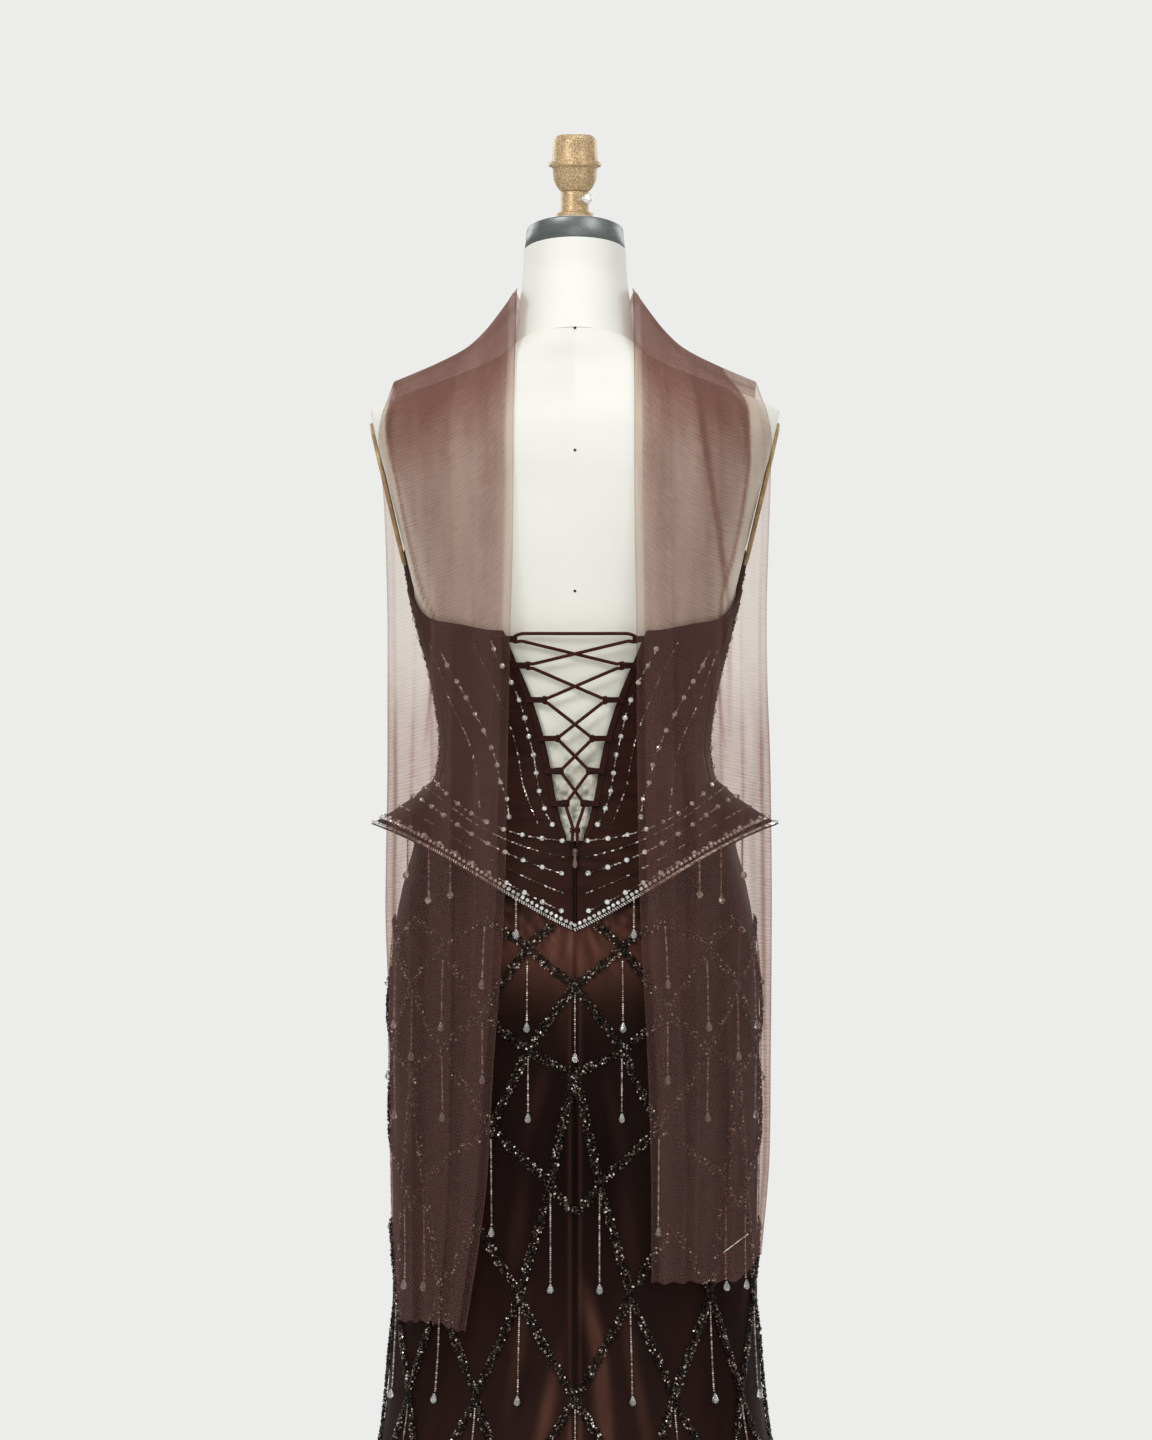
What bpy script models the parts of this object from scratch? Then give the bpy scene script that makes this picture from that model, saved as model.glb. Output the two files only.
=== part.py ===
"""Strapless beaded evening gown with a tulle stole, standing on a limbless dress form.

Metres, +Z up, origin at the bottom centre of the stand's base. The gown's laced back faces -Y. An azimuth is
0 at the centre back, a quarter turn at the +X side and half a turn at the centre front. Every piece of cloth is a
closed wall whose points lie on the figure's own shape, moved out by its layer.
"""

import functools
import math

import bmesh
import bpy
import numpy as np
from mathutils import Matrix, Vector
from mathutils.bvhtree import BVHTree

# ---------------------------------------------------------------- driving dimensions
GAP = 0.0003  # between pieces that touch
HEM_Z = 0.006  # the hem hangs just clear of the floor
WAIST_SEAM_Z = 0.962  # where bodice meets basque at the centre back
SEAM_RISE = 0.058  # how much higher that seam is at the sides
BASQUE_POINT_Z = 0.877
BASQUE_RISE = 0.100  # the pointed edge climbs this much from point to side
BASQUE_FLARE = 0.045  # how far that edge stands off the hips at the sides
NECK_SEAM_Z = 1.448

# Layers, each measured out from the figure's shape
BODICE_IN, BODICE_OUT = 0.0018, 0.0038
BASQUE_IN, BASQUE_OUT = 0.0043, 0.0063
BINDING_WIDTH, BINDING_THICK = 0.006, 0.0010
TRIM_WIDTH, TRIM_THICK = 0.0075, 0.0030
LACE_RADIUS, LACE_LIFT = 0.0014, 0.0088
LACE_THROUGH = 0.0034  # half the straight stretch of lace inside a loop
LACE_CROSS = 0.0019  # half the spacing of two strands where they cross
LACE_BRIDGE_RISE = 0.0060  # its top strand runs this much above the top pair of loops
LOOP_THICK, LOOP_WIDTH = 0.0010, 0.0042
ROPE_WIDTH, ROPE_THICK = 0.0070, 0.0045
TULLE_THICK = 0.0010

ROUNDNESS = 2.2  # 2 is an ellipse, more is squarer
ARM_FLAT_Z, ARM_FLAT_HALF, ARM_FLAT_SLOPE = 1.200, 0.155, 0.237
RING_SIDES = 36


class Table:
    """Rows of named columns, read smoothly between rows by the first column."""

    def __init__(self, columns, rows):
        rows = sorted(rows)
        self.names = columns
        self.values = {name: np.array([row[i] for row in rows], float) for i, name in enumerate(columns)}
        self.keys = self.values[columns[0]]

    def at(self, name, key):
        """The column's value at a key, with no overshoot between rows."""
        keys, values = self.keys, self.values[name]
        step = np.diff(keys)
        slope = np.diff(values) / step
        both = slope[:-1] * slope[1:]
        tangent = np.concatenate(([slope[0]], np.zeros(len(both)), [slope[-1]]))
        keep = both > 0
        tangent[1:-1][keep] = 2 * both[keep] / (slope[:-1] + slope[1:])[keep]
        key = min(max(key, keys[0]), keys[-1])
        i = min(max(int(np.searchsorted(keys, key)) - 1, 0), len(step) - 1)
        t = (key - keys[i]) / step[i]
        t2, t3 = t * t, t * t * t
        return float(
            (2 * t3 - 3 * t2 + 1) * values[i]
            + (t3 - 2 * t2 + t) * step[i] * tangent[i]
            + (3 * t2 - 2 * t3) * values[i + 1]
            + (t3 - t2) * step[i] * tangent[i + 1]
        )


# Half width, depth behind and before the centre, the centre's own y, and how much the section tips forward
FIGURE = Table(
    ("z", "half", "back", "front", "centre", "tilt"),
    [
        (0.006, 0.318, 0.322, 0.285, 0.000, 0.00),
        (0.090, 0.285, 0.282, 0.252, 0.000, 0.00),
        (0.180, 0.246, 0.234, 0.214, 0.000, 0.00),
        (0.270, 0.212, 0.194, 0.180, 0.000, 0.00),
        (0.360, 0.187, 0.162, 0.153, 0.000, 0.00),
        (0.450, 0.174, 0.142, 0.134, 0.000, 0.00),
        (0.560, 0.170, 0.130, 0.122, 0.000, 0.00),
        (0.700, 0.172, 0.126, 0.116, 0.000, 0.00),
        (0.770, 0.173, 0.125, 0.113, 0.000, 0.00),
        (0.830, 0.172, 0.125, 0.112, 0.000, 0.00),
        (0.890, 0.166, 0.121, 0.110, 0.000, 0.00),
        (0.950, 0.152, 0.106, 0.104, 0.000, 0.00),
        (1.000, 0.137, 0.088, 0.097, 0.000, 0.00),
        (1.050, 0.126, 0.077, 0.092, 0.000, 0.00),
        (1.100, 0.132, 0.079, 0.096, 0.000, 0.00),
        (1.160, 0.147, 0.089, 0.106, 0.000, 0.00),
        (1.200, 0.157, 0.096, 0.112, 0.000, 0.00),
        (1.240, 0.168, 0.102, 0.115, 0.000, 0.00),
        (1.280, 0.182, 0.105, 0.114, 0.000, 0.00),
        (1.320, 0.196, 0.106, 0.108, 0.000, 0.02),
        (1.355, 0.204, 0.102, 0.096, -0.002, 0.05),
        (1.376, 0.197, 0.095, 0.084, -0.004, 0.08),
        (1.390, 0.176, 0.088, 0.074, -0.006, 0.12),
        (1.404, 0.145, 0.081, 0.064, -0.009, 0.18),
        (1.418, 0.112, 0.074, 0.060, -0.012, 0.26),
        (1.434, 0.080, 0.068, 0.058, -0.016, 0.36),
        (1.448, 0.0615, 0.0605, 0.0605, -0.020, 0.42),
    ],
)
FORM_ROWS_Z = (0.77, 0.82, 0.87, 0.91, 0.94, 0.97, 0.995, 1.02, 1.04, 1.06, 1.08, 1.105, 1.13, 1.16, 1.20, 1.24)
FORM_ROWS_Z += (1.28, 1.32, 1.355, 1.376, 1.39, 1.404, 1.418, 1.434, 1.448)
HIP_INSET, HIP_INSET_Z = 0.0022, (0.960, 0.900)  # the form is slimmer where the skirt hides it
WORN_INSET, WORN_INSET_Z = 0.0018, (1.330, 1.290)  # and a little under the bodice
BUST_X, BUST_Z, BUST_SPREAD, BUST_DEPTH = 0.080, 1.245, (0.055, 0.060), 0.026

NECK = Table(
    ("z", "half", "centre", "tilt"),
    [
        (1.4486, 0.0605, -0.0200, 0.42),
        (1.4640, 0.0568, -0.0160, 0.36),
        (1.4870, 0.0530, -0.0090, 0.29),
        (1.5100, 0.0500, -0.0030, 0.26),
        (1.5357, 0.0485, 0.0000, 0.25),
    ],
)
BAND_Z, BAND_HIGH, BAND_HALF, BAND_TILT, CAP_RISE = 1.5360, 0.0200, 0.0480, 0.25, 0.0085

TOP_EDGE = Table(
    ("azimuth", "z"),
    [(0, 1.1600), (28, 1.1610), (45, 1.1670), (62, 1.1720), (76, 1.1850), (90, 1.2150), (112, 1.2450)]
    + [(140, 1.2820), (158, 1.2860), (180, 1.2660)],
)
# Half width of the opening that the lace closes
OPENING = Table(
    ("z", "half"),
    [(0.966, 0.0105), (0.977, 0.0134), (1.003, 0.0183), (1.037, 0.0242), (1.062, 0.0302), (1.098, 0.0417)]
    + [(1.127, 0.0538), (1.161, 0.0676)],
)
SIDE_BACK_AZIMUTH, SIDE_FRONT_AZIMUTH, SIDE_SEAM_AZIMUTH = 72, 112, 90

# Loops on both edges of the opening: height, and how far from the centre line the lace turns in them
LOOPS = [(1.1525, 0.0560), (1.1275, 0.0442), (1.0950, 0.0285), (1.0585, 0.0164), (1.0278, 0.0134), (0.9972, 0.0082)]
LACE_KNOT_Z, LACE_END_Z = 0.9750, 0.9600

ZIP_WIDTH, ZIP_THICK, ZIP_BOTTOM_Z = 0.0030, 0.0020, 0.886
SLIDER_Z = 0.9500
SLIDER_LONG, SLIDER_WIDE, SLIDER_HIGH = 0.0080, 0.0050, 0.0024
PIN_RADIUS, PIN_LIFT, EAR_THICK, EAR_INSIDE = 0.0005, 0.0022, 0.0008, 0.0013
TAB_LONG, TAB_WIDE, TAB_THICK = 0.0170, 0.0042, 0.0010

# Soft upright folds of the skirt: where, how wide and deep at the hem, and the height where each begins
FOLDS = [
    (-7, 7, 0.024, 0.56),
    (9, 7, 0.020, 0.53),
    (37, 11, 0.036, 0.46),
    (-39, 11, 0.040, 0.48),
    (71, 11, 0.038, 0.44),
    (-76, 12, 0.033, 0.41),
    (106, 11, 0.032, 0.45),
    (-112, 11, 0.038, 0.43),
    (143, 11, 0.037, 0.47),
    (-147, 11, 0.034, 0.42),
    (180, 12, 0.036, 0.45),
]
FOLD_TOP_Z = 0.47
SKIRT_SHARES = (0, 0.07, 0.14, 0.21, 0.30, 0.40, 0.50, 0.59, 0.67, 0.75, 0.83, 0.91, 1)
SKIRT_TOP_DROP = 0.020  # how far below the seam the skirt's top lies, under the basque

# The beaded lattice hangs in modules of 60 degrees, each mirrored about both of its sides. A ring of rope passes
# these (azimuth, height) corners from one side of half a module to the other.
MODULES = 6
LATTICE = {
    "lattice_2": [(0, 0.8250), (15, 0.8620), (30, 0.8000)],
    "lattice_3": [(0, 0.8250), (15, 0.7640), (30, 0.8000)],
    "lattice_4": [(0, 0.7430), (15, 0.7640), (30, 0.6910)],
    "lattice_5": [(0, 0.7430), (6.5, 0.6380), (30, 0.6910)],
    "lattice_6": [(0, 0.6100), (6.5, 0.6380), (15, 0.5340), (30, 0.6000)],
    "lattice_7": [(0, 0.4380), (15, 0.5340), (30, 0.4380)],
    "lattice_8": [(0, 0.4380), (15, 0.3380), (30, 0.4380)],
    "lattice_9": [(0, 0.2400), (15, 0.3380), (30, 0.2400)],
}
TOP_ROPE_Z, TOP_ROPE_END = (0.8880, 0.8620), (6, 0.8740)  # the ropes that run up to the basque's edge
ROPE_STEP = 0.024
# Near the centre back the modules are drawn in or let out by this share of their azimuth
DRAWN_IN = Table(
    ("z", "share"),
    [(0.340, 0.00), (0.437, -0.06), (0.530, 0.03), (0.637, -0.05), (0.690, -0.40), (0.764, -0.18), (0.862, -0.16)],
)
DRAWN_IN_REACH = 35
MITER_LEAST = 0.45

# The stole's two tails, seen from behind: where their inner and outer edges hang
TAILS = {
    "left": Table(
        ("z", "inner", "outer"),
        [(0.500, 0.103, 0.166), (0.550, 0.089, 0.172), (0.690, 0.081, 0.174), (0.810, 0.072, 0.176)]
        + [(0.905, 0.066, 0.179), (1.010, 0.064, 0.177), (1.160, 0.061, 0.177), (1.290, 0.058, 0.181)]
        + [(1.345, 0.058, 0.186), (1.400, 0.057, 0.172), (1.485, 0.055, 0.168)],
    ),
    "right": Table(
        ("z", "inner", "outer"),
        [(0.546, 0.072, 0.176), (0.600, 0.072, 0.182), (0.680, 0.071, 0.184), (0.763, 0.068, 0.185)]
        + [(0.905, 0.061, 0.186), (1.010, 0.059, 0.185), (1.160, 0.058, 0.181), (1.300, 0.056, 0.185)]
        + [(1.345, 0.056, 0.186), (1.400, 0.056, 0.172), (1.485, 0.055, 0.168)],
    ),
}
TAIL_HEM_Z = {"left": 0.500, "right": 0.546}
TAIL_SHARES = (0, 0.006, 0.018, 0.036, 0.06, 0.09, 0.13, 0.18, 0.25, 0.33, 0.42, 0.50, 0.57, 0.65, 0.75, 0.87, 1)
TAIL_COLUMNS, TAIL_WAVES, TAIL_WAVE_DEPTH = 12, 3, 0.007
RIDGE_Y = -0.012
# The top of the stole along the shoulder, by distance from the centre
RIDGE = Table(
    ("x", "z"),
    [(0.055, 1.4850), (0.070, 1.4640), (0.085, 1.4450), (0.103, 1.4285), (0.130, 1.4140), (0.160, 1.4010)]
    + [(0.172, 1.3960)],
)
SWAG_TOP_Z, SWAG_BOTTOM_Z, SWAG_OUTER_Z = 1.440, 1.245, 1.330
SHOULDER_CLEAR, SWAG_CLEAR, GOWN_CLEAR = 0.0022, 0.0060, 0.0050
TAIL_SLACK = 0.080  # the tails already stand clear this far above what pushes them out

FINIAL = [  # the turned knob: radius and height
    (0.0000, 1.6350), (0.0150, 1.6350), (0.0190, 1.6325), (0.0206, 1.6290), (0.0216, 1.6140), (0.0222, 1.6095),
    (0.0252, 1.6085), (0.0252, 1.6050), (0.0214, 1.6036), (0.0204, 1.5930), (0.0178, 1.5865), (0.0140, 1.5813),
    (0.0000, 1.5813),
]
COLLAR = [(0.0000, 1.5810), (0.0134, 1.5810), (0.0134, 1.5612), (0.0176, 1.5605), (0.0176, 1.5565), (0.0000, 1.5565)]
SCREW_Z, SCREW_AZIMUTH, SCREW_REACH = 1.5730, 25, 0.0070
SCREW = [(0, -SCREW_REACH), (0.0025, -SCREW_REACH), (0.0025, 0.0100), (0.0036, 0.0112), (0.0048, 0.0145)]
SCREW += [(0.0036, 0.0178), (0.0020, 0.0190), (0, 0.0192)]
POLE_RADIUS = 0.0125
BASE = [(0, 0.0480), (0.0200, 0.0480), (0.0300, 0.0420), (0.0420, 0.0220), (0.1700, 0.0140), (0.1950, 0.0100)]
BASE += [(0.2000, 0.0060), (0.2000, 0), (0, 0)]
FLANGE = [(0, 0.7697), (0.0550, 0.7697), (0.0550, 0.7640), (0.0250, 0.7560), (0.0180, 0.7400), (0, 0.7400)]
ARM_PLATE_HIGH, ARM_PLATE_DEEP, ARM_PLATE_THICK, ARM_PLATE_Z = 0.070, 0.040, 0.0040, 1.292


# ---------------------------------------------------------------- shape of the figure
def signed_power(value, power):
    return math.copysign(abs(value) ** power, value)


def arm_limit(z):
    """Half width left where the arms are cut off flat."""
    return ARM_FLAT_HALF + ARM_FLAT_SLOPE * (z - ARM_FLAT_Z) if z > ARM_FLAT_Z else 1.0


def bust(x, z):
    across = (abs(x) - BUST_X) / BUST_SPREAD[0]
    up = (z - BUST_Z) / BUST_SPREAD[1]
    return BUST_DEPTH * math.exp(-across * across - up * up)


def fold(azimuth, z):
    """How far the skirt's folds stand out of its smooth shape."""
    total = 0.0
    for centre, width, depth, top in FOLDS:
        if z >= top:
            continue
        turn = (math.degrees(azimuth) - centre + 180) % 360 - 180
        grown = ((top - z) / (top - HEM_Z)) ** 1.2
        total += depth * grown * math.exp(-((turn / width) ** 2))
    return total


def figure(azimuth, z, out=0.0):
    """Point of the figure at an azimuth and a height, moved out horizontally."""
    half, centre = FIGURE.at("half", z), FIGURE.at("centre", z)
    back = FIGURE.at("back", z)
    sine, cosine = math.sin(azimuth), math.cos(azimuth)
    depth = back if cosine > 0 else FIGURE.at("front", z)
    x = half * signed_power(sine, 2 / ROUNDNESS)
    y = -depth * signed_power(cosine, 2 / ROUNDNESS)
    away = Vector((x / half**2, y / depth**2, 0)).normalized()
    tip = FIGURE.at("tilt", z) * (y + back)
    x = math.copysign(min(abs(x), arm_limit(z - tip)), x)
    if cosine < 0:
        y += bust(x, z) * min(1, -3 * cosine)
    return Vector((x, y + centre, z - tip)) + away * (out + fold(azimuth, z))


def azimuth_at(x, z, extra=0.0):
    """Azimuth on the back at a distance from the centre line, or None past the side."""
    half = FIGURE.at("half", z) + extra
    return math.asin(signed_power(x / half, ROUNDNESS / 2)) if abs(x) < half else None


def turn_for(length, azimuth, z):
    """The change of azimuth that moves a point of the figure by this length."""
    step = 0.01
    return length * step / max((figure(azimuth + step, z) - figure(azimuth, z)).length, 1e-6)


def seam_z(azimuth):
    return WAIST_SEAM_Z + SEAM_RISE * math.sin(azimuth) ** 2


def basque_edge_z(azimuth):
    return BASQUE_POINT_Z + BASQUE_RISE * abs(math.sin(azimuth))


def top_z(azimuth):
    return TOP_EDGE.at("z", abs((math.degrees(azimuth) + 180) % 360 - 180))


def mix(start, end, share):
    return start + (end - start) * share


def smooth(share):
    share = min(max(share, 0), 1)
    return share * share * (3 - 2 * share)


# ---------------------------------------------------------------- making solids
def clear_scene():
    for thing in list(bpy.data.objects):
        bpy.data.objects.remove(thing, do_unlink=True)


def material(name, colour, roughness, metallic=0.0):
    made = bpy.data.materials.new(name)
    made.use_nodes = True
    shader = made.node_tree.nodes["Principled BSDF"]
    shader.inputs["Base Color"].default_value = (*colour, 1)
    shader.inputs["Roughness"].default_value = roughness
    shader.inputs["Metallic"].default_value = metallic
    made.diffuse_color = (*colour, 1)
    return made


def finish(name, shape, look, sharp=40):
    """Turns a bmesh into a named object with its faces pointing out."""
    bmesh.ops.recalc_face_normals(shape, faces=shape.faces)
    mesh = bpy.data.meshes.new(name)
    shape.to_mesh(mesh)
    shape.free()
    mesh.shade_smooth()
    mesh.set_sharp_from_angle(angle=math.radians(sharp))
    mesh.materials.append(look)
    thing = bpy.data.objects.new(name, mesh)
    bpy.context.scene.collection.objects.link(thing)
    return thing


def wall(name, inner, outer, look, ring=False):
    """Closed slab between two grids of points; ring joins its last column to its first."""
    shape = bmesh.new()
    skins = [[[shape.verts.new(point) for point in row] for row in skin] for skin in (inner, outer)]
    rows, columns = len(inner), len(inner[0])
    spans = [(c, (c + 1) % columns) for c in range(columns if ring else columns - 1)]
    for near, far in spans:
        for r in range(rows - 1):
            for skin in skins:
                shape.faces.new((skin[r][near], skin[r][far], skin[r + 1][far], skin[r + 1][near]))
        for r in (0, rows - 1):
            shape.faces.new((skins[0][r][near], skins[0][r][far], skins[1][r][far], skins[1][r][near]))
    for c in () if ring else (0, columns - 1):
        for r in range(rows - 1):
            shape.faces.new((skins[0][r][c], skins[0][r + 1][c], skins[1][r + 1][c], skins[1][r][c]))
    return finish(name, shape, look)


def stack(name, rings, look, sharp=40):
    """Solid through closed rings of points, from one flat end to the other."""
    shape = bmesh.new()
    rows = [[shape.verts.new(point) for point in ring] for ring in rings]
    sides = len(rows[0])
    for low, high in zip(rows, rows[1:]):
        for i in range(sides):
            j = (i + 1) % sides
            shape.faces.new((low[i], low[j], high[j], high[i]))
    shape.faces.new(rows[0])
    shape.faces.new(rows[-1])
    return finish(name, shape, look, sharp)


def turned(name, profile, look, sides=24, place=None):
    """Solid of revolution about Z through (radius, height) rows, whose ends lie on the axis."""
    shape = bmesh.new()
    ring = []
    for radius, height in profile:
        if radius == 0:
            ring.append([shape.verts.new((0, 0, height))])
            continue
        turns = [2 * math.pi * i / sides for i in range(sides)]
        ring.append([shape.verts.new((radius * math.cos(t), radius * math.sin(t), height)) for t in turns])
    for one, two in zip(ring, ring[1:]):
        for i in range(sides):
            j = (i + 1) % sides
            corners = [one[i % len(one)], one[j % len(one)], two[j % len(two)], two[i % len(two)]]
            shape.faces.new(list(dict.fromkeys(corners)))
    thing = finish(name, shape, look)
    if place:
        thing.matrix_world = place
    return thing


def cut(thing, cutter):
    """Takes a helper solid out of a piece with a live Boolean."""
    cutter.hide_render = True
    cutter.display_type = "WIRE"
    taken = thing.modifiers.new("cut", "BOOLEAN")
    taken.operation = "DIFFERENCE"
    taken.object = cutter


def thickened(points, thickness, centre):
    """The grid moved along its own normals, away from a centre line at (x, y)."""
    rows, columns = len(points), len(points[0])
    moved = []
    for r in range(rows):
        moved.append([])
        for c in range(columns):
            down = points[min(r + 1, rows - 1)][c] - points[max(r - 1, 0)][c]
            across = points[r][min(c + 1, columns - 1)] - points[r][max(c - 1, 0)]
            normal = down.cross(across).normalized()
            away = Vector((points[r][c].x - centre[0], points[r][c].y - centre[1], 0.02))
            moved[-1].append(points[r][c] + normal * math.copysign(thickness, normal.dot(away)))
    return moved


# ---------------------------------------------------------------- the dress form
def build_form(looks):
    turns = [2 * math.pi * i / RING_SIDES for i in range(RING_SIDES)]
    stack("form_torso", [[figure(t, z, -form_inset(z)) for t in turns] for z in FORM_ROWS_Z], looks["ivory"])
    rings = []
    for z in NECK.keys:
        half, centre, tilt = (NECK.at(name, z) for name in ("half", "centre", "tilt"))
        rings.append([tipped_ring(t, z, half, centre, tilt) for t in turns[::2]])
    stack("form_neck", rings, looks["ivory"])
    rings = [[tipped_ring(t, BAND_Z + rise, half, 0, BAND_TILT) for t in turns[::2]]
             for rise, half in ((0, BAND_HALF), (BAND_HIGH, BAND_HALF - 0.002))]
    stack("neck_band", rings, looks["steel"])
    crown = []
    for share in (1.0, 0.82, 0.55, 0.20):
        top = BAND_Z + BAND_HIGH + GAP + CAP_RISE * (1 - share * share)
        half = (BAND_HALF - 0.004) * share
        crown.append([tipped_ring(t, top, half, 0, BAND_TILT, BAND_HALF - 0.002) for t in turns[::2]])
    stack("neck_cap", crown, looks["ivory"])
    turned("finial", FINIAL, looks["gold"])
    collar = turned("finial_collar", COLLAR, looks["gold"])
    build_clamp_screw(collar, looks)
    for side, name in ((-1, "arm_plate_left"), (1, "arm_plate_right")):
        build_arm_plate(name, side, looks["ochre"])
    turned("stand_pole", [(0, 0.7397), (POLE_RADIUS, 0.7397), (POLE_RADIUS, 0.0483), (0, 0.0483)], looks["dark_steel"])
    turned("stand_flange", FLANGE, looks["dark_steel"])
    turned("stand_base", BASE, looks["dark_steel"], 40)


def form_inset(z):
    """How far the form lies inside the shape that the cloth follows."""
    steps = ((HIP_INSET, HIP_INSET_Z), (WORN_INSET, WORN_INSET_Z))
    return sum(depth * smooth((high - z) / (high - low)) for depth, (high, low) in steps)


def tipped_ring(turn, back_z, half, centre, tilt, reach=None):
    """Point of a round section that is highest at the back, where it reaches back_z at this reach."""
    x, y = half * math.sin(turn), -half * math.cos(turn)
    return Vector((x, y + centre, back_z - tilt * (y + (reach or half))))


def build_clamp_screw(collar, looks):
    """A thumb screw that runs into the collar; its origin lies on its own axis."""
    turn = math.radians(SCREW_AZIMUTH)
    away = Vector((math.sin(turn), -math.cos(turn), 0))
    place = Matrix.Translation(away * COLLAR[1][0] + Vector((0, 0, SCREW_Z)))
    place @= away.to_track_quat("Z", "Y").to_matrix().to_4x4()
    turned("clamp_screw", SCREW, looks["bright_steel"], 16, place)
    bore = SCREW_REACH + 2 * GAP
    room = SCREW[1][0] + GAP
    hole = turned("clamp_screw_hole", [(0, -bore), (room, -bore), (room, bore), (0, bore)], looks["gold"], 16, place)
    cut(collar, hole)


def build_arm_plate(name, side, look):
    """An oval plate on the flat where the arm would begin."""
    lean = math.atan(ARM_FLAT_SLOPE)
    rings = []
    for lift, share in ((GAP, 1.0), (ARM_PLATE_THICK * 0.6, 1.0), (ARM_PLATE_THICK, 0.95)):
        ring = []
        for i in range(28):
            turn = 2 * math.pi * i / 28
            along, across = ARM_PLATE_HIGH * share * math.sin(turn), ARM_PLATE_DEEP * share * math.cos(turn)
            x = arm_limit(ARM_PLATE_Z) + along * math.sin(lean) + lift * math.cos(lean)
            z = ARM_PLATE_Z + along * math.cos(lean) - lift * math.sin(lean)
            ring.append(Vector((side * x, across, z)))
        rings.append(ring)
    stack(name, rings, look)


# ---------------------------------------------------------------- bodice and basque
def panel_grid(azimuths, top, bottom, shares, out):
    """Points on the figure between two edges; out is a layer, or a function of azimuth, share and height."""
    grid = []
    for share in shares:
        row = []
        for azimuth in azimuths:
            z = mix(top(azimuth), bottom(azimuth), share)
            row.append(figure(azimuth, z, out(azimuth, share, z) if callable(out) else out))
        grid.append(row)
    return grid


def spread(start, end, count, z=1.0, trim=(GAP / 2, GAP / 2)):
    """Azimuths from one seam to the next, in degrees, held back by half the gap at each seam."""
    first, last = math.radians(start), math.radians(end)
    first += turn_for(trim[0], first, z)
    last -= turn_for(trim[1], last, z)
    return [mix(first, last, i / count) for i in range(count + 1)]


def bodice_bottom(azimuth):
    return seam_z(azimuth) + 2 * GAP


def build_bodice(looks):
    shares = [i / 6 for i in range(7)]
    for name, start, end, count in (
        ("bodice_side_right", SIDE_BACK_AZIMUTH, SIDE_FRONT_AZIMUTH, 5),
        ("bodice_side_left", -SIDE_FRONT_AZIMUTH, -SIDE_BACK_AZIMUTH, 5),
        ("bodice_front", SIDE_FRONT_AZIMUTH, 360 - SIDE_FRONT_AZIMUTH, 24),
    ):
        azimuths = spread(start, end, count)
        skins = [panel_grid(azimuths, top_z, bodice_bottom, shares, out) for out in (BODICE_IN, BODICE_OUT)]
        wall(name, *skins, looks["satin"])
    for side, word in ((-1, "left"), (1, "right")):
        skins = [bodice_back_grid(side, out) for out in (BODICE_IN, BODICE_OUT, BODICE_OUT + GAP)]
        wall("bodice_back_" + word, *skins[:2], looks["satin"])
        over = [row[:2] for row in skins[2]]
        raised = [row[:2] for row in bodice_back_grid(side, BODICE_OUT + GAP + BINDING_THICK)]
        wall("binding_" + word, over, raised, looks["binding"])


def bodice_back_grid(side, out):
    """Back panel from the opening's edge to the side-back seam; its first column is as wide as the binding."""
    count, rows = 7, 11
    grid = []
    for r in range(rows):
        share = r / (rows - 1)
        edge_z = mix(top_z(0), bodice_bottom(0), share)
        edge = azimuth_at(OPENING.at("half", edge_z), edge_z)
        seam = math.radians(SIDE_BACK_AZIMUTH)
        seam -= turn_for(GAP / 2, seam, edge_z)
        first = edge + turn_for(BINDING_WIDTH, edge, edge_z)
        azimuths = [edge] + [mix(first, seam, i / (count - 1)) for i in range(count)]
        row = []
        for azimuth in azimuths:
            z = mix(top_z(azimuth), bodice_bottom(azimuth), share)
            row.append(figure(side * azimuth, z, out))
        grid.append(row)
    return grid


BASQUE_SHARES = (0, 0.17, 0.34, 0.56, 0.78, 1)


def basque_lift(base):
    """Layer of the basque: level with the bodice at the seam, over the skirt below, standing off at the sides."""

    def out(azimuth, share, _):
        step = smooth(share / BASQUE_SHARES[1])
        flare = BASQUE_FLARE * math.sin(azimuth) ** 2 * share**1.4
        return base - (BASQUE_IN - BODICE_IN) * (1 - step) + flare

    return out


def build_basque(looks):
    chain = ZIP_WIDTH / 2 + GAP
    for name, start, end, count, trim in (
        ("basque_back_right", 0, SIDE_SEAM_AZIMUTH, 12, (chain, GAP / 2)),
        ("basque_back_left", -SIDE_SEAM_AZIMUTH, 0, 12, (GAP / 2, chain)),
        ("basque_front", SIDE_SEAM_AZIMUTH, 360 - SIDE_SEAM_AZIMUTH, 24, (GAP / 2, GAP / 2)),
    ):
        azimuths = spread(start, end, count, 0.95, trim)
        skins = [panel_grid(azimuths, seam_z, basque_edge_z, BASQUE_SHARES, basque_lift(out))
                 for out in (BASQUE_IN, BASQUE_OUT)]
        wall(name, *skins, looks["satin"])
    build_basque_trim(looks)


def build_basque_trim(looks):
    """The stiff beaded edge that runs all round the basque's pointed hem."""
    count = 4 * 12
    azimuths = [2 * math.pi * i / count for i in range(count)]
    skins = []
    for lift in (GAP + 0.0004, GAP + TRIM_THICK):
        layer = basque_lift(BASQUE_OUT + lift)
        grid = []
        for drop in (TRIM_WIDTH, 0):
            row = []
            for azimuth in azimuths:
                high, low = seam_z(azimuth), basque_edge_z(azimuth)
                share = (high - low - drop) / (high - low)
                row.append(figure(azimuth, low + drop, layer(azimuth, share, low)))
            grid.append(row)
        skins.append(grid)
    wall("basque_trim", *skins, looks["crystal"], ring=True)


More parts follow.
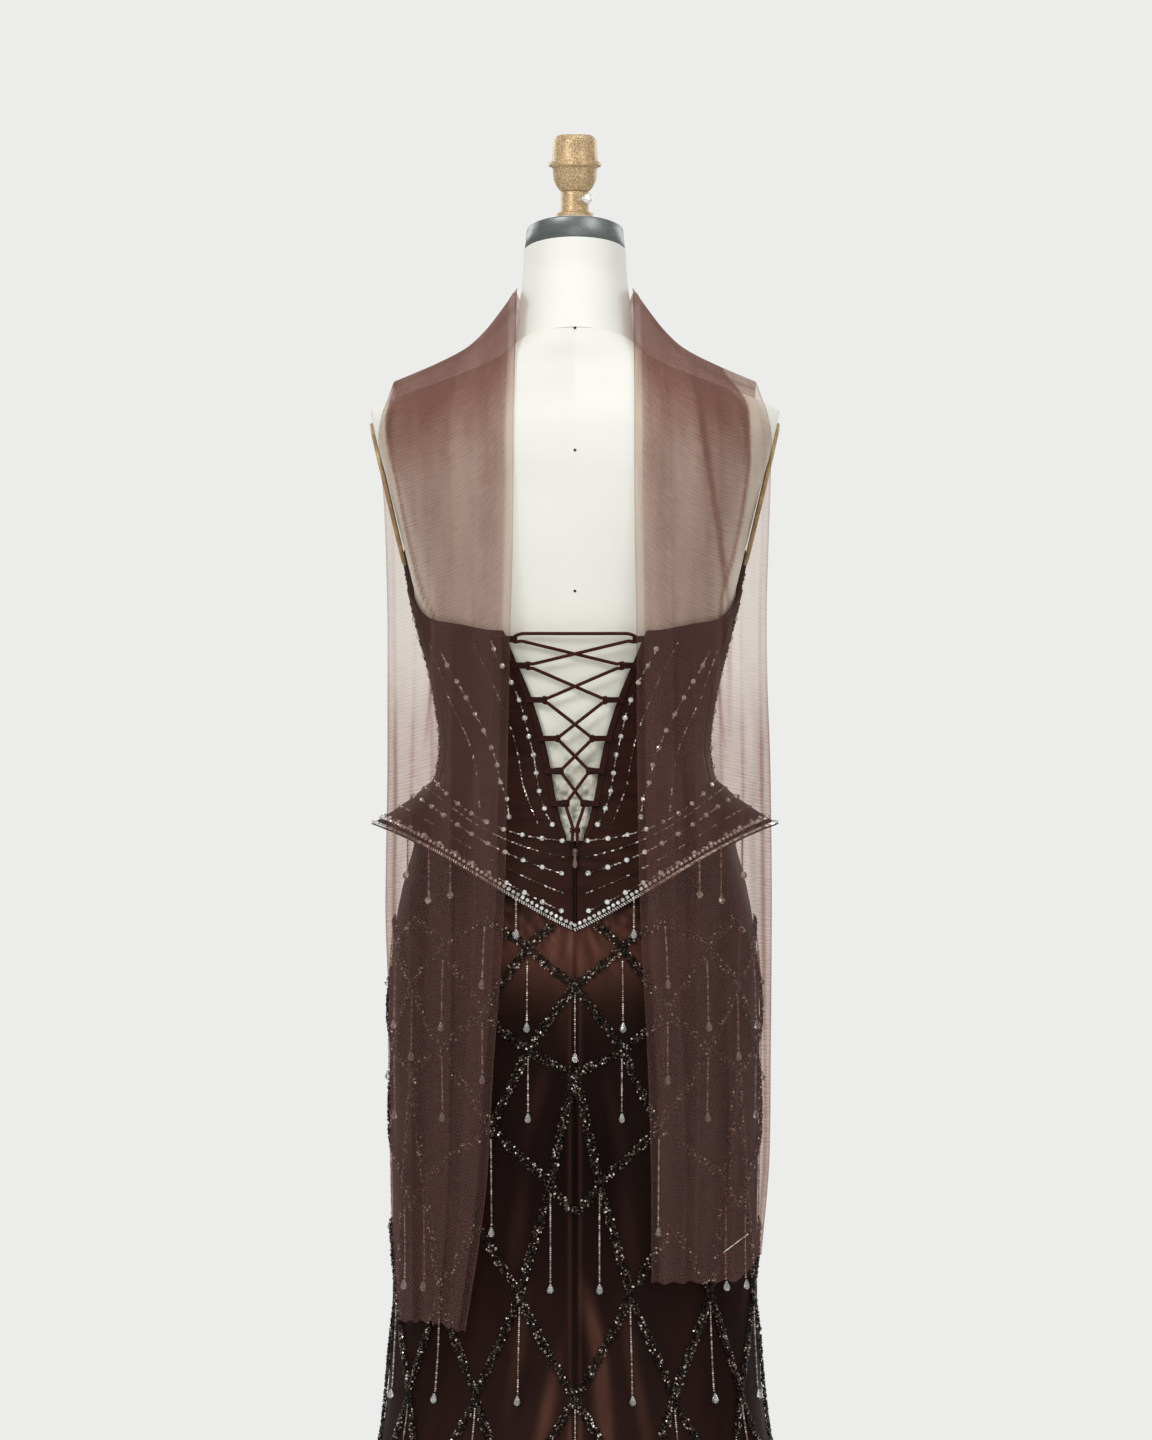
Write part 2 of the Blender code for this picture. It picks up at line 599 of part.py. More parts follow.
def build_zip(looks):
    """Closed zip down the basque's centre back: chain, slider with its bridge, and the hinged pull tab."""
    layer_in, layer_out = basque_lift(BASQUE_IN), basque_lift(BASQUE_OUT)
    heights = [mix(WAIST_SEAM_Z - GAP, ZIP_BOTTOM_Z, share) for share in BASQUE_SHARES]
    skins = []
    for layer in (layer_in, layer_out):
        grid = []
        for z in heights:
            share = (WAIST_SEAM_Z - z) / (WAIST_SEAM_Z - BASQUE_POINT_Z)
            point = figure(0, z, layer(0, share, z))
            grid.append([point + Vector((x, 0, 0)) for x in (-ZIP_WIDTH / 2, ZIP_WIDTH / 2)])
        skins.append(grid)
    wall("zip_chain", *skins, looks["zip"])
    place = slider_place(layer_out)
    build_slider(place, looks["silver"])
    build_pull_tab(place, looks["silver"])


def slider_place(layer):
    """Frame on the basque at the slider: X across, Y out of the cloth, Z down along it."""

    def surface(z):
        return figure(0, z, layer(0, (WAIST_SEAM_Z - z) / (WAIST_SEAM_Z - BASQUE_POINT_Z), z))

    down = (surface(SLIDER_Z - 0.012) - surface(SLIDER_Z + 0.004)).normalized()
    away = down.cross(Vector((1, 0, 0))).normalized()
    spot = surface(SLIDER_Z) + away * 0.0007
    frame = Matrix((Vector((1, 0, 0)), away, down)).transposed().to_4x4()
    return Matrix.Translation(spot) @ frame


def block(shape, low, high):
    """A box between two corners, added to a bmesh."""
    made = bmesh.ops.create_cube(shape, size=1)["verts"]
    low, high = Vector(low), Vector(high)
    for vertex in made:
        vertex.co = Vector((mix(low[i], high[i], vertex.co[i] + 0.5) for i in range(3)))
    return made


def outline_plate(shape, outline, low, high):
    """A plate with the given outline of (across, along) points between two levels."""
    rings = [[shape.verts.new((x, level, z)) for x, z in outline] for level in (low, high)]
    count = len(outline)
    for i in range(count):
        j = (i + 1) % count
        shape.faces.new((rings[0][i], rings[0][j], rings[1][j], rings[1][i]))
    shape.faces.new(rings[0])
    shape.faces.new(rings[1])


def build_slider(place, look):
    """Slider body with two ears and a pin across them, joined by a Boolean."""
    shape = bmesh.new()
    half = SLIDER_WIDE / 2
    outline = [(-half * 0.6, -SLIDER_LONG / 2), (half * 0.6, -SLIDER_LONG / 2), (half, 0)]
    outline += [(half * 0.8, SLIDER_LONG / 2), (-half * 0.8, SLIDER_LONG / 2), (-half, 0)]
    outline_plate(shape, outline, 0, SLIDER_HIGH)
    body = finish("zip_slider", shape, look)
    body.matrix_world = place
    pin_y = SLIDER_HIGH + PIN_LIFT
    for side in (-1, 1):
        shape = bmesh.new()
        inside, outside = side * EAR_INSIDE, side * (EAR_INSIDE + EAR_THICK)
        low = (min(inside, outside), SLIDER_HIGH - 0.0004, -0.0012)
        block(shape, low, (max(inside, outside), pin_y + 0.0011, 0.0012))
        join(body, finish("zip_ear_tool", shape, look), place)
    reach = EAR_INSIDE + EAR_THICK / 2
    shape = bmesh.new()
    turn = Matrix.Rotation(math.pi / 2, 4, "Y")
    shift = Matrix.Translation((0, pin_y, 0))
    bmesh.ops.create_cone(shape, cap_ends=True, segments=8, radius1=PIN_RADIUS, radius2=PIN_RADIUS,
                          depth=2 * reach, matrix=shift @ turn)
    join(body, finish("zip_pin_tool", shape, look), place)


def join(body, tool, place):
    """Adds a helper solid to a piece with a live Boolean."""
    tool.matrix_world = place
    tool.hide_render = True
    tool.display_type = "WIRE"
    added = body.modifiers.new("join", "BOOLEAN")
    added.operation = "UNION"
    added.object = tool


def build_pull_tab(place, look):
    """Teardrop tab with an eye round the slider's pin; its origin lies on the pin's axis."""
    shape = bmesh.new()
    eye_out, eye_in, sides = 0.0015, PIN_RADIUS + GAP, 10
    half_thick = EAR_INSIDE - GAP
    neck = 0.0042
    rings = []
    for radius in (eye_out, eye_in):
        for x in (-half_thick, half_thick):
            turns = [2 * math.pi * i / sides for i in range(sides)]
            rings.append([shape.verts.new((x, radius * math.cos(t), radius * math.sin(t))) for t in turns])
    for i in range(sides):
        j = (i + 1) % sides
        for one, two in ((0, 1), (2, 3), (0, 2), (1, 3)):
            shape.faces.new((rings[one][i], rings[one][j], rings[two][j], rings[two][i]))
    tab = finish("zip_pull_tab", shape, look)
    hinge = place @ Matrix.Translation((0, SLIDER_HIGH + PIN_LIFT, 0))
    tab.matrix_world = hinge
    shape = bmesh.new()
    start, end = 0.0011, TAB_LONG
    outline = [(-half_thick, start), (-half_thick, neck), (-TAB_WIDE * 0.30, end * 0.45), (-TAB_WIDE / 2, end * 0.74)]
    outline += [(-TAB_WIDE * 0.40, end * 0.91), (-TAB_WIDE * 0.15, end), (TAB_WIDE * 0.15, end)]
    outline += [(TAB_WIDE * 0.40, end * 0.91), (TAB_WIDE / 2, end * 0.74), (TAB_WIDE * 0.30, end * 0.45)]
    outline += [(half_thick, neck), (half_thick, start)]
    outline_plate(shape, outline, -TAB_THICK / 2, TAB_THICK / 2)
    join(tab, finish("zip_tab_tool", shape, look), hinge)


# ---------------------------------------------------------------- lacing
def over_opening(x, z, out):
    """Point above the back of the form at a distance from the centre line."""
    return figure(azimuth_at(x, z), z, out)


def build_lacing(looks):
    for row in range(len(LOOPS)):
        for side, word in ((-1, "left"), (1, "right")):
            build_loop(f"lace_loop_{word}_{row}", side, row, looks["binding"])
    bridge_z = LOOPS[0][0] + LACE_BRIDGE_RISE
    bridge = [(over_opening(LOOPS[0][1] * share, bridge_z, LACE_LIFT), None) for share in (0.75, 0.3, -0.3, -0.75)]
    down = [(spot, way and -way) for spot, way in lace_half(1, -1)[::-1]]
    build_cord("lace", lace_half(-1, 1) + bridge + down, LACE_RADIUS, looks["cord"])


def loop_frame(side, row):
    """Middle of a loop's hole, and the directions out to its root, out of the cloth and up along the cloth."""
    z, x = LOOPS[row]
    centre = over_opening(side * x, z, LACE_LIFT)
    up = (over_opening(side * x, z + 0.004, LACE_LIFT) - over_opening(side * x, z - 0.004, LACE_LIFT)).normalized()
    across = (over_opening(side * (x + 0.003), z, LACE_LIFT) - centre).normalized()
    away = across.cross(up).normalized()
    away = away if away.y < 0 else -away
    return centre, across, away, up


def lace_half(side, over):
    """Points of one half of the lace, from its free end up to the top loop that it reaches."""
    spots = [(over_opening(side * 0.0024, LACE_END_Z, LACE_LIFT), None)]
    spots += [(over_opening(side * 0.0021, z, LACE_LIFT), None) for z in (LACE_KNOT_Z - 0.006, LACE_KNOT_Z)]
    for row in range(len(LOOPS) - 1, 0, -1):
        centre, _, _, up = loop_frame(side, row)
        spots += [(centre - up * LACE_THROUGH, up), (centre + up * LACE_THROUGH, up)]
        (z, x), (next_z, next_x) = LOOPS[row], LOOPS[row - 1]
        cross_z = mix(z, next_z, x / (x + next_x))
        level = LACE_LIFT + over * LACE_CROSS
        spots.append((over_opening(side * x * 0.45, mix(z + LACE_THROUGH, cross_z, 0.55), level), None))
        spots.append((over_opening(0, cross_z, level), None))
        spots.append((over_opening(-side * next_x * 0.45, mix(cross_z, next_z - LACE_THROUGH, 0.45), level), None))
        side, over = -side, -over
    centre, _, _, up = loop_frame(side, 0)
    return spots + [(centre - up * LACE_THROUGH, up), (centre + up * LACE_THROUGH, up)]


def build_cord(name, stops, radius, look, steps=2):
    """A tube on a smooth curve through stops, each a point and the direction there, or None for an even bend."""
    points = [point for point, _ in stops]
    ways = []
    for i, (_, way) in enumerate(stops):
        chord = points[min(i + 1, len(stops) - 1)] - points[max(i - 1, 0)]
        ways.append(way or chord.normalized())
    route = []
    for i in range(len(stops) - 1):
        start, end = points[i], points[i + 1]
        reach = (end - start).length * 0.35
        straight = abs(ways[i].dot(end - start)) > (end - start).length * 0.9999
        count = 1 if straight and ways[i].dot(ways[i + 1]) > 0.9999 else steps
        for k in range(count):
            t = k / count
            a, b = (1 - t) ** 3, 3 * t * (1 - t) ** 2
            c, d = 3 * t * t * (1 - t), t**3
            route.append(a * start + b * (start + ways[i] * reach) + c * (end - ways[i + 1] * reach) + d * end)
    route.append(points[-1])
    curve = bpy.data.curves.new(name, "CURVE")
    curve.dimensions = "3D"
    curve.bevel_depth = radius
    curve.bevel_resolution = 2
    curve.use_fill_caps = True
    line = curve.splines.new("POLY")
    line.points.add(len(route) - 1)
    for spot, point in zip(line.points, route):
        spot.co = (*point, 1)
    curve.materials.append(look)
    thing = bpy.data.objects.new(name, curve)
    bpy.context.scene.collection.objects.link(thing)
    return thing


def build_loop(name, side, row, look):
    """A narrow strip of cloth doubled round the lace, with both ends on the binding."""
    z, _ = LOOPS[row]
    centre, across, away, up = loop_frame(side, row)
    root_x = OPENING.at("half", z) + BINDING_WIDTH * 0.8
    base = over_opening(side * root_x, z, BODICE_OUT + 4 * GAP + BINDING_THICK + LOOP_THICK)
    length = (base - centre).dot(across)
    drop = (base - centre).dot(away)
    hole = LACE_RADIUS + 3 * GAP
    outlines = []
    for radius, tail, half in ((hole + LOOP_THICK, length, LOOP_THICK), (hole, length * 0.60, 0.00015)):
        turns = [math.radians(mix(80, 280, i / 9)) for i in range(10)]
        outline = [(radius * math.cos(turn), radius * math.sin(turn)) for turn in turns]
        outlines.append(outline + [(tail, drop * tail / length + lift) for lift in (-half, half)])
    shape = bmesh.new()
    rings = []
    for outline in outlines:
        for level in (-LOOP_WIDTH / 2, LOOP_WIDTH / 2):
            rings.append([shape.verts.new(centre + across * a + away * n + up * level) for a, n in outline])
    count = len(outlines[0])
    for i in range(count):
        j = (i + 1) % count
        for one, two in ((0, 1), (2, 3), (0, 2), (1, 3)):
            shape.faces.new((rings[one][i], rings[one][j], rings[two][j], rings[two][i]))
    finish(name, shape, look)


# ---------------------------------------------------------------- skirt
def skirt_top(azimuth):
    return seam_z(azimuth) - SKIRT_TOP_DROP


def build_skirt(looks):
    for name, start, end, count in (
        ("skirt_back_right", 0, SIDE_SEAM_AZIMUTH, 18),
        ("skirt_back_left", -SIDE_SEAM_AZIMUTH, 0, 18),
        ("skirt_front", SIDE_SEAM_AZIMUTH, 360 - SIDE_SEAM_AZIMUTH, 34),
    ):
        azimuths = spread(start, end, count, 0.5)
        skins = [panel_grid(azimuths, skirt_top, lambda _: HEM_Z, SKIRT_SHARES, out)
                 for out in (BODICE_IN, BODICE_OUT)]
        wall(name, *skins, looks["satin"])


def lattice_azimuth(degrees, z):
    """Azimuth of a lattice corner once the modules near the centre back are drawn in."""
    turn = (degrees + 180) % 360 - 180
    drawn = 1 + DRAWN_IN.at("share", z) * math.exp(-((turn / DRAWN_IN_REACH) ** 2))
    return math.radians(turn * drawn)


def top_rope_corners(side):
    """The open zigzag under the basque's edge on one side, from near the back point to near the front point."""
    turns = [TOP_ROPE_END]
    turns += [(15 * k, TOP_ROPE_Z[k % 2]) for k in range(1, 12)]
    turns.append((180 - TOP_ROPE_END[0], TOP_ROPE_END[1]))
    corners = [(side * lattice_azimuth(degrees, z), z) for degrees, z in turns]
    return [corner if i in (0, 12) else apart(corners, i) for i, corner in enumerate(corners)]


def ring_corners(name):
    """All (azimuth in radians, height) corners of a ring, from the centre back round to it again."""
    half = LATTICE[name]
    module = half + [(60 - degrees, z) for degrees, z in half[-2::-1]]
    turns = []
    for index in range(MODULES):
        turns += [(60 * index + degrees, z) for degrees, z in module[:-1]]
    corners = [(lattice_azimuth(degrees, z) % (2 * math.pi), z) for degrees, z in turns]
    return [apart(corners, i) for i in range(len(corners))]


def apart(corners, index):
    """A corner drawn back so that its tip stays clear of the ring that it meets there."""
    azimuth, z = corners[index]
    sides = [corners[index - 1], corners[(index + 1) % len(corners)]]
    rises = [z - other for _, other in sides]
    if rises[0] * rises[1] <= 0:
        return azimuth, z
    ways = [(figure(*side) - figure(azimuth, z)).normalized() for side in sides]
    along = (ways[1] - ways[0]).normalized()
    tip = ROPE_WIDTH / 2 / max(abs(along.dot(ways[1])), MITER_LEAST)
    return azimuth, z - math.copysign(tip + GAP, rises[0])


def rope_route(corners, closed):
    """Points along a ring about a step apart, as (azimuth, height)."""
    route = []
    following = corners[1:] + (corners[:1] if closed else [])
    for (azimuth, z), (next_azimuth, next_z) in zip(corners, following):
        turn = (next_azimuth - azimuth + math.pi) % (2 * math.pi) - math.pi
        length = (figure(azimuth + turn, next_z) - figure(azimuth, z)).length
        count = max(round(length / ROPE_STEP), 1)
        route += [(azimuth + turn * i / count, mix(z, next_z, i / count)) for i in range(count)]
    return route if closed else route + [corners[-1]]


def build_lattice(looks):
    """Thick bead ropes over the skirt, each a three-sided tube seated on the skirt's own facets."""
    skirt = BVHTree.FromPolygons(*skirt_facets())
    build_rope("lattice_1_left", skirt, top_rope_corners(-1), False, looks["rope"])
    build_rope("lattice_1_right", skirt, top_rope_corners(1), False, looks["rope"])
    for name in LATTICE:
        build_rope(name, skirt, ring_corners(name), True, looks["rope"])


def build_rope(name, skirt, corners, closed, look):
    spots = [seated(skirt, azimuth, z) for azimuth, z in rope_route(corners, closed)]
    count = len(spots)
    feet = []
    for i, (spot, away) in enumerate(spots):
        ahead = spots[(i + 1) % count if closed else min(i + 1, count - 1)][0] - spot
        behind = spot - spots[i - 1 if closed else max(i - 1, 0)][0]
        ways = [way.normalized() for way in (ahead, behind) if way.length > 0]
        along = sum(ways, Vector()).normalized()
        across = along.cross(away).normalized()
        half = across * ROPE_WIDTH / 2 / max(along.dot(ways[0]), MITER_LEAST)
        feet.append((spot - half, spot + half))
    lifts = rope_lifts(skirt, feet, [away for _, away in spots], closed)
    rings = []
    for (spot, away), (low, high), lift in zip(spots, feet, lifts):
        rise = away * lift
        rings.append([low + rise, high + rise, spot + rise + away * ROPE_THICK])
    tube(name, rings, look, closed)


def rope_lifts(skirt, feet, aways, closed):
    """How far each stop of a rope is raised, so that its straight stretches clear the cloth by the gap."""
    count = len(feet)
    lifts = [GAP] * count
    for i in range(count if closed else count - 1):
        j = (i + 1) % count
        away = (aways[i] + aways[j]).normalized()
        (low, high), (next_low, next_high) = feet[i], feet[j]
        edges = [(low, next_low), (high, next_high), (low, next_high), (high, next_low)]
        for start, end in edges + [((low + high) / 2, (next_low + next_high) / 2)]:
            for k in range(13):
                point = start.lerp(end, k / 12)
                hit = skirt.ray_cast(point + away * 0.02, -away, 0.04)[0]
                need = (hit - point).dot(away) + GAP if hit else 0
                lifts[i], lifts[j] = max(lifts[i], need), max(lifts[j], need)
    return lifts


def skirt_facets():
    """Corners and faces of the three skirt panels as built."""
    corners, faces = [], []
    for name in ("skirt_back_left", "skirt_back_right", "skirt_front"):
        mesh = bpy.data.objects[name].data
        mesh.calc_loop_triangles()
        faces += [[len(corners) + i for i in face.vertices] for face in mesh.loop_triangles]
        corners += [vertex.co.copy() for vertex in mesh.vertices]
    return corners, faces


def seated(skirt, azimuth, z):
    """Spot on the skirt at an azimuth and a height, and the way out of the cloth there."""
    step = 0.01
    outside = figure(azimuth, z, 0.04)
    inward = (figure(azimuth, z) - outside).normalized()
    spot = skirt.ray_cast(outside, inward, 0.06)[0]
    if spot is None:  # the ray went through a seam
        beside = inward.cross(Vector((0, 0, 1))) * 3 * GAP
        spot = skirt.ray_cast(outside + beside, inward, 0.06)[0] - beside
    across = figure(azimuth + step, z) - figure(azimuth - step, z)
    up = figure(azimuth, z + step) - figure(azimuth, z - step)
    away = across.cross(up).normalized()
    return spot, away


def tube(name, rings, look, closed):
    """Solid tube through rings of points, joined end to end or capped."""
    shape = bmesh.new()
    rows = [[shape.verts.new(point) for point in ring] for ring in rings]
    sides = len(rows[0])
    for one, two in zip(rows, rows[1:] + (rows[:1] if closed else [])):
        for i in range(sides):
            j = (i + 1) % sides
            shape.faces.new((one[i], one[j], two[j], two[i]))
    if not closed:
        shape.faces.new(rows[0])
        shape.faces.new(rows[-1])
    return finish(name, shape, look)


# ---------------------------------------------------------------- stole
def gown_layer(azimuth, z):
    """Outermost layer of the gown, with room for what is sewn on it."""
    high, low = seam_z(azimuth), basque_edge_z(azimuth)
    if z > top_z(azimuth) + 0.012:
        return 0.0
    if z > high:
        return BODICE_OUT + GOWN_CLEAR
    if z > low - 0.012:
        return basque_lift(BASQUE_OUT + TRIM_THICK)(azimuth, min((high - z) / (high - low), 1), z) + GOWN_CLEAR
    return BODICE_OUT + ROPE_THICK + GOWN_CLEAR


@functools.lru_cache(maxsize=None)
def section(z, back):
    """(distances from the centre line, depths) of the dressed figure at a height."""
    points = []
    for degrees in range(0, 102, 3):
        azimuth = math.radians(degrees if back else 180 - degrees)
        points.append(figure(azimuth, z, gown_layer(azimuth, z)))
    return [point.x for point in points], [-point.y if back else point.y for point in points]


def cover(x, z, back):
    """How far the dressed figure reaches behind (or before) the middle at a spot, or None beside it."""
    widths, depths = section(round(z, 3), back)
    x = max(abs(x), widths[0])
    found = None
    for i in range(len(widths) - 1):
        near, far = widths[i], widths[i + 1]
        if min(near, far) <= x <= max(near, far) and near != far:
            depth = mix(depths[i], depths[i + 1], (x - near) / (far - near))
            found = depth if found is None else max(found, depth)
    return found


def neck_cover(x, z, back):
    """The same for the neck, whose sections are tipped."""
    level = z
    for _ in range(4):
        half = NECK.at("half", level) + 0.0015
        reach = math.sqrt(max(half * half - x * x, 0))
        level = z + NECK.at("tilt", level) * (half - reach if back else half + reach)
    if abs(x) >= half or not NECK_SEAM_Z - 0.02 < level < 1.53:
        return None
    centre = NECK.at("centre", level)
    return reach - centre if back else reach + centre


def draped(x, start_z, end_z, back, samples=48):
    """Depth of cloth hanging from the shoulder at one distance from the centre, as a function of height.

    It is pulled tight over what stands out above, then falls straight until something below pushes it out.
    """
    start = -RIDGE_Y if back else RIDGE_Y
    beside_neck = neck_cover(x, start_z, back)
    if beside_neck is not None:
        start = max(start, beside_neck)
    heights = [mix(start_z, end_z, (i / samples) ** 1.6) for i in range(samples + 1)]
    points = [(start_z, start)]
    for z in heights[1:]:
        reach = [value for value in (cover(x, z, back), neck_cover(x, z, back)) if value is not None]
        points.append((z, max(reach + [start])))
    peak = max(range(len(points)), key=lambda i: points[i][1] if points[i][0] > 1.20 else -1)
    taut = []
    for point in points[: peak + 1]:
        while len(taut) > 1 and turns_in(taut[-2], taut[-1], point):
            taut.pop()
        taut.append(point)
    held = taut[-1][1]
    for z, depth in points[peak + 1 :]:
        held = max(held, depth)
        taut.append((z, held))
    heights, depths = np.array(taut).T
    return lambda z: float(np.interp(z, heights[::-1], depths[::-1]))


def turns_in(first, middle, last):
    """True if the middle point lies under the straight line between its neighbours."""
    share = (first[0] - middle[0]) / (first[0] - last[0])
    return middle[1] <= mix(first[1], last[1], share)


def build_tail(side, word, look):
    edges, hem = TAILS[word], TAIL_HEM_Z[word]
    grid = [[] for _ in TAIL_SHARES]
    for c in range(TAIL_COLUMNS + 1):
        across = c / TAIL_COLUMNS
        top_x = mix(edges.at("inner", 1.485), edges.at("outer", 1.400), across)
        top = RIDGE.at("z", top_x)
        for r, share in enumerate(TAIL_SHARES):
            z = mix(top, hem, share)
            x = top_x if r == 0 else mix(edges.at("inner", z), edges.at("outer", z), across)
            reach = draped(x, RIDGE.at("z", x), hem, True)
            depth = reach(z - TAIL_SLACK * smooth((1.20 - z) / 0.10))
            wave = TAIL_WAVE_DEPTH * smooth(share * 3) * (0.5 - 0.5 * math.cos(2 * math.pi * TAIL_WAVES * across))
            clear = SHOULDER_CLEAR if r else 0
            grid[r].append(Vector((side * x, -depth - wave - clear, z + SHOULDER_CLEAR * (1 - share))))
    for point in grid[0]:
        point.y = RIDGE_Y - GAP / 2
    outer = thickened(grid, TULLE_THICK, (0, RIDGE_Y))
    for low, high in zip(grid[0], outer[0]):
        high.xyz = low + Vector((0, 0, TULLE_THICK))
    wall("stole_tail_" + word, grid, outer, look)


def build_swag(look):
    """The stole's middle, round the front of the neck and down over the chest."""
    shares = (0, 0.04, 0.09, 0.15, 0.23, 0.33, 0.43, 0.53, 0.64, 0.75, 0.87, 1)
    count = 24
    grid = [[] for _ in shares]
    widest = RIDGE.keys[-1]
    for c in range(count + 1):
        x = mix(-widest, widest, c / count)
        inside = abs(x) < RIDGE.keys[0]
        top = RIDGE.at("z", abs(x))
        if inside:
            top = mix(SWAG_TOP_Z, top, (abs(x) / RIDGE.keys[0]) ** 4)
        low = mix(SWAG_BOTTOM_Z, SWAG_OUTER_Z, (abs(x) / widest) ** 2)
        reach = draped(x, top, low, False)
        for r, share in enumerate(shares):
            z = mix(top, low, share)
            wave = 0.005 * smooth(share * 4) * (0.5 - 0.5 * math.cos(2 * math.pi * 3 * share))
            grid[r].append(Vector((x, reach(z) + wave + SWAG_CLEAR, z + SHOULDER_CLEAR)))
    for point in grid[0]:
        if abs(point.x) >= RIDGE.keys[0] - 0.001:
            point.y = RIDGE_Y + GAP / 2
    outer = thickened(grid, TULLE_THICK, (0, RIDGE_Y))
    for low, high in zip(grid[0], outer[0]):
        if low.y < 0:
            high.xyz = low + Vector((0, 0, TULLE_THICK))
    wall("stole_front", grid, outer, look)


def build_stole(looks):
    build_tail(-1, "left", looks["tulle"])
    build_tail(1, "right", looks["tulle"])
    build_swag(looks["tulle"])


# ---------------------------------------------------------------- whole model
def make_looks():
    return {
        "ivory": material("ivory_jersey", (0.80, 0.80, 0.74), 0.80),
        "steel": material("brushed_steel", (0.62, 0.60, 0.56), 0.35, 1.0),
        "bright_steel": material("bright_steel", (0.80, 0.80, 0.80), 0.20, 1.0),
        "dark_steel": material("dark_steel", (0.05, 0.05, 0.05), 0.45, 0.6),
        "gold": material("aged_gold", (0.55, 0.40, 0.20), 0.35, 1.0),
        "ochre": material("ochre_plate", (0.48, 0.34, 0.13), 0.50, 0.3),
        "satin": material("brown_satin", (0.075, 0.032, 0.026), 0.45),
        "binding": material("satin_binding", (0.055, 0.022, 0.020), 0.45),
        "cord": material("satin_cord", (0.070, 0.020, 0.018), 0.50),
        "crystal": material("crystal_trim", (0.62, 0.66, 0.60), 0.15, 0.4),
        "zip": material("zip_chain", (0.030, 0.014, 0.012), 0.60),
        "rope": material("bead_rope", (0.16, 0.13, 0.12), 0.20, 0.8),
        "silver": material("silver_pull", (0.70, 0.68, 0.66), 0.25, 1.0),
        "tulle": material("brown_tulle", (0.25, 0.15, 0.12), 0.90),
    }


def main():
    clear_scene()
    looks = make_looks()
    build_form(looks)
    build_bodice(looks)
    build_basque(looks)
    build_zip(looks)
    build_lacing(looks)
    build_skirt(looks)
    build_lattice(looks)
    build_stole(looks)


main()
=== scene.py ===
"""Dressed model of a beaded evening gown with a tulle stole on a limbless dress form.

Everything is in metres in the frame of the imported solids: +Z up, the laced back facing -Y. An azimuth is 0
at the centre back, a quarter turn at the +X side and half a turn at the centre front. A layer is a distance
out from the figure's own shape, so cloth, beads and cords keep their order from the form outwards.
"""

import logging
import math
import random
from bisect import bisect_right
from dataclasses import dataclass, field
from enum import Enum
from typing import Callable, Optional, Sequence

import bmesh
import bpy
import numpy as np
from mathutils import Matrix, Vector


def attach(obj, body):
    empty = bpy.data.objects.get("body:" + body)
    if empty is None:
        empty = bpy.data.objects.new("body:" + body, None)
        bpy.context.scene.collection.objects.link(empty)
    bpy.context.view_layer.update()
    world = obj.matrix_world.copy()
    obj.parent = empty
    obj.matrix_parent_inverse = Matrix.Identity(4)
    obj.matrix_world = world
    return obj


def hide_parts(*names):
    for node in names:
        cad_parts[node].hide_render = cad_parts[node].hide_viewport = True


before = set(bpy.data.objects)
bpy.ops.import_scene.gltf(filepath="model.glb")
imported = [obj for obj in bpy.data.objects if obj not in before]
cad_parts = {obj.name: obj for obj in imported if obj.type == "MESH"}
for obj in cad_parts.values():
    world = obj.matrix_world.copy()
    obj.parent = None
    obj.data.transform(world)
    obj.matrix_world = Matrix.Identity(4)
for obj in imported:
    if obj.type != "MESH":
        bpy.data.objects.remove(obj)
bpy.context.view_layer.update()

log = logging.getLogger("gown")
Grid, Values = list[list[Vector]], list[list[float]]
Pair, Triple = tuple[float, float], tuple[float, float, float]
Route, Colour = list[Pair], Triple
Stops = tuple[tuple[float, Colour], ...]
Place = tuple[Vector, Vector, Vector]
Socket, Node, Mesh, Thing = bpy.types.NodeSocket, bpy.types.Node, bpy.types.Mesh, bpy.types.Object
TAU = 2 * math.pi


class Body(Enum):
    """The rigid bodies that pieces ride on."""

    GOWN = "gown_and_form"
    PULL_TAB = "pull_tab"
    SCREW = "screw"


class Hold(Enum):
    """How a sheet of cloth is held in place."""

    HUNG = "hung"
    DRAPED = "draped"
    STRETCHED = "stretched"


class Side(Enum):
    """Left or right of the centre line, seen from behind."""

    LEFT = -1
    RIGHT = 1

    @property
    def word(self) -> str:
        """The side's name as the nodes spell it."""
        return self.name.lower()


def mix(start: float, end: float, share: float) -> float:
    """Return the value at a share of the way from start to end."""
    return start + (end - start) * share


def even(start: float, end: float, count: int) -> list[float]:
    """Return evenly spaced values from start to end, one more than this count."""
    return [mix(start, end, i / count) for i in range(count + 1)]


def smooth(share: float) -> float:
    """Return a share eased at both ends and held between 0 and 1."""
    share = min(max(share, 0.0), 1.0)
    return share * share * (3 - 2 * share)


def bell(distance: float, width: float) -> float:
    """Return a soft bump of height 1 that fades over this width."""
    return math.exp(-((distance / width) ** 2))


def signed_power(value: float, power: float) -> float:
    """Return the value raised to a power with its sign kept."""
    return math.copysign(abs(value) ** power, value)


def turn_between(start: float, end: float) -> float:
    """Return the turn from one azimuth to another, the short way round."""
    return (end - start + math.pi) % TAU - math.pi


def circle(count: int, across: float, up: float) -> Route:
    """Return points evenly spaced round an upright oval with these half sizes."""
    return [(across * math.cos(TAU * i / count), up * math.sin(TAU * i / count)) for i in range(count)]


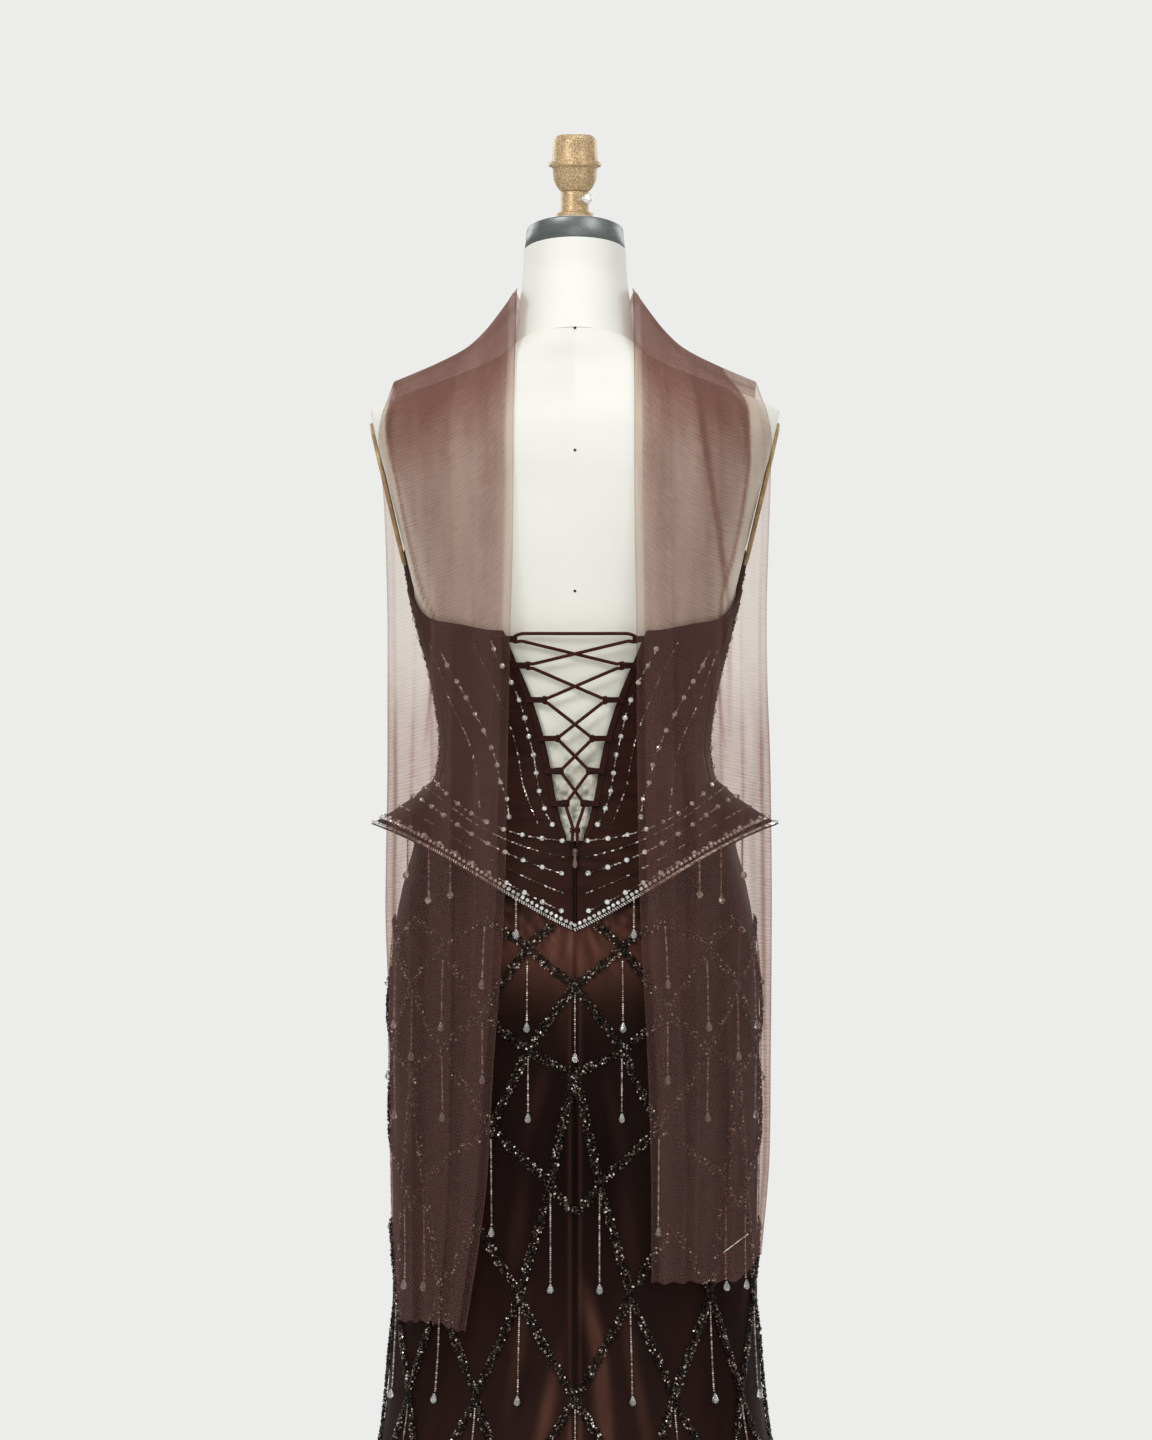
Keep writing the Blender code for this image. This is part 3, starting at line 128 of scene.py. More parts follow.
class Table:
    """Rows of named columns, read smoothly between rows by the first column."""

    def __init__(self, columns: str, *rows: Sequence[float]) -> None:
        """Store the rows, under column names that are parted by spaces, and work out each column's slopes.

        Args:
            columns: The names of the columns, parted by spaces.
            *rows: The rows, the first column rising.
        """
        rows = sorted(rows)
        self.keys = [float(row[0]) for row in rows]
        self.columns = {}
        for name, values in zip(columns.split(), zip(*rows)):
            self.columns[name] = (values, self._tangents(values))

    def _tangents(self, values: Sequence[float]) -> list[float]:
        """Return slopes at the rows that never overshoot.

        Args:
            values: A column's numbers.

        Returns:
            A slope for each row.
        """
        slopes = [(b - a) / (q - p) for a, b, p, q in zip(values, values[1:], self.keys, self.keys[1:])]
        inner = [2 * a * b / (a + b) if a * b > 0 else 0.0 for a, b in zip(slopes, slopes[1:])]
        return [slopes[0], *inner, slopes[-1]]

    def at(self, name: str, key: float) -> float:
        """Return a column's value at a key.

        Args:
            name: The column.
            key: Where to read it, held inside the table.

        Returns:
            The value on the smooth curve through the rows.
        """
        keys = self.keys
        values, tangents = self.columns[name]
        key = min(max(key, keys[0]), keys[-1])
        i = min(max(bisect_right(keys, key) - 1, 0), len(keys) - 2)
        step = keys[i + 1] - keys[i]
        t = (key - keys[i]) / step
        t2, t3 = t * t, t * t * t
        return ((2 * t3 - 3 * t2 + 1) * values[i] + (t3 - 2 * t2 + t) * step * tangents[i]
                + (3 * t2 - 2 * t3) * values[i + 1] + (t3 - t2) * step * tangents[i + 1])


# ---------------------------------------------------------------- shape of the figure
@dataclass(frozen=True)
class Layers:
    """Distances out from the figure's shape, from the form to the outermost cloth."""

    gap: float = 0.0003
    cloth_in: float = 0.0020
    cloth_out: float = 0.0036
    basque_in: float = 0.0045
    basque_out: float = 0.0061
    binding_top: float = 0.0050
    lace: float = 0.0088


LAYERS = Layers()


class Figure:
    """The dressed figure's smooth shape, from hem to neck seam."""

    roundness = 2.2
    hem_z = 0.006
    neck_seam_z = 1.448
    waist_seam_z = 0.962
    seam_rise = 0.058
    basque_point_z = 0.877
    basque_rise = 0.100
    basque_flare = 0.045
    arm_flat = (1.200, 0.155, 0.237)
    bust_at = (0.080, 1.245)
    bust_spread = (0.055, 0.060)
    bust_depth = 0.026

    sections = Table(
        "z half back front centre tilt",
        (0.006, 0.318, 0.322, 0.285, 0, 0), (0.090, 0.285, 0.282, 0.252, 0, 0),
        (0.180, 0.246, 0.234, 0.214, 0, 0), (0.270, 0.212, 0.194, 0.180, 0, 0),
        (0.360, 0.187, 0.162, 0.153, 0, 0), (0.450, 0.174, 0.142, 0.134, 0, 0),
        (0.560, 0.170, 0.130, 0.122, 0, 0), (0.700, 0.172, 0.126, 0.116, 0, 0),
        (0.770, 0.173, 0.125, 0.113, 0, 0), (0.830, 0.172, 0.125, 0.112, 0, 0),
        (0.890, 0.166, 0.121, 0.110, 0, 0), (0.950, 0.152, 0.106, 0.104, 0, 0),
        (1.000, 0.137, 0.088, 0.097, 0, 0), (1.050, 0.126, 0.077, 0.092, 0, 0),
        (1.100, 0.132, 0.079, 0.096, 0, 0), (1.160, 0.147, 0.089, 0.106, 0, 0),
        (1.200, 0.157, 0.096, 0.112, 0, 0), (1.240, 0.168, 0.102, 0.115, 0, 0),
        (1.280, 0.182, 0.105, 0.114, 0, 0), (1.320, 0.196, 0.106, 0.108, 0, 0.02),
        (1.355, 0.204, 0.102, 0.096, -0.002, 0.05), (1.376, 0.197, 0.095, 0.084, -0.004, 0.08),
        (1.390, 0.176, 0.088, 0.074, -0.006, 0.12), (1.404, 0.145, 0.081, 0.064, -0.009, 0.18),
        (1.418, 0.112, 0.074, 0.060, -0.012, 0.26), (1.434, 0.080, 0.068, 0.058, -0.016, 0.36),
        (1.448, 0.0615, 0.0605, 0.0605, -0.020, 0.42))
    top_edge = Table("azimuth z", (0, 1.1600), (28, 1.1610), (45, 1.1670), (62, 1.1720), (76, 1.1850),
                     (90, 1.2150), (112, 1.2450), (140, 1.2820), (158, 1.2860), (180, 1.2660))
    opening = Table("z half", (0.966, 0.0080), (0.977, 0.0120), (1.003, 0.0183), (1.037, 0.0242),
                    (1.062, 0.0302), (1.098, 0.0417), (1.127, 0.0538), (1.161, 0.0676))
    # Upright folds of the skirt: azimuth, width in degrees, depth at the hem and the height where each begins
    folds = ((-7, 7, 0.024, 0.56), (9, 7, 0.020, 0.53), (37, 11, 0.036, 0.46), (-39, 11, 0.040, 0.48),
             (71, 11, 0.038, 0.44), (-76, 12, 0.033, 0.41), (106, 11, 0.032, 0.45), (-112, 11, 0.038, 0.43),
             (143, 11, 0.037, 0.47), (-147, 11, 0.034, 0.42), (180, 12, 0.036, 0.45))
    # A small turn and rise over which ways along the cloth are measured
    step = 0.01

    @classmethod
    def arm_limit(cls, z: float) -> float:
        """Return the half width left where the arms are cut off flat."""
        start, half, slope = cls.arm_flat
        return half + slope * (z - start) if z > start else 1.0

    @classmethod
    def _bust(cls, x: float, z: float) -> float:
        """Return how far the bust stands forward of the plain section.

        Args:
            x: Distance from the centre line.
            z: Height.

        Returns:
            The distance, 0 away from the bust.
        """
        across = (abs(x) - cls.bust_at[0]) / cls.bust_spread[0]
        up = (z - cls.bust_at[1]) / cls.bust_spread[1]
        return cls.bust_depth * math.exp(-across * across - up * up)

    @classmethod
    def fold(cls, azimuth: float, z: float) -> float:
        """Return how far the skirt's folds stand out of its smooth shape.

        Args:
            azimuth: Direction in radians.
            z: Height.

        Returns:
            The distance.
        """
        total = 0.0
        for centre, width, depth, top in cls.folds:
            if z < top:
                turn = (math.degrees(azimuth) - centre + 180) % 360 - 180
                total += depth * ((top - z) / (top - cls.hem_z)) ** 1.2 * bell(turn, width)
        return total

    @classmethod
    def point(cls, azimuth: float, z: float, out: float = 0.0) -> Vector:
        """Return a point of the figure.

        Args:
            azimuth: Direction in radians, 0 at the centre back.
            z: Height of the section that the point lies on.
            out: Layer, how far the point is moved out horizontally.

        Returns:
            The point in the row frame.
        """
        at = cls.sections.at
        half, back = at("half", z), at("back", z)
        sine, cosine = math.sin(azimuth), math.cos(azimuth)
        depth = back if cosine > 0 else at("front", z)
        x = half * signed_power(sine, 2 / cls.roundness)
        y = -depth * signed_power(cosine, 2 / cls.roundness)
        away = Vector((x / half**2, y / depth**2, 0)).normalized()
        tip = at("tilt", z) * (y + back)
        x = math.copysign(min(abs(x), cls.arm_limit(z - tip)), x)
        if cosine < 0:
            y += cls._bust(x, z) * min(1, -3 * cosine)
        return Vector((x, y + at("centre", z), z - tip)) + away * (out + cls.fold(azimuth, z))

    @classmethod
    def place(cls, azimuth: float, z: float, out: float = 0.0) -> Place:
        """Return a point, the way out of the cloth and the way round it.

        Args:
            azimuth: Direction in radians.
            z: Height.
            out: Layer that the point lies on.

        Returns:
            The point and the two ways.
        """
        step = cls.step
        across = cls.point(azimuth + step, z) - cls.point(azimuth - step, z)
        up = cls.point(azimuth, z + step) - cls.point(azimuth, z - step)
        return cls.point(azimuth, z, out), across.cross(up).normalized(), across.normalized()

    @classmethod
    def azimuth_at(cls, x: float, z: float) -> float:
        """Return the azimuth on the back at a distance from the centre line, held at the side."""
        share = x / cls.sections.at("half", z)
        return math.asin(signed_power(min(max(share, -1), 1), cls.roundness / 2))

    @classmethod
    def azimuth_of(cls, point: Vector) -> float:
        """Return the azimuth that a point on the skirt or bodice lies at.

        Args:
            point: The point.

        Returns:
            The azimuth in radians.
        """
        half, depth = (cls.sections.at(key, point.z) for key in ("half", "back" if point.y < 0 else "front"))
        power = cls.roundness / 2
        return math.atan2(signed_power(point.x / half, power), signed_power(-point.y / depth, power))

    @classmethod
    def turn_for(cls, length: float, azimuth: float, z: float) -> float:
        """Return the change of azimuth that moves a point by this length."""
        reach = (cls.point(azimuth + cls.step, z) - cls.point(azimuth, z)).length
        return length * cls.step / max(reach, 1e-6)

    @classmethod
    def radius(cls, z: float) -> float:
        """Return the mean radius at a height, near enough to turn angles into lengths of cloth."""
        return cls.sections.at("half", z) * 0.9

    @classmethod
    def seam_z(cls, azimuth: float) -> float:
        """Return the height of the seam between bodice and basque."""
        return cls.waist_seam_z + cls.seam_rise * math.sin(azimuth) ** 2

    @classmethod
    def basque_edge_z(cls, azimuth: float) -> float:
        """Return the height of the basque's pointed edge."""
        return cls.basque_point_z + cls.basque_rise * abs(math.sin(azimuth))

    @classmethod
    def top_z(cls, azimuth: float) -> float:
        """Return the height of the bodice's top edge."""
        return cls.top_edge.at("z", abs((math.degrees(azimuth) + 180) % 360 - 180))

    @classmethod
    def basque_lift(cls, azimuth: float, share: float, base: float) -> float:
        """Return the layer of the basque at a share of its height, from its seam to its edge."""
        flare = cls.basque_flare * math.sin(azimuth) ** 2 * share**1.4
        return base - 0.0025 * (1 - smooth(share / 0.17)) + flare


# ---------------------------------------------------------------- shader groups and finishes
class Graph:
    """Adds nodes to a tree and links them by name."""

    def __init__(self, tree: bpy.types.NodeTree) -> None:
        """Work on this tree."""
        self.tree = tree

    @classmethod
    def of(cls, block: bpy.types.Material | bpy.types.World) -> "Graph":
        """Return the emptied tree of a material or world.

        Args:
            block: The material or world.

        Returns:
            Its tree, ready to be filled.
        """
        block.use_nodes = True
        block.node_tree.nodes.clear()
        return cls(block.node_tree)

    def add(self, kind: str, inputs: Optional[dict] = None, **settings: object) -> Node:
        """Add a node.

        Args:
            kind: The node's type.
            inputs: Values or sockets for its inputs, by name or number.
            settings: Other properties to set, before the inputs.

        Returns:
            The new node.
        """
        node = self.tree.nodes.new(kind)
        for name, value in settings.items():
            setattr(node, name, value)
        for key, value in (inputs or {}).items():
            self.put(node.inputs[key], value)
        return node

    def put(self, socket: Socket, value: object) -> None:
        """Link a socket to another, or set its value.

        Args:
            socket: The socket to fill.
            value: Another socket, or a constant.
        """
        if isinstance(value, Socket):
            self.tree.links.new(value, socket)
        else:
            socket.default_value = value

    def math(self, operation: str, *values: object) -> Socket:
        """Return the result of a Math node."""
        return self.add("ShaderNodeMath", dict(enumerate(values)), operation=operation).outputs[0]

    def times(self, first: object, *others: object) -> Socket:
        """Return the product of values.

        Args:
            first: The first value.
            *others: The values that it is multiplied by.

        Returns:
            The product.
        """
        for other in others:
            first = self.math("MULTIPLY", first, other)
        return first

    def held(self, value: Socket) -> Socket:
        """Return a value held between 0 and 1."""
        return self.add("ShaderNodeClamp", {0: value}).outputs[0]

    def mapped(self, value: Socket, *limits: float) -> Socket:
        """Return a value mapped from its lowest and highest to 0 and 1, or to two more limits."""
        return self.add("ShaderNodeMapRange", {0: value, **dict(enumerate(limits, 1))}).outputs[0]

    def stored(self, name: str) -> Socket:
        """Return the value of a mesh's own attribute."""
        return self.add("ShaderNodeAttribute", attribute_name=name).outputs["Fac"]

    def vector(self, operation: str, *values: object) -> Socket:
        """Return the result of a Vector Math node, as a number for a length."""
        node = self.add("ShaderNodeVectorMath", dict(enumerate(values)), operation=operation)
        return node.outputs["Value" if operation == "LENGTH" else 0]

    def place(self, by_uv: bool, stretch: Optional[Colour] = (1, 1, 1)) -> Socket:
        """Return the coordinates that a pattern follows, stretched along the axes unless stretch is None.

        Args:
            by_uv: True for the UV map, False for the piece's own coordinates.
            stretch: The scale along each axis.

        Returns:
            The coordinates.
        """
        source = self.add("ShaderNodeTexCoord").outputs["UV" if by_uv else "Object"]
        if stretch:
            source = self.add("ShaderNodeMapping", {"Vector": source, "Scale": stretch}).outputs[0]
        return source

    def blend(self, share: object, first: object, second: object) -> Socket:
        """Return a mix of two colours.

        Args:
            share: How much of the second there is.
            first: The first colour.
            second: The second colour.

        Returns:
            The mixed colour.
        """
        node = self.add("ShaderNodeMix", data_type="RGBA")
        for i, value in ((0, share), (6, first), (7, second)):
            self.put(node.inputs[i], (*value, 1) if isinstance(value, tuple) else value)
        return node.outputs[2]

    def ramp(self, share: Socket, stops: Stops) -> Socket:
        """Return the colour at a share of the way along a ramp.

        Args:
            share: Where to read the ramp.
            stops: Places along the ramp and their colours.

        Returns:
            The colour.
        """
        node = self.add("ShaderNodeValToRGB", {0: share})
        made = node.color_ramp.elements
        for place, _ in stops[1:-1]:
            made.new(place)
        for stop, (place, colour) in zip(made, stops):
            stop.position, stop.color = place, (*colour, 1)
        return node.outputs[0]

    def mixed(self, share: Socket, first: Node, second: Node) -> Socket:
        """Return a mix of two shaders."""
        values = {0: share, 1: first.outputs[0], 2: second.outputs[0]}
        return self.add("ShaderNodeMixShader", values).outputs[0]


class ShaderGroups:
    """Node groups that more than one material uses, each built once."""

    @classmethod
    def _use(cls, graph: Graph, build: Callable, numbers: dict[str, float], values: dict) -> Node:
        """Place a group in a material with its own values, and build it first if it is new.

        Args:
            graph: The material's nodes.
            build: Turns the group's graph and input sockets into its outputs.
            numbers: The group's number inputs and what they are if no material sets them.
            values: What this material puts in.

        Returns:
            The group's node in the material.
        """
        name = build.__name__.strip("_")
        if name not in bpy.data.node_groups:
            made = Graph(bpy.data.node_groups.new(name, "ShaderNodeTree"))
            face = made.tree.interface
            face.new_socket("Vector", in_out="INPUT", socket_type="NodeSocketVector")
            for label, number in numbers.items():
                face.new_socket(label, in_out="INPUT", socket_type="NodeSocketFloat").default_value = number
            outputs = build(made, made.add("NodeGroupInput").outputs)
            for label in outputs:
                face.new_socket(label, in_out="OUTPUT", socket_type="NodeSocketFloat")
            made.add("NodeGroupOutput", outputs)
        return graph.add("ShaderNodeGroup", values, node_tree=bpy.data.node_groups[name])

    @staticmethod
    def _weave(graph: Graph, inside: bpy.types.NodeOutputs) -> dict:
        """Build crossing threads.

        Args:
            graph: The node tree.
            inside: The group's own inputs.

        Returns:
            What the group gives: the threads' height, and a shade of 1 on average.
        """
        split = graph.add("ShaderNodeSeparateXYZ", {0: inside["Vector"]}).outputs
        across, along = (graph.times(split[i], inside["Threads"]) for i in (0, 1))
        slanted = graph.math("ADD", across, graph.times(along, inside["Skew"]))
        warp, weft = (graph.times(graph.math("SINE", graph.times(way, TAU)), 0.5) for way in (slanted, along))
        height = graph.math("ADD", warp, weft)
        return {"Height": height, "Shade": graph.math("ADD", 1.0, graph.times(height, inside["Depth"]))}

    @staticmethod
    def _mottle(graph: Graph, inside: bpy.types.NodeOutputs) -> dict:
        """Build uneven dye or dust, 1 on average.

        Args:
            graph: The node tree.
            inside: The group's own inputs.

        Returns:
            What the group gives.
        """
        settings = {key: inside[key] for key in ("Vector", "Scale", "Detail")}
        noise = graph.add("ShaderNodeTexNoise", settings).outputs[0]
        swing = graph.times(graph.math("SUBTRACT", noise, 0.5), inside["Amount"])
        return {"Value": graph.math("ADD", 1.0, graph.times(swing, 2.0))}

    @classmethod
    def weave(cls, graph: Graph, place: Socket, threads: float, skew: float,
              depth: float) -> tuple[Socket, Socket]:
        """Return the height and the shade of crossing threads, so many to the metre.

        Args:
            graph: The node tree.
            place: The coordinates that the threads follow.
            threads: How many there are to the metre.
            skew: How far they lean.
            depth: How much they change the shade.

        Returns:
            The height and the shade.
        """
        values = {"Vector": place, "Threads": threads, "Skew": skew, "Depth": depth}
        node = cls._use(graph, cls._weave, {"Threads": 2000, "Skew": 0.2, "Depth": 0.1}, values)
        return node.outputs["Height"], node.outputs["Shade"]

    @classmethod
    def mottle(cls, graph: Graph, place: Socket, scale: float, amount: float, detail: float = 3.0) -> Socket:
        """Return a value that wanders by this amount about 1."""
        values = {"Vector": place, "Scale": scale, "Detail": detail, "Amount": amount}
        return cls._use(graph, cls._mottle, {"Scale": 20, "Detail": 3, "Amount": 0.2}, values).outputs[0]


@dataclass(frozen=True)
class Finish:
    """Base of all finishes: a named material with one Principled shader."""

    name: str
    colour: Colour = (0.5, 0.5, 0.5)
    roughness: float = 0.5
    metallic: float = 0.0
    constants: tuple = ()

    def build(self) -> bpy.types.Material:
        """Return the material, with its constant values set on the shader's own sockets.

        Returns:
            The new material.
        """
        made = bpy.data.materials.new(self.name)
        graph = Graph.of(made)
        values = {"Base Color": (*self.colour, 1), "Roughness": self.roughness, "Metallic": self.metallic}
        shader = graph.add("ShaderNodeBsdfPrincipled", {**values, **dict(self.constants)})
        graph.add("ShaderNodeOutputMaterial", {"Surface": self.wire(graph, shader)})
        return made

    def wire(self, graph: Graph, shader: Node) -> Socket:
        """Add a faint unevenness and return the surface.

        Args:
            graph: The node tree.
            shader: The shader that colours the piece.

        Returns:
            The surface.
        """
        value = ShaderGroups.mottle(graph, graph.place(False), 60.0, 0.2)
        graph.put(shader.inputs["Roughness"], graph.times(value, self.roughness))
        return self.shade(graph, shader, self.colour, value)

    def shade(self, graph: Graph, shader: Node, colour: object, value: Socket, height: Optional[Socket] = None,
              depth: float = 0.0) -> Socket:
        """Feed the shader and return its surface.

        Args:
            graph: The material's nodes.
            shader: Its Principled shader.
            colour: The colour, as numbers or a socket.
            value: What the colour is multiplied by.
            height: Relief for the normal, if any.
            depth: How deep the relief is in metres.

        Returns:
            The shader's output.
        """
        node = graph.add("ShaderNodeVectorMath", {0: colour, "Scale": value}, operation="SCALE")
        graph.put(shader.inputs["Base Color"], node.outputs[0])
        if height:
            bump = graph.add("ShaderNodeBump", {"Height": height, "Distance": depth, "Strength": 1.0})
            graph.put(shader.inputs["Normal"], bump.outputs[0])
        return shader.outputs[0]


@dataclass(frozen=True)
class Satin(Finish):
    """Heavy satin: a fine twill, unevenly dyed, with painted light and shade in wrinkles, ovals and along
    folds.
    """

    patches: tuple[tuple[Colour, Colour, Colour], ...] = ()
    unevenness: float = 0.60
    # Stretch of the dye; the default's flat crosswise streaks are painted shade for the bodice's small wrinkles
    grain: Colour = (0.8, 0.8, 5.0)
    # Colour of the painted highlight on raised folds and gathers
    folds: Colour = (0.0800, 0.0330, 0.0220)

    def wire(self, graph: Graph, shader: Node) -> Socket:
        """Add the twill, the dye with its painted wrinkle shade, and the painted light and shade in ovals and
        on folds.

        Args:
            graph: The node tree.
            shader: The shader that colours the piece.

        Returns:
            The surface.
        """
        height, thread = ShaderGroups.weave(graph, graph.place(True), 1500.0, 0.5, 0.10)
        # Uneven dye, which on the bodice also paints the shade of small crosswise wrinkles
        dye = ShaderGroups.mottle(graph, graph.place(False, self.grain), 26.0, self.unevenness, 5.0)
        where, colour = graph.place(False, None), self.colour
        # Painted light and shade: each oval blends the colour towards its own lighter or darker colour
        for painted_tint, middle, size in self.patches:
            far = graph.vector("LENGTH", graph.vector("DIVIDE", graph.vector("SUBTRACT", where, middle), size))
            colour = graph.blend(graph.math("EXPONENT", graph.times(far, far, -1.0)), colour, painted_tint)
        # Painted light and shade: warmer and lighter on raised folds and gathers, darker in troughs and on
        # seams
        fold = graph.stored("fold")
        colour = graph.blend(graph.held(fold), colour, self.folds)
        graph.put(shader.inputs["Roughness"], graph.times(dye, self.roughness))
        value = graph.times(thread, dye, graph.math("ADD", 1.0, fold))
        return self.shade(graph, shader, colour, value, height, 0.00002)


@dataclass(frozen=True)
class Jersey(Finish):
    """Ivory knit drawn tight over the form, with a faint stain low on the back and painted shade by height."""

    stain: Colour = (0.17, 0.175, 0.125)
    stain_top: float = 1.075
    # Painted shade by height: the colour at each height, darkest and browner low in the laced opening
    shaded: Stops = ((0.970, (0.80, 0.77, 0.65)), (1.015, (0.74, 0.71, 0.59)), (1.050, (0.86, 0.85, 0.73)),
                     (1.085, (0.88, 0.88, 0.77)), (1.200, (0.85, 0.85, 0.785)))

    def wire(self, graph: Graph, shader: Node) -> Socket:
        """Add the knit, the dust, the painted shade by height and the stain.

        Args:
            graph: The node tree.
            shader: The shader that colours the piece.

        Returns:
            The surface.
        """
        height, knit = ShaderGroups.weave(graph, graph.place(True), 900.0, 0.0, 0.02)
        solid = graph.place(False)
        dust = ShaderGroups.mottle(graph, solid, 9.0, 0.05)
        spots = graph.add("ShaderNodeTexNoise", {"Vector": solid, "Scale": 100.0, "Detail": 3.0}).outputs[0]
        level = graph.add("ShaderNodeSeparateXYZ", {0: graph.place(False, None)}).outputs[2]
        low = graph.math("SMOOTH_MIN", graph.math("SUBTRACT", self.stain_top, level), 0.07, 0.03)
        share = graph.held(graph.times(graph.mapped(spots, 0.44, 0.64, 0.4, 13.0), low))
        bottom, top = self.shaded[0][0], self.shaded[-1][0]
        stops = [((z - bottom) / (top - bottom), colour) for z, colour in self.shaded]
        colour = graph.blend(share, graph.ramp(graph.mapped(level, bottom, top), stops), self.stain)
        return self.shade(graph, shader, colour, graph.times(knit, dust), height, 0.00003)


@dataclass(frozen=True)
class Tulle(Finish):
    """Sheer net: a colour filter with fine ribs, thicker where the ply attribute says it lies folded."""

    through_one: Colour = (1.000, 0.968, 0.932)
    through_two: Colour = (0.958, 0.888, 0.858)
    through_three: Colour = (0.850, 0.710, 0.650)
    cover: float = 0.10

    def wire(self, graph: Graph, shader: Node) -> Socket:
        """Mix the threads' own colour with the tint of what shows through them.

        Args:
            graph: The node tree.
            shader: The shader that colours the piece.

        Returns:
            The surface.
        """
        ribs = ShaderGroups.weave(graph, graph.place(True, (0.05, 1, 1)), 300.0, 0.0, 0.16)[1]
        cloud = ShaderGroups.mottle(graph, graph.place(True, (6, 1.5, 1)), 9.0, 0.34, 4.0)
        streaks = ShaderGroups.mottle(graph, graph.place(True, (1, 9, 1)), 60.0, 0.36)
        ply = graph.stored("ply")
        facing = graph.add("ShaderNodeLayerWeight", {"Blend": 0.35}).outputs["Facing"]
        uneven = graph.times(ribs, graph.times(cloud, streaks))
        cover = graph.times(graph.math("ADD", graph.times(ply, uneven), facing), self.cover)
        depth = graph.times(graph.math("SUBTRACT", ply, 1.0), uneven)
        through = graph.blend(graph.held(depth), self.through_one, self.through_two)
        through = graph.blend(graph.held(graph.math("SUBTRACT", depth, 1.0)), through, self.through_three)
        clear = graph.add("ShaderNodeBsdfTransparent", {"Color": through})
        return graph.mixed(graph.held(cover), clear, shader)


@dataclass(frozen=True)
class Speckled(Finish):
    """Metal with a hammered or speckled second colour."""

    second: Colour = (0.7, 0.6, 0.4)
    scale: float = 900.0
    stretch: Colour = (1, 1, 1)
    depth: float = 0.00006
    limits: Pair = (0.42, 0.62)

    def wire(self, graph: Graph, shader: Node) -> Socket:
        """Add the speckles.

        Args:
            graph: The node tree.
            shader: The shader that colours the piece.

        Returns:
            The surface.
        """
        place = graph.place(False, self.stretch)
        values = {"Vector": place, "Scale": self.scale, "Detail": 2.0}
        noise = graph.add("ShaderNodeTexNoise", values).outputs[0]
        colour = graph.blend(graph.mapped(noise, *self.limits), self.colour, self.second)
        value = ShaderGroups.mottle(graph, place, self.scale / 12, 0.25)
        return self.shade(graph, shader, colour, value, noise, self.depth)


@dataclass(frozen=True)
class Beaded(Finish):
    """Beads or stones whose colour runs along a ramp by each bead's random value and each facet's painted
    glint.
    """

    ramp: Stops = ((0.0, (0, 0, 0)), (1.0, (1, 1, 1)))

    def wire(self, graph: Graph, shader: Node) -> Socket:
        """Feed the ramp into the base colour."""
        graph.put(shader.inputs["Base Color"], graph.ramp(graph.stored("tone"), self.ramp))
        return shader.outputs[0]


@dataclass(frozen=True)
class Twisted(Finish):
    """Satin cord or binding: fine slanting threads along the piece's own UV map."""

    threads: float = 900.0
    skew: float = 1.0

    def wire(self, graph: Graph, shader: Node) -> Socket:
        """Add the threads."""
        height, thread = ShaderGroups.weave(graph, graph.place(True), self.threads, self.skew, 0.30)
        return self.shade(graph, shader, self.colour, thread, height, 0.00006)


SHEEN, DULL = (("Specular IOR Level", 0.03),), (("Specular IOR Level", 0.2),)
SATIN = Satin("brown satin", (0.0270, 0.0105, 0.0082), 0.42, constants=(*SHEEN, ("Anisotropic", 0.5)))
# Painted shade: the bodice's satin with a darker base colour, for the shade that the skirt lies in
SHADED_SKIRT_SATIN = Satin("brown skirt satin", (0.0118, 0.0047, 0.0038), 0.42,
                    constants=(*SHEEN, ("Anisotropic", 0.5)),
                    unevenness=0.70, grain=(1, 1, 0.35), patches=(
                        # Painted light and shade: a pool of light below the basque's point, shade down the
                        # middle, lighter cloth low down
                        ((0.0880, 0.0350, 0.0240), (0.0, -0.13, 0.860), (0.085, 0.10, 0.040)),
                        ((0.0060, 0.0024, 0.0020), (0.0, -0.14, 0.660), (0.070, 0.20, 0.100)),
                        ((0.0200, 0.0080, 0.0060), (0.0, -0.18, 0.380), (0.320, 0.40, 0.110))))
BINDING = Twisted("satin binding", (0.030, 0.011, 0.009), 0.42, constants=SHEEN, threads=1200.0, skew=0.6)
CORD = Twisted("satin cord", (0.050, 0.014, 0.011), 0.38, constants=SHEEN, threads=700.0, skew=1.0)
JERSEY = Jersey("ivory jersey", (0.85, 0.85, 0.785), 0.72, constants=(("Sheen Weight", 0.15),))
TULLE = Tulle("brown tulle", (0.180, 0.101, 0.092), 0.75, constants=(("Specular IOR Level", 0.1),))
STEEL = Speckled("brushed steel", (0.165, 0.180, 0.175), 0.36, 1.0, (("Anisotropic", 0.6),),
                 second=(0.215, 0.235, 0.228), scale=240.0, stretch=(1, 1, 14), depth=0.00002)
BRIGHT = Finish("polished steel", (0.86, 0.86, 0.85), 0.28, 0.6)
TARNISHED = Finish("tarnished brass", (0.155, 0.115, 0.090), 0.34, 0.7)
GOLD = Speckled("aged gold", (0.34, 0.215, 0.10), 0.45, 0.35, second=(0.72, 0.55, 0.32), depth=0.00003)
OCHRE = Speckled("ochre lacquer", (0.34, 0.235, 0.10), 0.45, 0.3, second=(0.50, 0.37, 0.18), scale=90.0,
                 depth=0.00001)
LACQUER = Finish("black lacquer", (0.018, 0.018, 0.018), 0.35, constants=(("Coat Weight", 0.4),))
ZIP = Twisted("zip tape", (0.010, 0.004, 0.0035), 0.5, constants=SHEEN, threads=1400.0, skew=0.0)
ZIP_METAL = Finish("dark zip teeth", (0.010, 0.007, 0.006), 0.50, 0.2, DULL)
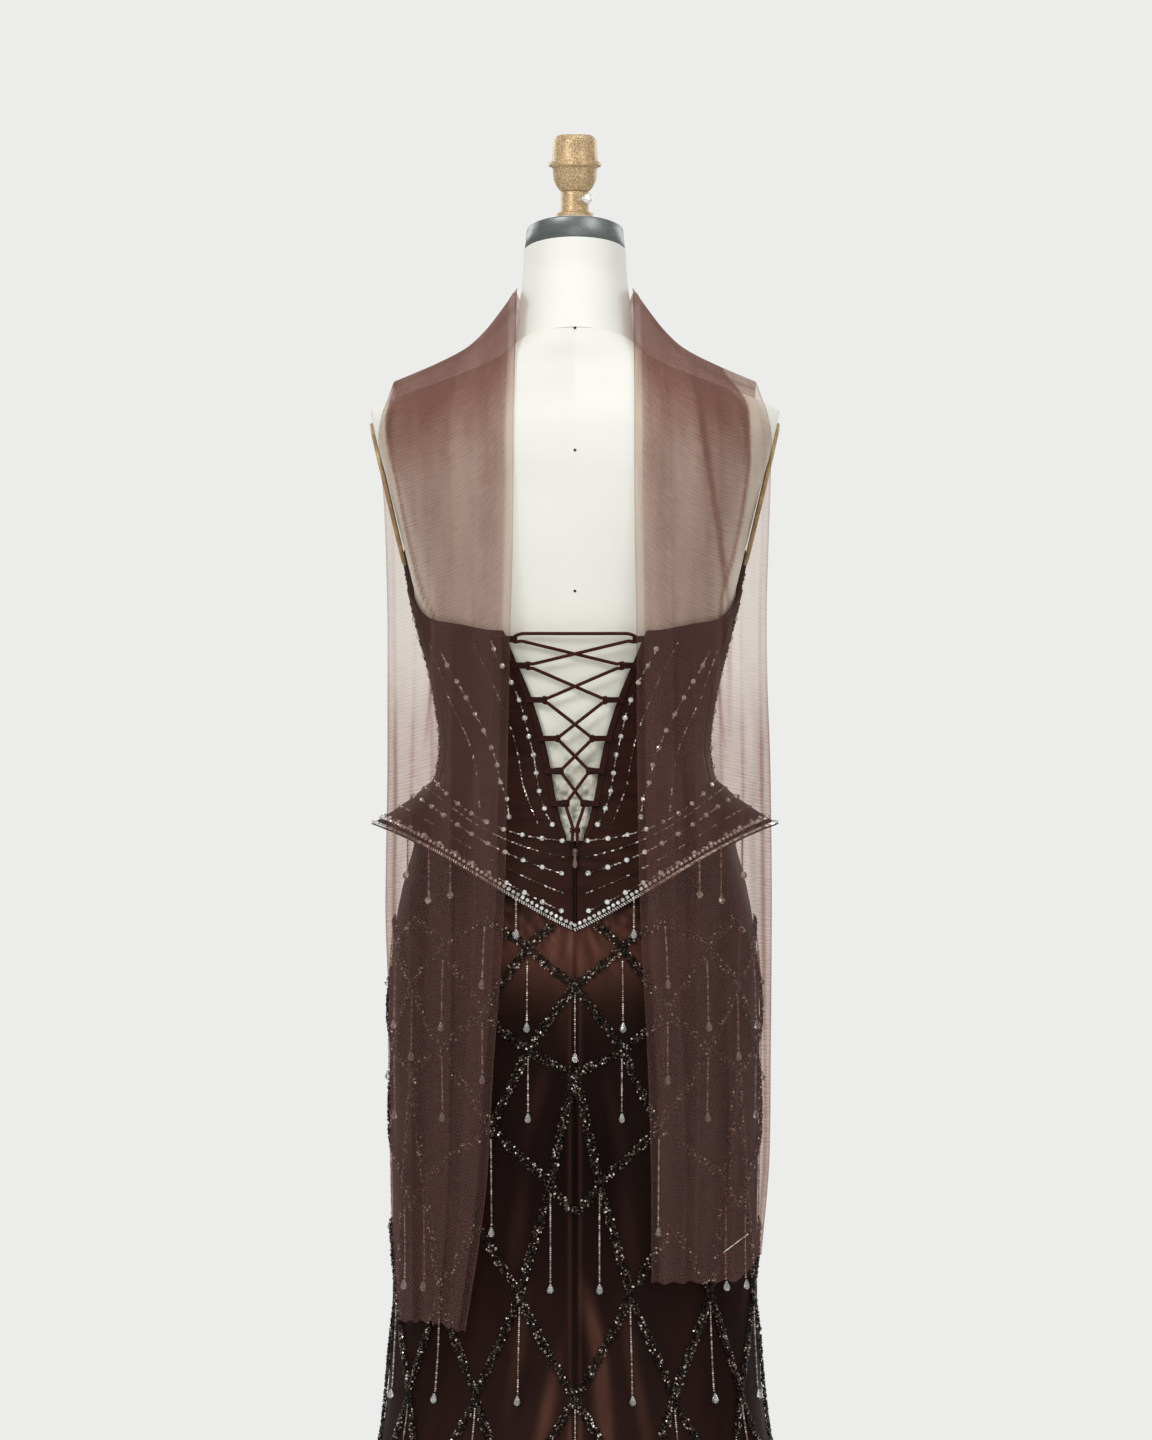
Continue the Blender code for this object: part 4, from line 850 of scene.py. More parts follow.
# Painted glints: the two top stops turn some beads and faces near white
DARK_BEADS = Beaded("gunmetal beads", roughness=0.28, metallic=0.40, constants=DULL, ramp=(
    (0.00, (0.005, 0.003, 0.003)), (0.56, (0.014, 0.009, 0.007)), (0.70, (0.055, 0.034, 0.026)),
    (0.82, (0.30, 0.215, 0.165)), (0.92, (0.95, 0.88, 0.79))))
BRONZE_BEADS = Beaded("bronze beads", roughness=0.30, metallic=0.4, ramp=(
    (0.0, (0.14, 0.090, 0.065)), (0.5, (0.42, 0.32, 0.26)), (1.0, (0.88, 0.80, 0.73))))
TUBE_BEADS = Beaded("bronze tube beads", roughness=0.26, metallic=0.45, ramp=(
    (0.0, (0.022, 0.013, 0.010)), (0.42, (0.060, 0.038, 0.029)), (0.60, (0.24, 0.175, 0.140)),
    (0.82, (0.62, 0.54, 0.48)), (1.0, (0.95, 0.91, 0.88))))
# Painted reflections: dark and bright facet colours, with green and amber glints
CRYSTALS = Beaded("foiled crystals", roughness=0.10, metallic=0.35, constants=(("Coat Weight", 1.0),), ramp=(
    (0.00, (0.10, 0.09, 0.08)), (0.22, (0.34, 0.32, 0.30)), (0.45, (0.92, 0.92, 0.90)),
    (0.80, (0.95, 0.95, 0.93)), (0.92, (0.60, 0.80, 0.70)), (1.00, (0.82, 0.66, 0.48))))
SILVER_BEADS = Beaded("silver-lined beads", roughness=0.18, metallic=0.75, ramp=(
    (0.0, (0.22, 0.20, 0.18)), (0.4, (0.66, 0.64, 0.60)), (0.7, (0.92, 0.91, 0.88)),
    (1.0, (0.95, 0.94, 0.91))))
GLASS = Finish("clear glass", (0.92, 0.93, 0.92), 0.04,
               constants=(("Transmission Weight", 0.75), ("IOR", 1.52)))


class Finishes:
    """Builds each material the first time a piece asks for it."""

    made: dict[str, bpy.types.Material] = {}

    @classmethod
    def get(cls, finish: Finish) -> bpy.types.Material:
        """Return the finish's material.

        Args:
            finish: The finish.

        Returns:
            The material, built the first time that it is asked for.
        """
        if finish.name not in cls.made:
            cls.made[finish.name] = finish.build()
        return cls.made[finish.name]


# ---------------------------------------------------------------- pieces
class Piece:
    """Makes finished objects and hangs each on its body."""

    @staticmethod
    def link(name: str, data: bpy.types.ID) -> Thing:
        """Put a new object in the scene.

        Args:
            name: The object's name.
            data: What the object shows.

        Returns:
            The object.
        """
        thing = bpy.data.objects.new(name, data)
        bpy.context.scene.collection.objects.link(thing)
        return thing

    @classmethod
    def add(cls, name: str, mesh: Mesh, finish: Finish, slot: str, body: Body = Body.GOWN,
            replaces: Sequence[str] = ()) -> Thing:
        """Put a finished mesh in the scene.

        Args:
            name: The piece's name.
            mesh: Its mesh, in the row frame.
            finish: Its finish.
            slot: The record's material slot that it takes its finish from. Not used.
            body: The body it rides on.
            replaces: CAD nodes that it stands for.

        Returns:
            The object.
        """
        mesh.materials.clear()
        mesh.materials.append(Finishes.get(finish))
        thing = cls.link(name, mesh)
        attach(thing, body.value)
        if replaces:
            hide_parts(*replaces)
        log.info("%s: %d faces", name, len(mesh.polygons))
        return thing

    @staticmethod
    def shade(mesh: Mesh, sharp: float) -> Mesh:
        """Return the mesh shaded smooth, with sharp edges past an angle in degrees.

        Args:
            mesh: The mesh.
            sharp: Angle in degrees past which an edge stays sharp.

        Returns:
            The same mesh.
        """
        mesh.shade_smooth()
        mesh.set_sharp_from_angle(angle=math.radians(sharp))
        return mesh

    @staticmethod
    def of(name: str, shape: bmesh.types.BMesh) -> Mesh:
        """Return a new mesh of a shape that is done with.

        Args:
            name: The mesh's name.
            shape: The shape, which is freed.

        Returns:
            The mesh.
        """
        made = bpy.data.meshes.new(name)
        shape.to_mesh(made)
        shape.free()
        return made

    @classmethod
    def mesh(cls, name: str, points: Sequence[Vector], faces: Sequence[Sequence[int]], sharp: float,
             uvs: Optional[Route] = None, merge: float = 0.0) -> Mesh:
        """Return a mesh whose faces all point outwards.

        Args:
            name: The mesh's name.
            points: Its points.
            faces: The points round each face.
            sharp: The angle past which an edge is sharp, in degrees.
            uvs: Each point's place on the UV map, if it has one.
            merge: Points closer than this become one.

        Returns:
            The mesh, shaded smooth.
        """
        made = bpy.data.meshes.new(name)
        made.from_pydata([tuple(point) for point in points], [], [tuple(face) for face in faces])
        if uvs:
            layer = made.uv_layers.new(name="cloth")
            corners = np.empty(len(made.loops), np.int32)
            made.loops.foreach_get("vertex_index", corners)
            layer.data.foreach_set("uv", np.array(uvs, np.float32)[corners].ravel())
        cls.shade(made, sharp).update()
        shape = bmesh.new()
        shape.from_mesh(made)
        if merge:
            bmesh.ops.remove_doubles(shape, verts=shape.verts, dist=merge)
        bmesh.ops.recalc_face_normals(shape, faces=shape.faces)
        shape.to_mesh(made)
        shape.free()
        return made


class Cloth:
    """Thin-walled sheets made from a grid of points on each of their two faces."""

    @staticmethod
    def skins(rows: int, columns: int, spot: Callable[[int, int], Sequence[float]]) -> tuple[Grid, Grid]:
        """Return the inner and outer face of a sheet on the figure.

        Args:
            rows: Steps from its top to its bottom.
            columns: Steps across it.
            spot: Gives the azimuth, the height and the inner and outer layer at a row and column.

        Returns:
            A grid of points for each face.
        """
        spots = [[spot(r, c) for c in range(columns + 1)] for r in range(rows + 1)]
        inner, outer = ([[Figure.point(at[0], at[1], at[k]) for at in row] for row in spots] for k in (2, 3))
        return inner, outer

    @classmethod
    def wall(cls, name: str, inner: Grid, outer: Grid, marks: Optional[dict[str, Values]] = None) -> Mesh:
        """Return a closed wall between two grids, with a UV map in metres.

        Args:
            name: The mesh's name.
            inner: Rows of points from top to bottom, on the inner face.
            outer: The same on the outer face.
            marks: Values at each point, written as attributes of these names.

        Returns:
            The mesh.
        """
        rows, wide = len(inner), len(inner[0])
        half, faces = rows * wide, []
        for a in (r * wide + c for r in range(rows - 1) for c in range(wide - 1)):
            b = half + a
            faces += [(a, a + 1, a + wide + 1, a + wide), (b, b + wide, b + wide + 1, b + 1)]
        for c in range(wide - 1):
            low = half - wide + c
            faces += [(c, half + c, half + c + 1, c + 1), (low, low + 1, half + low + 1, half + low)]
        for a in range(0, half - wide, wide):
            b, c, d = a + wide, a + wide - 1, a + 2 * wide - 1
            faces += [(a, b, half + b, half + a), (c, half + c, half + d, d)]
        points = [point for grid in (inner, outer) for row in grid for point in row]
        made = Piece.mesh(name, points, faces, 50.0, cls._uvs(outer) * 2)
        for key, table in (marks or {}).items():
            made.attributes.new(key, "FLOAT", "POINT").data.foreach_set("value", sum(table, []) * 2)
        return made

    @staticmethod
    def _uvs(grid: Grid) -> Route:
        """Return each point's place on the flat cloth, in metres from its middle column and top row.

        Args:
            grid: Rows of points from top to bottom.

        Returns:
            One place for each point, row by row.
        """
        middle = len(grid[0]) // 2
        down, uvs = 0.0, []
        for r, row in enumerate(grid):
            if r:
                down += (row[middle] - grid[r - 1][middle]).length
            along = [0.0]
            for before, point in zip(row, row[1:]):
                along.append(along[-1] + (point - before).length)
            uvs += [(value - along[middle], -down) for value in along]
        return uvs

    @staticmethod
    def _cut(grid: Grid) -> Triple:
        """Return the width, length and area of the flat cloth that a grid of points is cut from.

        Args:
            grid: Rows of points from top to bottom.

        Returns:
            The width, the length and the area.
        """
        points = np.array([[tuple(point) for point in row] for row in grid])
        across, along = (np.linalg.norm(np.diff(points, axis=k), axis=2).sum(axis=k).max() for k in (1, 0))
        crossed = np.cross(points[1:, 1:] - points[:-1, :-1], points[1:, :-1] - points[:-1, 1:])
        return float(across), float(along), float(np.linalg.norm(crossed, axis=2).sum() / 2)

    @classmethod
    def sew(cls, name: str, kind: str, skins: tuple[Grid, Grid], finish: Finish, slot: str, hold: Hold,
            rests_on: Sequence[str] = (), marks: Optional[dict[str, Values]] = None) -> None:
        """Add a sheet that stands for the node of its name, and work out the size that it was cut to.

        Args:
            name: The node's name.
            kind: The cloth, as the last word of the piece's name.
            skins: The sheet's inner and outer face.
            finish: Its finish.
            slot: The record's material slot.
            hold: How it is held. Not used.
            rests_on: What it rests on besides the form. Not used.
            marks: Values at each point, written as attributes of these names.
        """
        made = Piece.add(f"{name}_{kind}", cls.wall(name, *skins, marks), finish, slot, replaces=[name])
        width, length, area = cls._cut(skins[1])
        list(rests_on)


class Shapes:
    """Solids made of rings of points, and smooth routes for cords."""

    @staticmethod
    def turned(name: str, profile: Route, sides: int, place: Optional[Matrix] = None,
               sharp: float = 35.0) -> Mesh:
        """Return a solid turned round the Z axis from (radius, height) points that start and end on it.

        Args:
            name: The mesh's name.
            profile: The (radius, height) points.
            sides: How many flat sides it has round it.
            place: Where it goes, or None to leave it.
            sharp: Angle in degrees past which an edge stays sharp.

        Returns:
            The mesh.
        """
        points, faces, rings = [], [], []
        for radius, height in profile:
            around = circle(sides, radius, radius) if radius > 1e-6 else [(0, 0)]
            ring = [Vector((x, y, height)) for x, y in around]
            rings.append(range(len(points), len(points) + len(ring)))
            points += ring
        for one, two in zip(rings, rings[1:]):
            for i in range(sides):
                corners = [one[i % len(one)], one[(i + 1) % len(one)], two[(i + 1) % len(two)],
                           two[i % len(two)]]
                face = list(dict.fromkeys(corners))
                if len(face) > 2:
                    faces.append(face)
        if place:
            points = [place @ point for point in points]
        return Piece.mesh(name, points, faces, sharp)

    @staticmethod
    def rounded(profile: Route, radius: float, bends: int = 2) -> Route:
        """Return a profile with its corners broken by a small radius.

        Args:
            profile: The (radius, height) points.
            radius: How far back from a corner its bend starts.
            bends: How many steps a bend has.

        Returns:
            The longer profile.
        """
        made = [tuple(profile[0])]
        for before, corner, after in zip(profile, profile[1:], profile[2:]):
            ends = []
            for other in (before, after):
                length = math.dist(corner, other)
                share = min(radius / length, 0.4) if length else 0
                ends.append([mix(corner[k], other[k], share) for k in (0, 1)])
            for t in (i / bends for i in range(bends + 1)):
                made.append(tuple((1 - t) ** 2 * ends[0][k] + 2 * t * (1 - t) * corner[k] + t * t * ends[1][k]
                                  for k in (0, 1)))
        return made + [tuple(profile[-1])]

    @staticmethod
    def skin(name: str, rings: Grid, uvs: Route, sharp: float) -> Mesh:
        """Return a capped solid through rings whose last point repeats their first.

        Args:
            name: The mesh's name.
            rings: The rings of points.
            uvs: One place for each point.
            sharp: Angle in degrees past which an edge stays sharp.

        Returns:
            The mesh.
        """
        wide = len(rings[0])
        last = (len(rings) - 1) * wide
        faces = [(a, a + 1, a + wide + 1, a + wide) for a in range(last) if (a + 1) % wide]
        faces += [tuple(range(wide - 2, -1, -1)), tuple(range(last, last + wide - 1))]
        return Piece.mesh(name, sum(rings, []), faces, sharp, uvs, 1e-7)

    @classmethod
    def tube(cls, name: str, route: Sequence[Vector], radius: float, sides: int) -> Mesh:
        """Return a capped tube along a route, with a UV map in metres.

        Args:
            name: The mesh's name.
            route: The points along its middle.
            radius: Its radius.
            sides: How many flat sides it has round it.

        Returns:
            The mesh.
        """
        rings, uvs, travelled = [], [], 0.0
        side = Vector((0, 0, 1)).cross(route[1] - route[0])
        side = side.normalized() if side.length > 1e-6 else Vector((1, 0, 0))
        for i, spot in enumerate(route):
            way = (route[min(i + 1, len(route) - 1)] - route[max(i - 1, 0)]).normalized()
            side = (side - way * side.dot(way)).normalized()
            up = way.cross(side)
            travelled += (spot - route[i - 1]).length if i else 0.0
            turns = [TAU * k / sides for k in range(sides + 1)]
            rings.append([spot + side * radius * math.cos(turn) + up * radius * math.sin(turn)
                          for turn in turns])
            uvs += [(TAU * radius * k / sides, travelled) for k in range(sides + 1)]
        return cls.skin(name, rings, uvs, 60.0)

    @staticmethod
    def _hoop(name: str, rings: Grid, closed: bool) -> Mesh:
        """Return a solid through rings: capped at both ends, or closed round on itself.

        Args:
            name: The mesh's name.
            rings: The rings of points.
            closed: True if the last ring joins the first.

        Returns:
            The mesh.
        """
        count, faces = len(rings[0]), []
        for r in range(len(rings) if closed else len(rings) - 1):
            one, two = r * count, (r + 1) % len(rings) * count
            faces += [(one + i, one + (i + 1) % count, two + (i + 1) % count, two + i) for i in range(count)]
        if not closed:
            last = (len(rings) - 1) * count
            faces += [tuple(range(count - 1, -1, -1)), tuple(range(last, last + count))]
        return Piece.mesh(name, sum(rings, []), faces, 30.0)

    @classmethod
    def plate(cls, outline: Route, low: float, high: float, edge: float) -> Mesh:
        """Return a plate of this (x, z) outline between two levels of y, with its edges broken.

        Args:
            outline: The (x, z) points.
            low: The lower level of y.
            high: The higher level of y.
            edge: How much of the edge is broken.

        Returns:
            The mesh.
        """
        middle = [sum(values) / len(outline) for values in zip(*outline)]
        rings = []
        for level, inset in ((low, edge), (low + edge * 0.4, edge * 0.4), (low + edge, 0.0),
                             (high - edge, 0.0), (high - edge * 0.4, edge * 0.4), (high, edge)):
            ring = []
            for x, z in outline:
                share = max(1 - inset / max(math.hypot(x - middle[0], z - middle[1]), 1e-6), 0.2)
                ring.append(Vector((mix(middle[0], x, share), level, mix(middle[1], z, share))))
            rings.append(ring)
        return cls._hoop("plate", rings, False)

    @classmethod
    def washer(cls, outer: Route, inner: Route, half: float) -> Mesh:
        """Return a ring between two (y, z) outlines, with its flat sides at both levels of x.

        Args:
            outer: The outline on the outside.
            inner: The outline of the hole.
            half: Half its thickness.

        Returns:
            The mesh.
        """
        rings = [[Vector((shift, y, z)) for y, z in outline]
                 for outline, shift in ((outer, -half), (outer, half), (inner, half), (inner, -half))]
        return cls._hoop("washer", rings, True)

    @staticmethod
    def joined(name: str, meshes: Sequence[Mesh], place: Matrix) -> Mesh:
        """Return one mesh of several, moved to its place.

        Args:
            name: The new mesh's name.
            meshes: The meshes.
            place: Where it goes.

        Returns:
            The one mesh.
        """
        shape = bmesh.new()
        for mesh in meshes:
            shape.from_mesh(mesh)
            bpy.data.meshes.remove(mesh)
        made = Piece.of(name, shape)
        made.transform(place)
        return Piece.shade(made, 30.0)

    @staticmethod
    def eased(stops: Sequence[tuple[Vector, Optional[Vector]]], count: int, most: float) -> list[Vector]:
        """Return a smooth route through stops, each a point and the direction there or None.

        Args:
            stops: The points and directions.
            count: Points on each stretch.
            most: Longest reach of a bend on each side of a stop; less makes tighter bends.

        Returns:
            The route's points.
        """
        points = [point for point, _ in stops]
        ways = []
        for i, (_, way) in enumerate(stops):
            chord = points[min(i + 1, len(stops) - 1)] - points[max(i - 1, 0)]
            ways.append(way or chord.normalized())
        route = []
        for start, end, leave, arrive in zip(points, points[1:], ways, ways[1:]):
            reach = min((end - start).length * 0.35, most)
            for t in (k / count for k in range(count)):
                a, b, c, d = (1 - t) ** 3, 3 * t * (1 - t) ** 2, 3 * t * t * (1 - t), t**3
                route.append(a * start + b * (start + leave * reach) + c * (end - arrive * reach) + d * end)
        return route + [points[-1]]


# ---------------------------------------------------------------- beads
@dataclass
class Spot:
    """Where one bead is sewn: its middle, the way out of the cloth, the way it lies and its size."""

    point: Vector
    away: Vector
    along: Vector
    size: float


class Bead(Enum):
    """The bead shapes, each one unit across."""

    ROUND = "round"
    FACETED = "faceted"
    BUGLE = "bugle"
    STONE = "stone"
    DROP = "drop"


class BeadShapes:
    """Builds each bead shape once, as a hidden pattern for the spreader."""

    # Sides and (radius, height) profile of the turned ones
    turned = {
        Bead.FACETED: (6, [(0, 0.44), (0.5, 0.04), (0, -0.40)]),
        Bead.STONE: (8, [(0, 0.30), (0.26, 0.30), (0.44, 0.12), (0.50, -0.02), (0.40, -0.24), (0, -0.24)]),
        Bead.DROP: (8, [(0, 0.0), (0.08, 0.03), (0.11, 0.12), (0.21, 0.34), (0.31, 0.60), (0.31, 0.74),
                        (0.20, 0.92), (0, 1.0)]),
    }
    made: dict[Bead, Thing] = {}

    @classmethod
    def get(cls, kind: Bead) -> Thing:
        """Return the pattern object of a bead shape.

        Args:
            kind: The bead's shape.

        Returns:
            The pattern object.
        """
        if kind not in cls.made:
            cls.made[kind] = bpy.data.objects.new("pattern_" + kind.value, cls._build(kind))
        return cls.made[kind]

    @classmethod
    def _build(cls, kind: Bead) -> Mesh:
        """Return one pattern's mesh, lengthwise along X and standing out along Z.

        Args:
            kind: The bead's shape.

        Returns:
            The mesh, about 1 long.
        """
        lying = Matrix.Rotation(math.pi / 2, 4, "Y")
        if kind in cls.turned:
            sides, profile = cls.turned[kind]
            mesh = Shapes.turned(kind.value, profile, sides, sharp=10.0)
            if kind is Bead.DROP:
                mesh.transform(lying)
            return mesh
        shape = bmesh.new()
        if kind is Bead.BUGLE:
            bmesh.ops.create_cone(shape, cap_ends=True, segments=6, radius1=0.26, radius2=0.26, depth=1.0,
                                  matrix=lying)
            return Piece.of(kind.value, shape)
        bmesh.ops.create_icosphere(shape, subdivisions=1, radius=0.5)
        mesh = Piece.of(kind.value, shape)
        mesh.shade_smooth()
        return mesh

    @classmethod
    def clear(cls) -> None:
        """Remove the patterns."""
        for thing in cls.made.values():
            bpy.data.objects.remove(thing)
        cls.made.clear()


@dataclass(frozen=True)
class Kind:
    """A kind of bead: its shape, finish, random spread of size, turn and tilt, and share of painted facet
    glints.
    """

    bead: Bead
    finish: Finish
    slot: str
    size_spread: float
    spin: float
    tumble: float
    facets: float = 0.0


CRYSTAL = Kind(Bead.STONE, CRYSTALS, "crystal_trim", 0.06, 3.0, 0.15, 0.75)
TUBE = Kind(Bead.BUGLE, TUBE_BEADS, "bead_rope", 0.12, 0.35, 0.15)
TRIM_STONE = Kind(Bead.STONE, CRYSTALS, "crystal_trim", 0.05, 3.0, 0.12, 0.7)
TRIM_TUBE = Kind(Bead.BUGLE, SILVER_BEADS, "crystal_trim", 0.06, 0.10, 0.08, 0.4)
TOOTH = Kind(Bead.BUGLE, ZIP_METAL, "zip_chain", 0.02, 0.03, 0.03)
ROPE = Kind(Bead.FACETED, DARK_BEADS, "bead_rope", 0.10, 3.1, 0.8, 0.45)
STRAND = Kind(Bead.ROUND, BRONZE_BEADS, "bead_rope", 0.10, 3.0, 0.4)
DROP = Kind(Bead.DROP, GLASS, "crystal_trim", 0.05, 0.0, 0.05)


class BeadSpreader:
    """Geometry Nodes that set a bead on every point of a mesh, turned and toned at random from a seed."""

    inputs = {"Bead": "Object", "Size Spread": "Float", "Spin": "Float", "Tumble": "Float", "Facets": "Float",
              "Seed": "Int", "Finish": "Material"}

    def __init__(self) -> None:
        """Build the tree."""
        self.tree = bpy.data.node_groups.new("bead spreader", "GeometryNodeTree")
        face = self.tree.interface
        face.new_socket("Geometry", in_out="INPUT", socket_type="NodeSocketGeometry")
        self.sockets = {name: face.new_socket(name, in_out="INPUT", socket_type="NodeSocket" + kind).identifier
                        for name, kind in self.inputs.items()}
        face.new_socket("Geometry", in_out="OUTPUT", socket_type="NodeSocketGeometry")
        self._wire()

    def _wire(self) -> None:
        """Place and link the nodes."""
        graph = Graph(self.tree)
        inside = graph.add("NodeGroupInput").outputs

        def stored(name: str, kind: str) -> Socket:
            """Return a point's own value."""
            return graph.add("GeometryNodeInputNamedAttribute", {"Name": name},
                             data_type=kind).outputs["Attribute"]

        def store(geometry: Node, value: Socket, domain: str) -> Node:
            """Store a value for the ramps: each bead's random value, then that mixed with each facet's painted
            glint.

            Args:
                geometry: The node whose geometry keeps it.
                value: The value.
                domain: What each value belongs to.

            Returns:
                The node that stores it.
            """
            return graph.add("GeometryNodeStoreNamedAttribute",
                             {"Geometry": geometry.outputs[0], "Name": "tone", "Value": value},
                             data_type="FLOAT", domain=domain)

        def drawn(low: object, high: object, offset: int) -> Socket:
            """Return a random value between two, under its own seed.

            Args:
                low: The least value.
                high: The greatest value.
                offset: What is added to the seed.

            Returns:
                The value.
            """
            seed = graph.math("ADD", inside["Seed"], float(offset))
            return graph.add("FunctionNodeRandomValue", {2: low, 3: high, "Seed": seed},
                             data_type="FLOAT").outputs[1]

        def swing(name: str, offset: int) -> Socket:
            """Return a random value as far to either side as an input says."""
            return drawn(graph.times(inside[name], -1.0), inside[name], offset)

        lie = graph.add("FunctionNodeAlignRotationToVector", {"Vector": stored("away", "FLOAT_VECTOR")},
                        axis="Z")
        lie = graph.add("FunctionNodeAlignRotationToVector",
                        {"Rotation": lie.outputs[0], "Vector": stored("along", "FLOAT_VECTOR")},
                        axis="X", pivot_axis="Z")
        angles = graph.add("ShaderNodeCombineXYZ", {0: swing("Tumble", 11), 1: swing("Tumble", 23),
                                                    2: swing("Spin", 37)}).outputs[0]
        turn = graph.add("FunctionNodeEulerToRotation", {0: angles}).outputs[0]
        turned = graph.add("FunctionNodeRotateRotation", {0: lie.outputs[0], 1: turn}, rotation_space="LOCAL")
        size = graph.times(stored("size", "FLOAT"), graph.math("ADD", 1.0, swing("Size Spread", 51)))
        shape = graph.add("GeometryNodeObjectInfo", {"Object": inside["Bead"]}, transform_space="ORIGINAL")
        placed = graph.add("GeometryNodeInstanceOnPoints",
                           {"Points": inside["Geometry"], "Instance": shape.outputs["Geometry"],
                            "Rotation": turned.outputs[0], "Scale": size})
        toned = store(placed, drawn(0.0, 1.0, 73), "INSTANCE")
        real = graph.add("GeometryNodeRealizeInstances", {0: toned.outputs[0]})
        # Painted glints: part of each facet's value is drawn at random, painting bright and dark facet glints
        own = graph.times(stored("tone", "FLOAT"), graph.math("SUBTRACT", 1.0, inside["Facets"]))
        cut = graph.math("ADD", own, graph.times(drawn(0.0, 1.0, 91), inside["Facets"]))
        faceted = store(real, cut, "FACE")
        dressed = graph.add("GeometryNodeSetMaterial", {"Geometry": faceted.outputs[0],
                                                        "Material": inside["Finish"]})
        graph.add("NodeGroupOutput", {"Geometry": dressed.outputs[0]})

    def spread(self, name: str, spots: Sequence[Spot], kind: Kind, seed: int,
               replaces: Sequence[str] = ()) -> None:
        """Set a bead on each spot and add them as one piece.

        Args:
            name: The piece's name.
            spots: Where the beads go.
            kind: What they are.
            seed: Fixes every random turn, size and tone.
            replaces: CAD nodes that the piece stands for.
        """
        points = bpy.data.meshes.new(name + "_points")
        points.from_pydata([tuple(spot.point) for spot in spots], [], [])
        for key in ("away", "along"):
            values = [value for spot in spots for value in getattr(spot, key)]
            points.attributes.new(key, "FLOAT_VECTOR", "POINT").data.foreach_set("vector", values)
        sizes = points.attributes.new("size", "FLOAT", "POINT")
        sizes.data.foreach_set("value", [spot.size for spot in spots])
        holder = Piece.link(name + "_points", points)
        modifier = holder.modifiers.new("spread", "NODES")
        modifier.node_group = self.tree
        for label, value in (("Bead", BeadShapes.get(kind.bead)), ("Size Spread", kind.size_spread),
                             ("Spin", kind.spin), ("Tumble", kind.tumble), ("Facets", kind.facets),
                             ("Seed", seed), ("Finish", Finishes.get(kind.finish))):
            modifier[self.sockets[label]] = value
        bpy.context.view_layer.update()
        mesh = bpy.data.meshes.new_from_object(holder.evaluated_get(bpy.context.evaluated_depsgraph_get()))
        mesh.name = name
        bpy.data.objects.remove(holder)
        Piece.add(name, mesh, kind.finish, kind.slot, replaces=replaces)


# ---------------------------------------------------------------- dress form and stand
def facing(point: Vector, way: Vector) -> Matrix:
    """Return the place at a point whose Z axis lies along a way."""
    return Matrix.Translation(point) @ way.to_track_quat("Z", "Y").to_matrix().to_4x4()


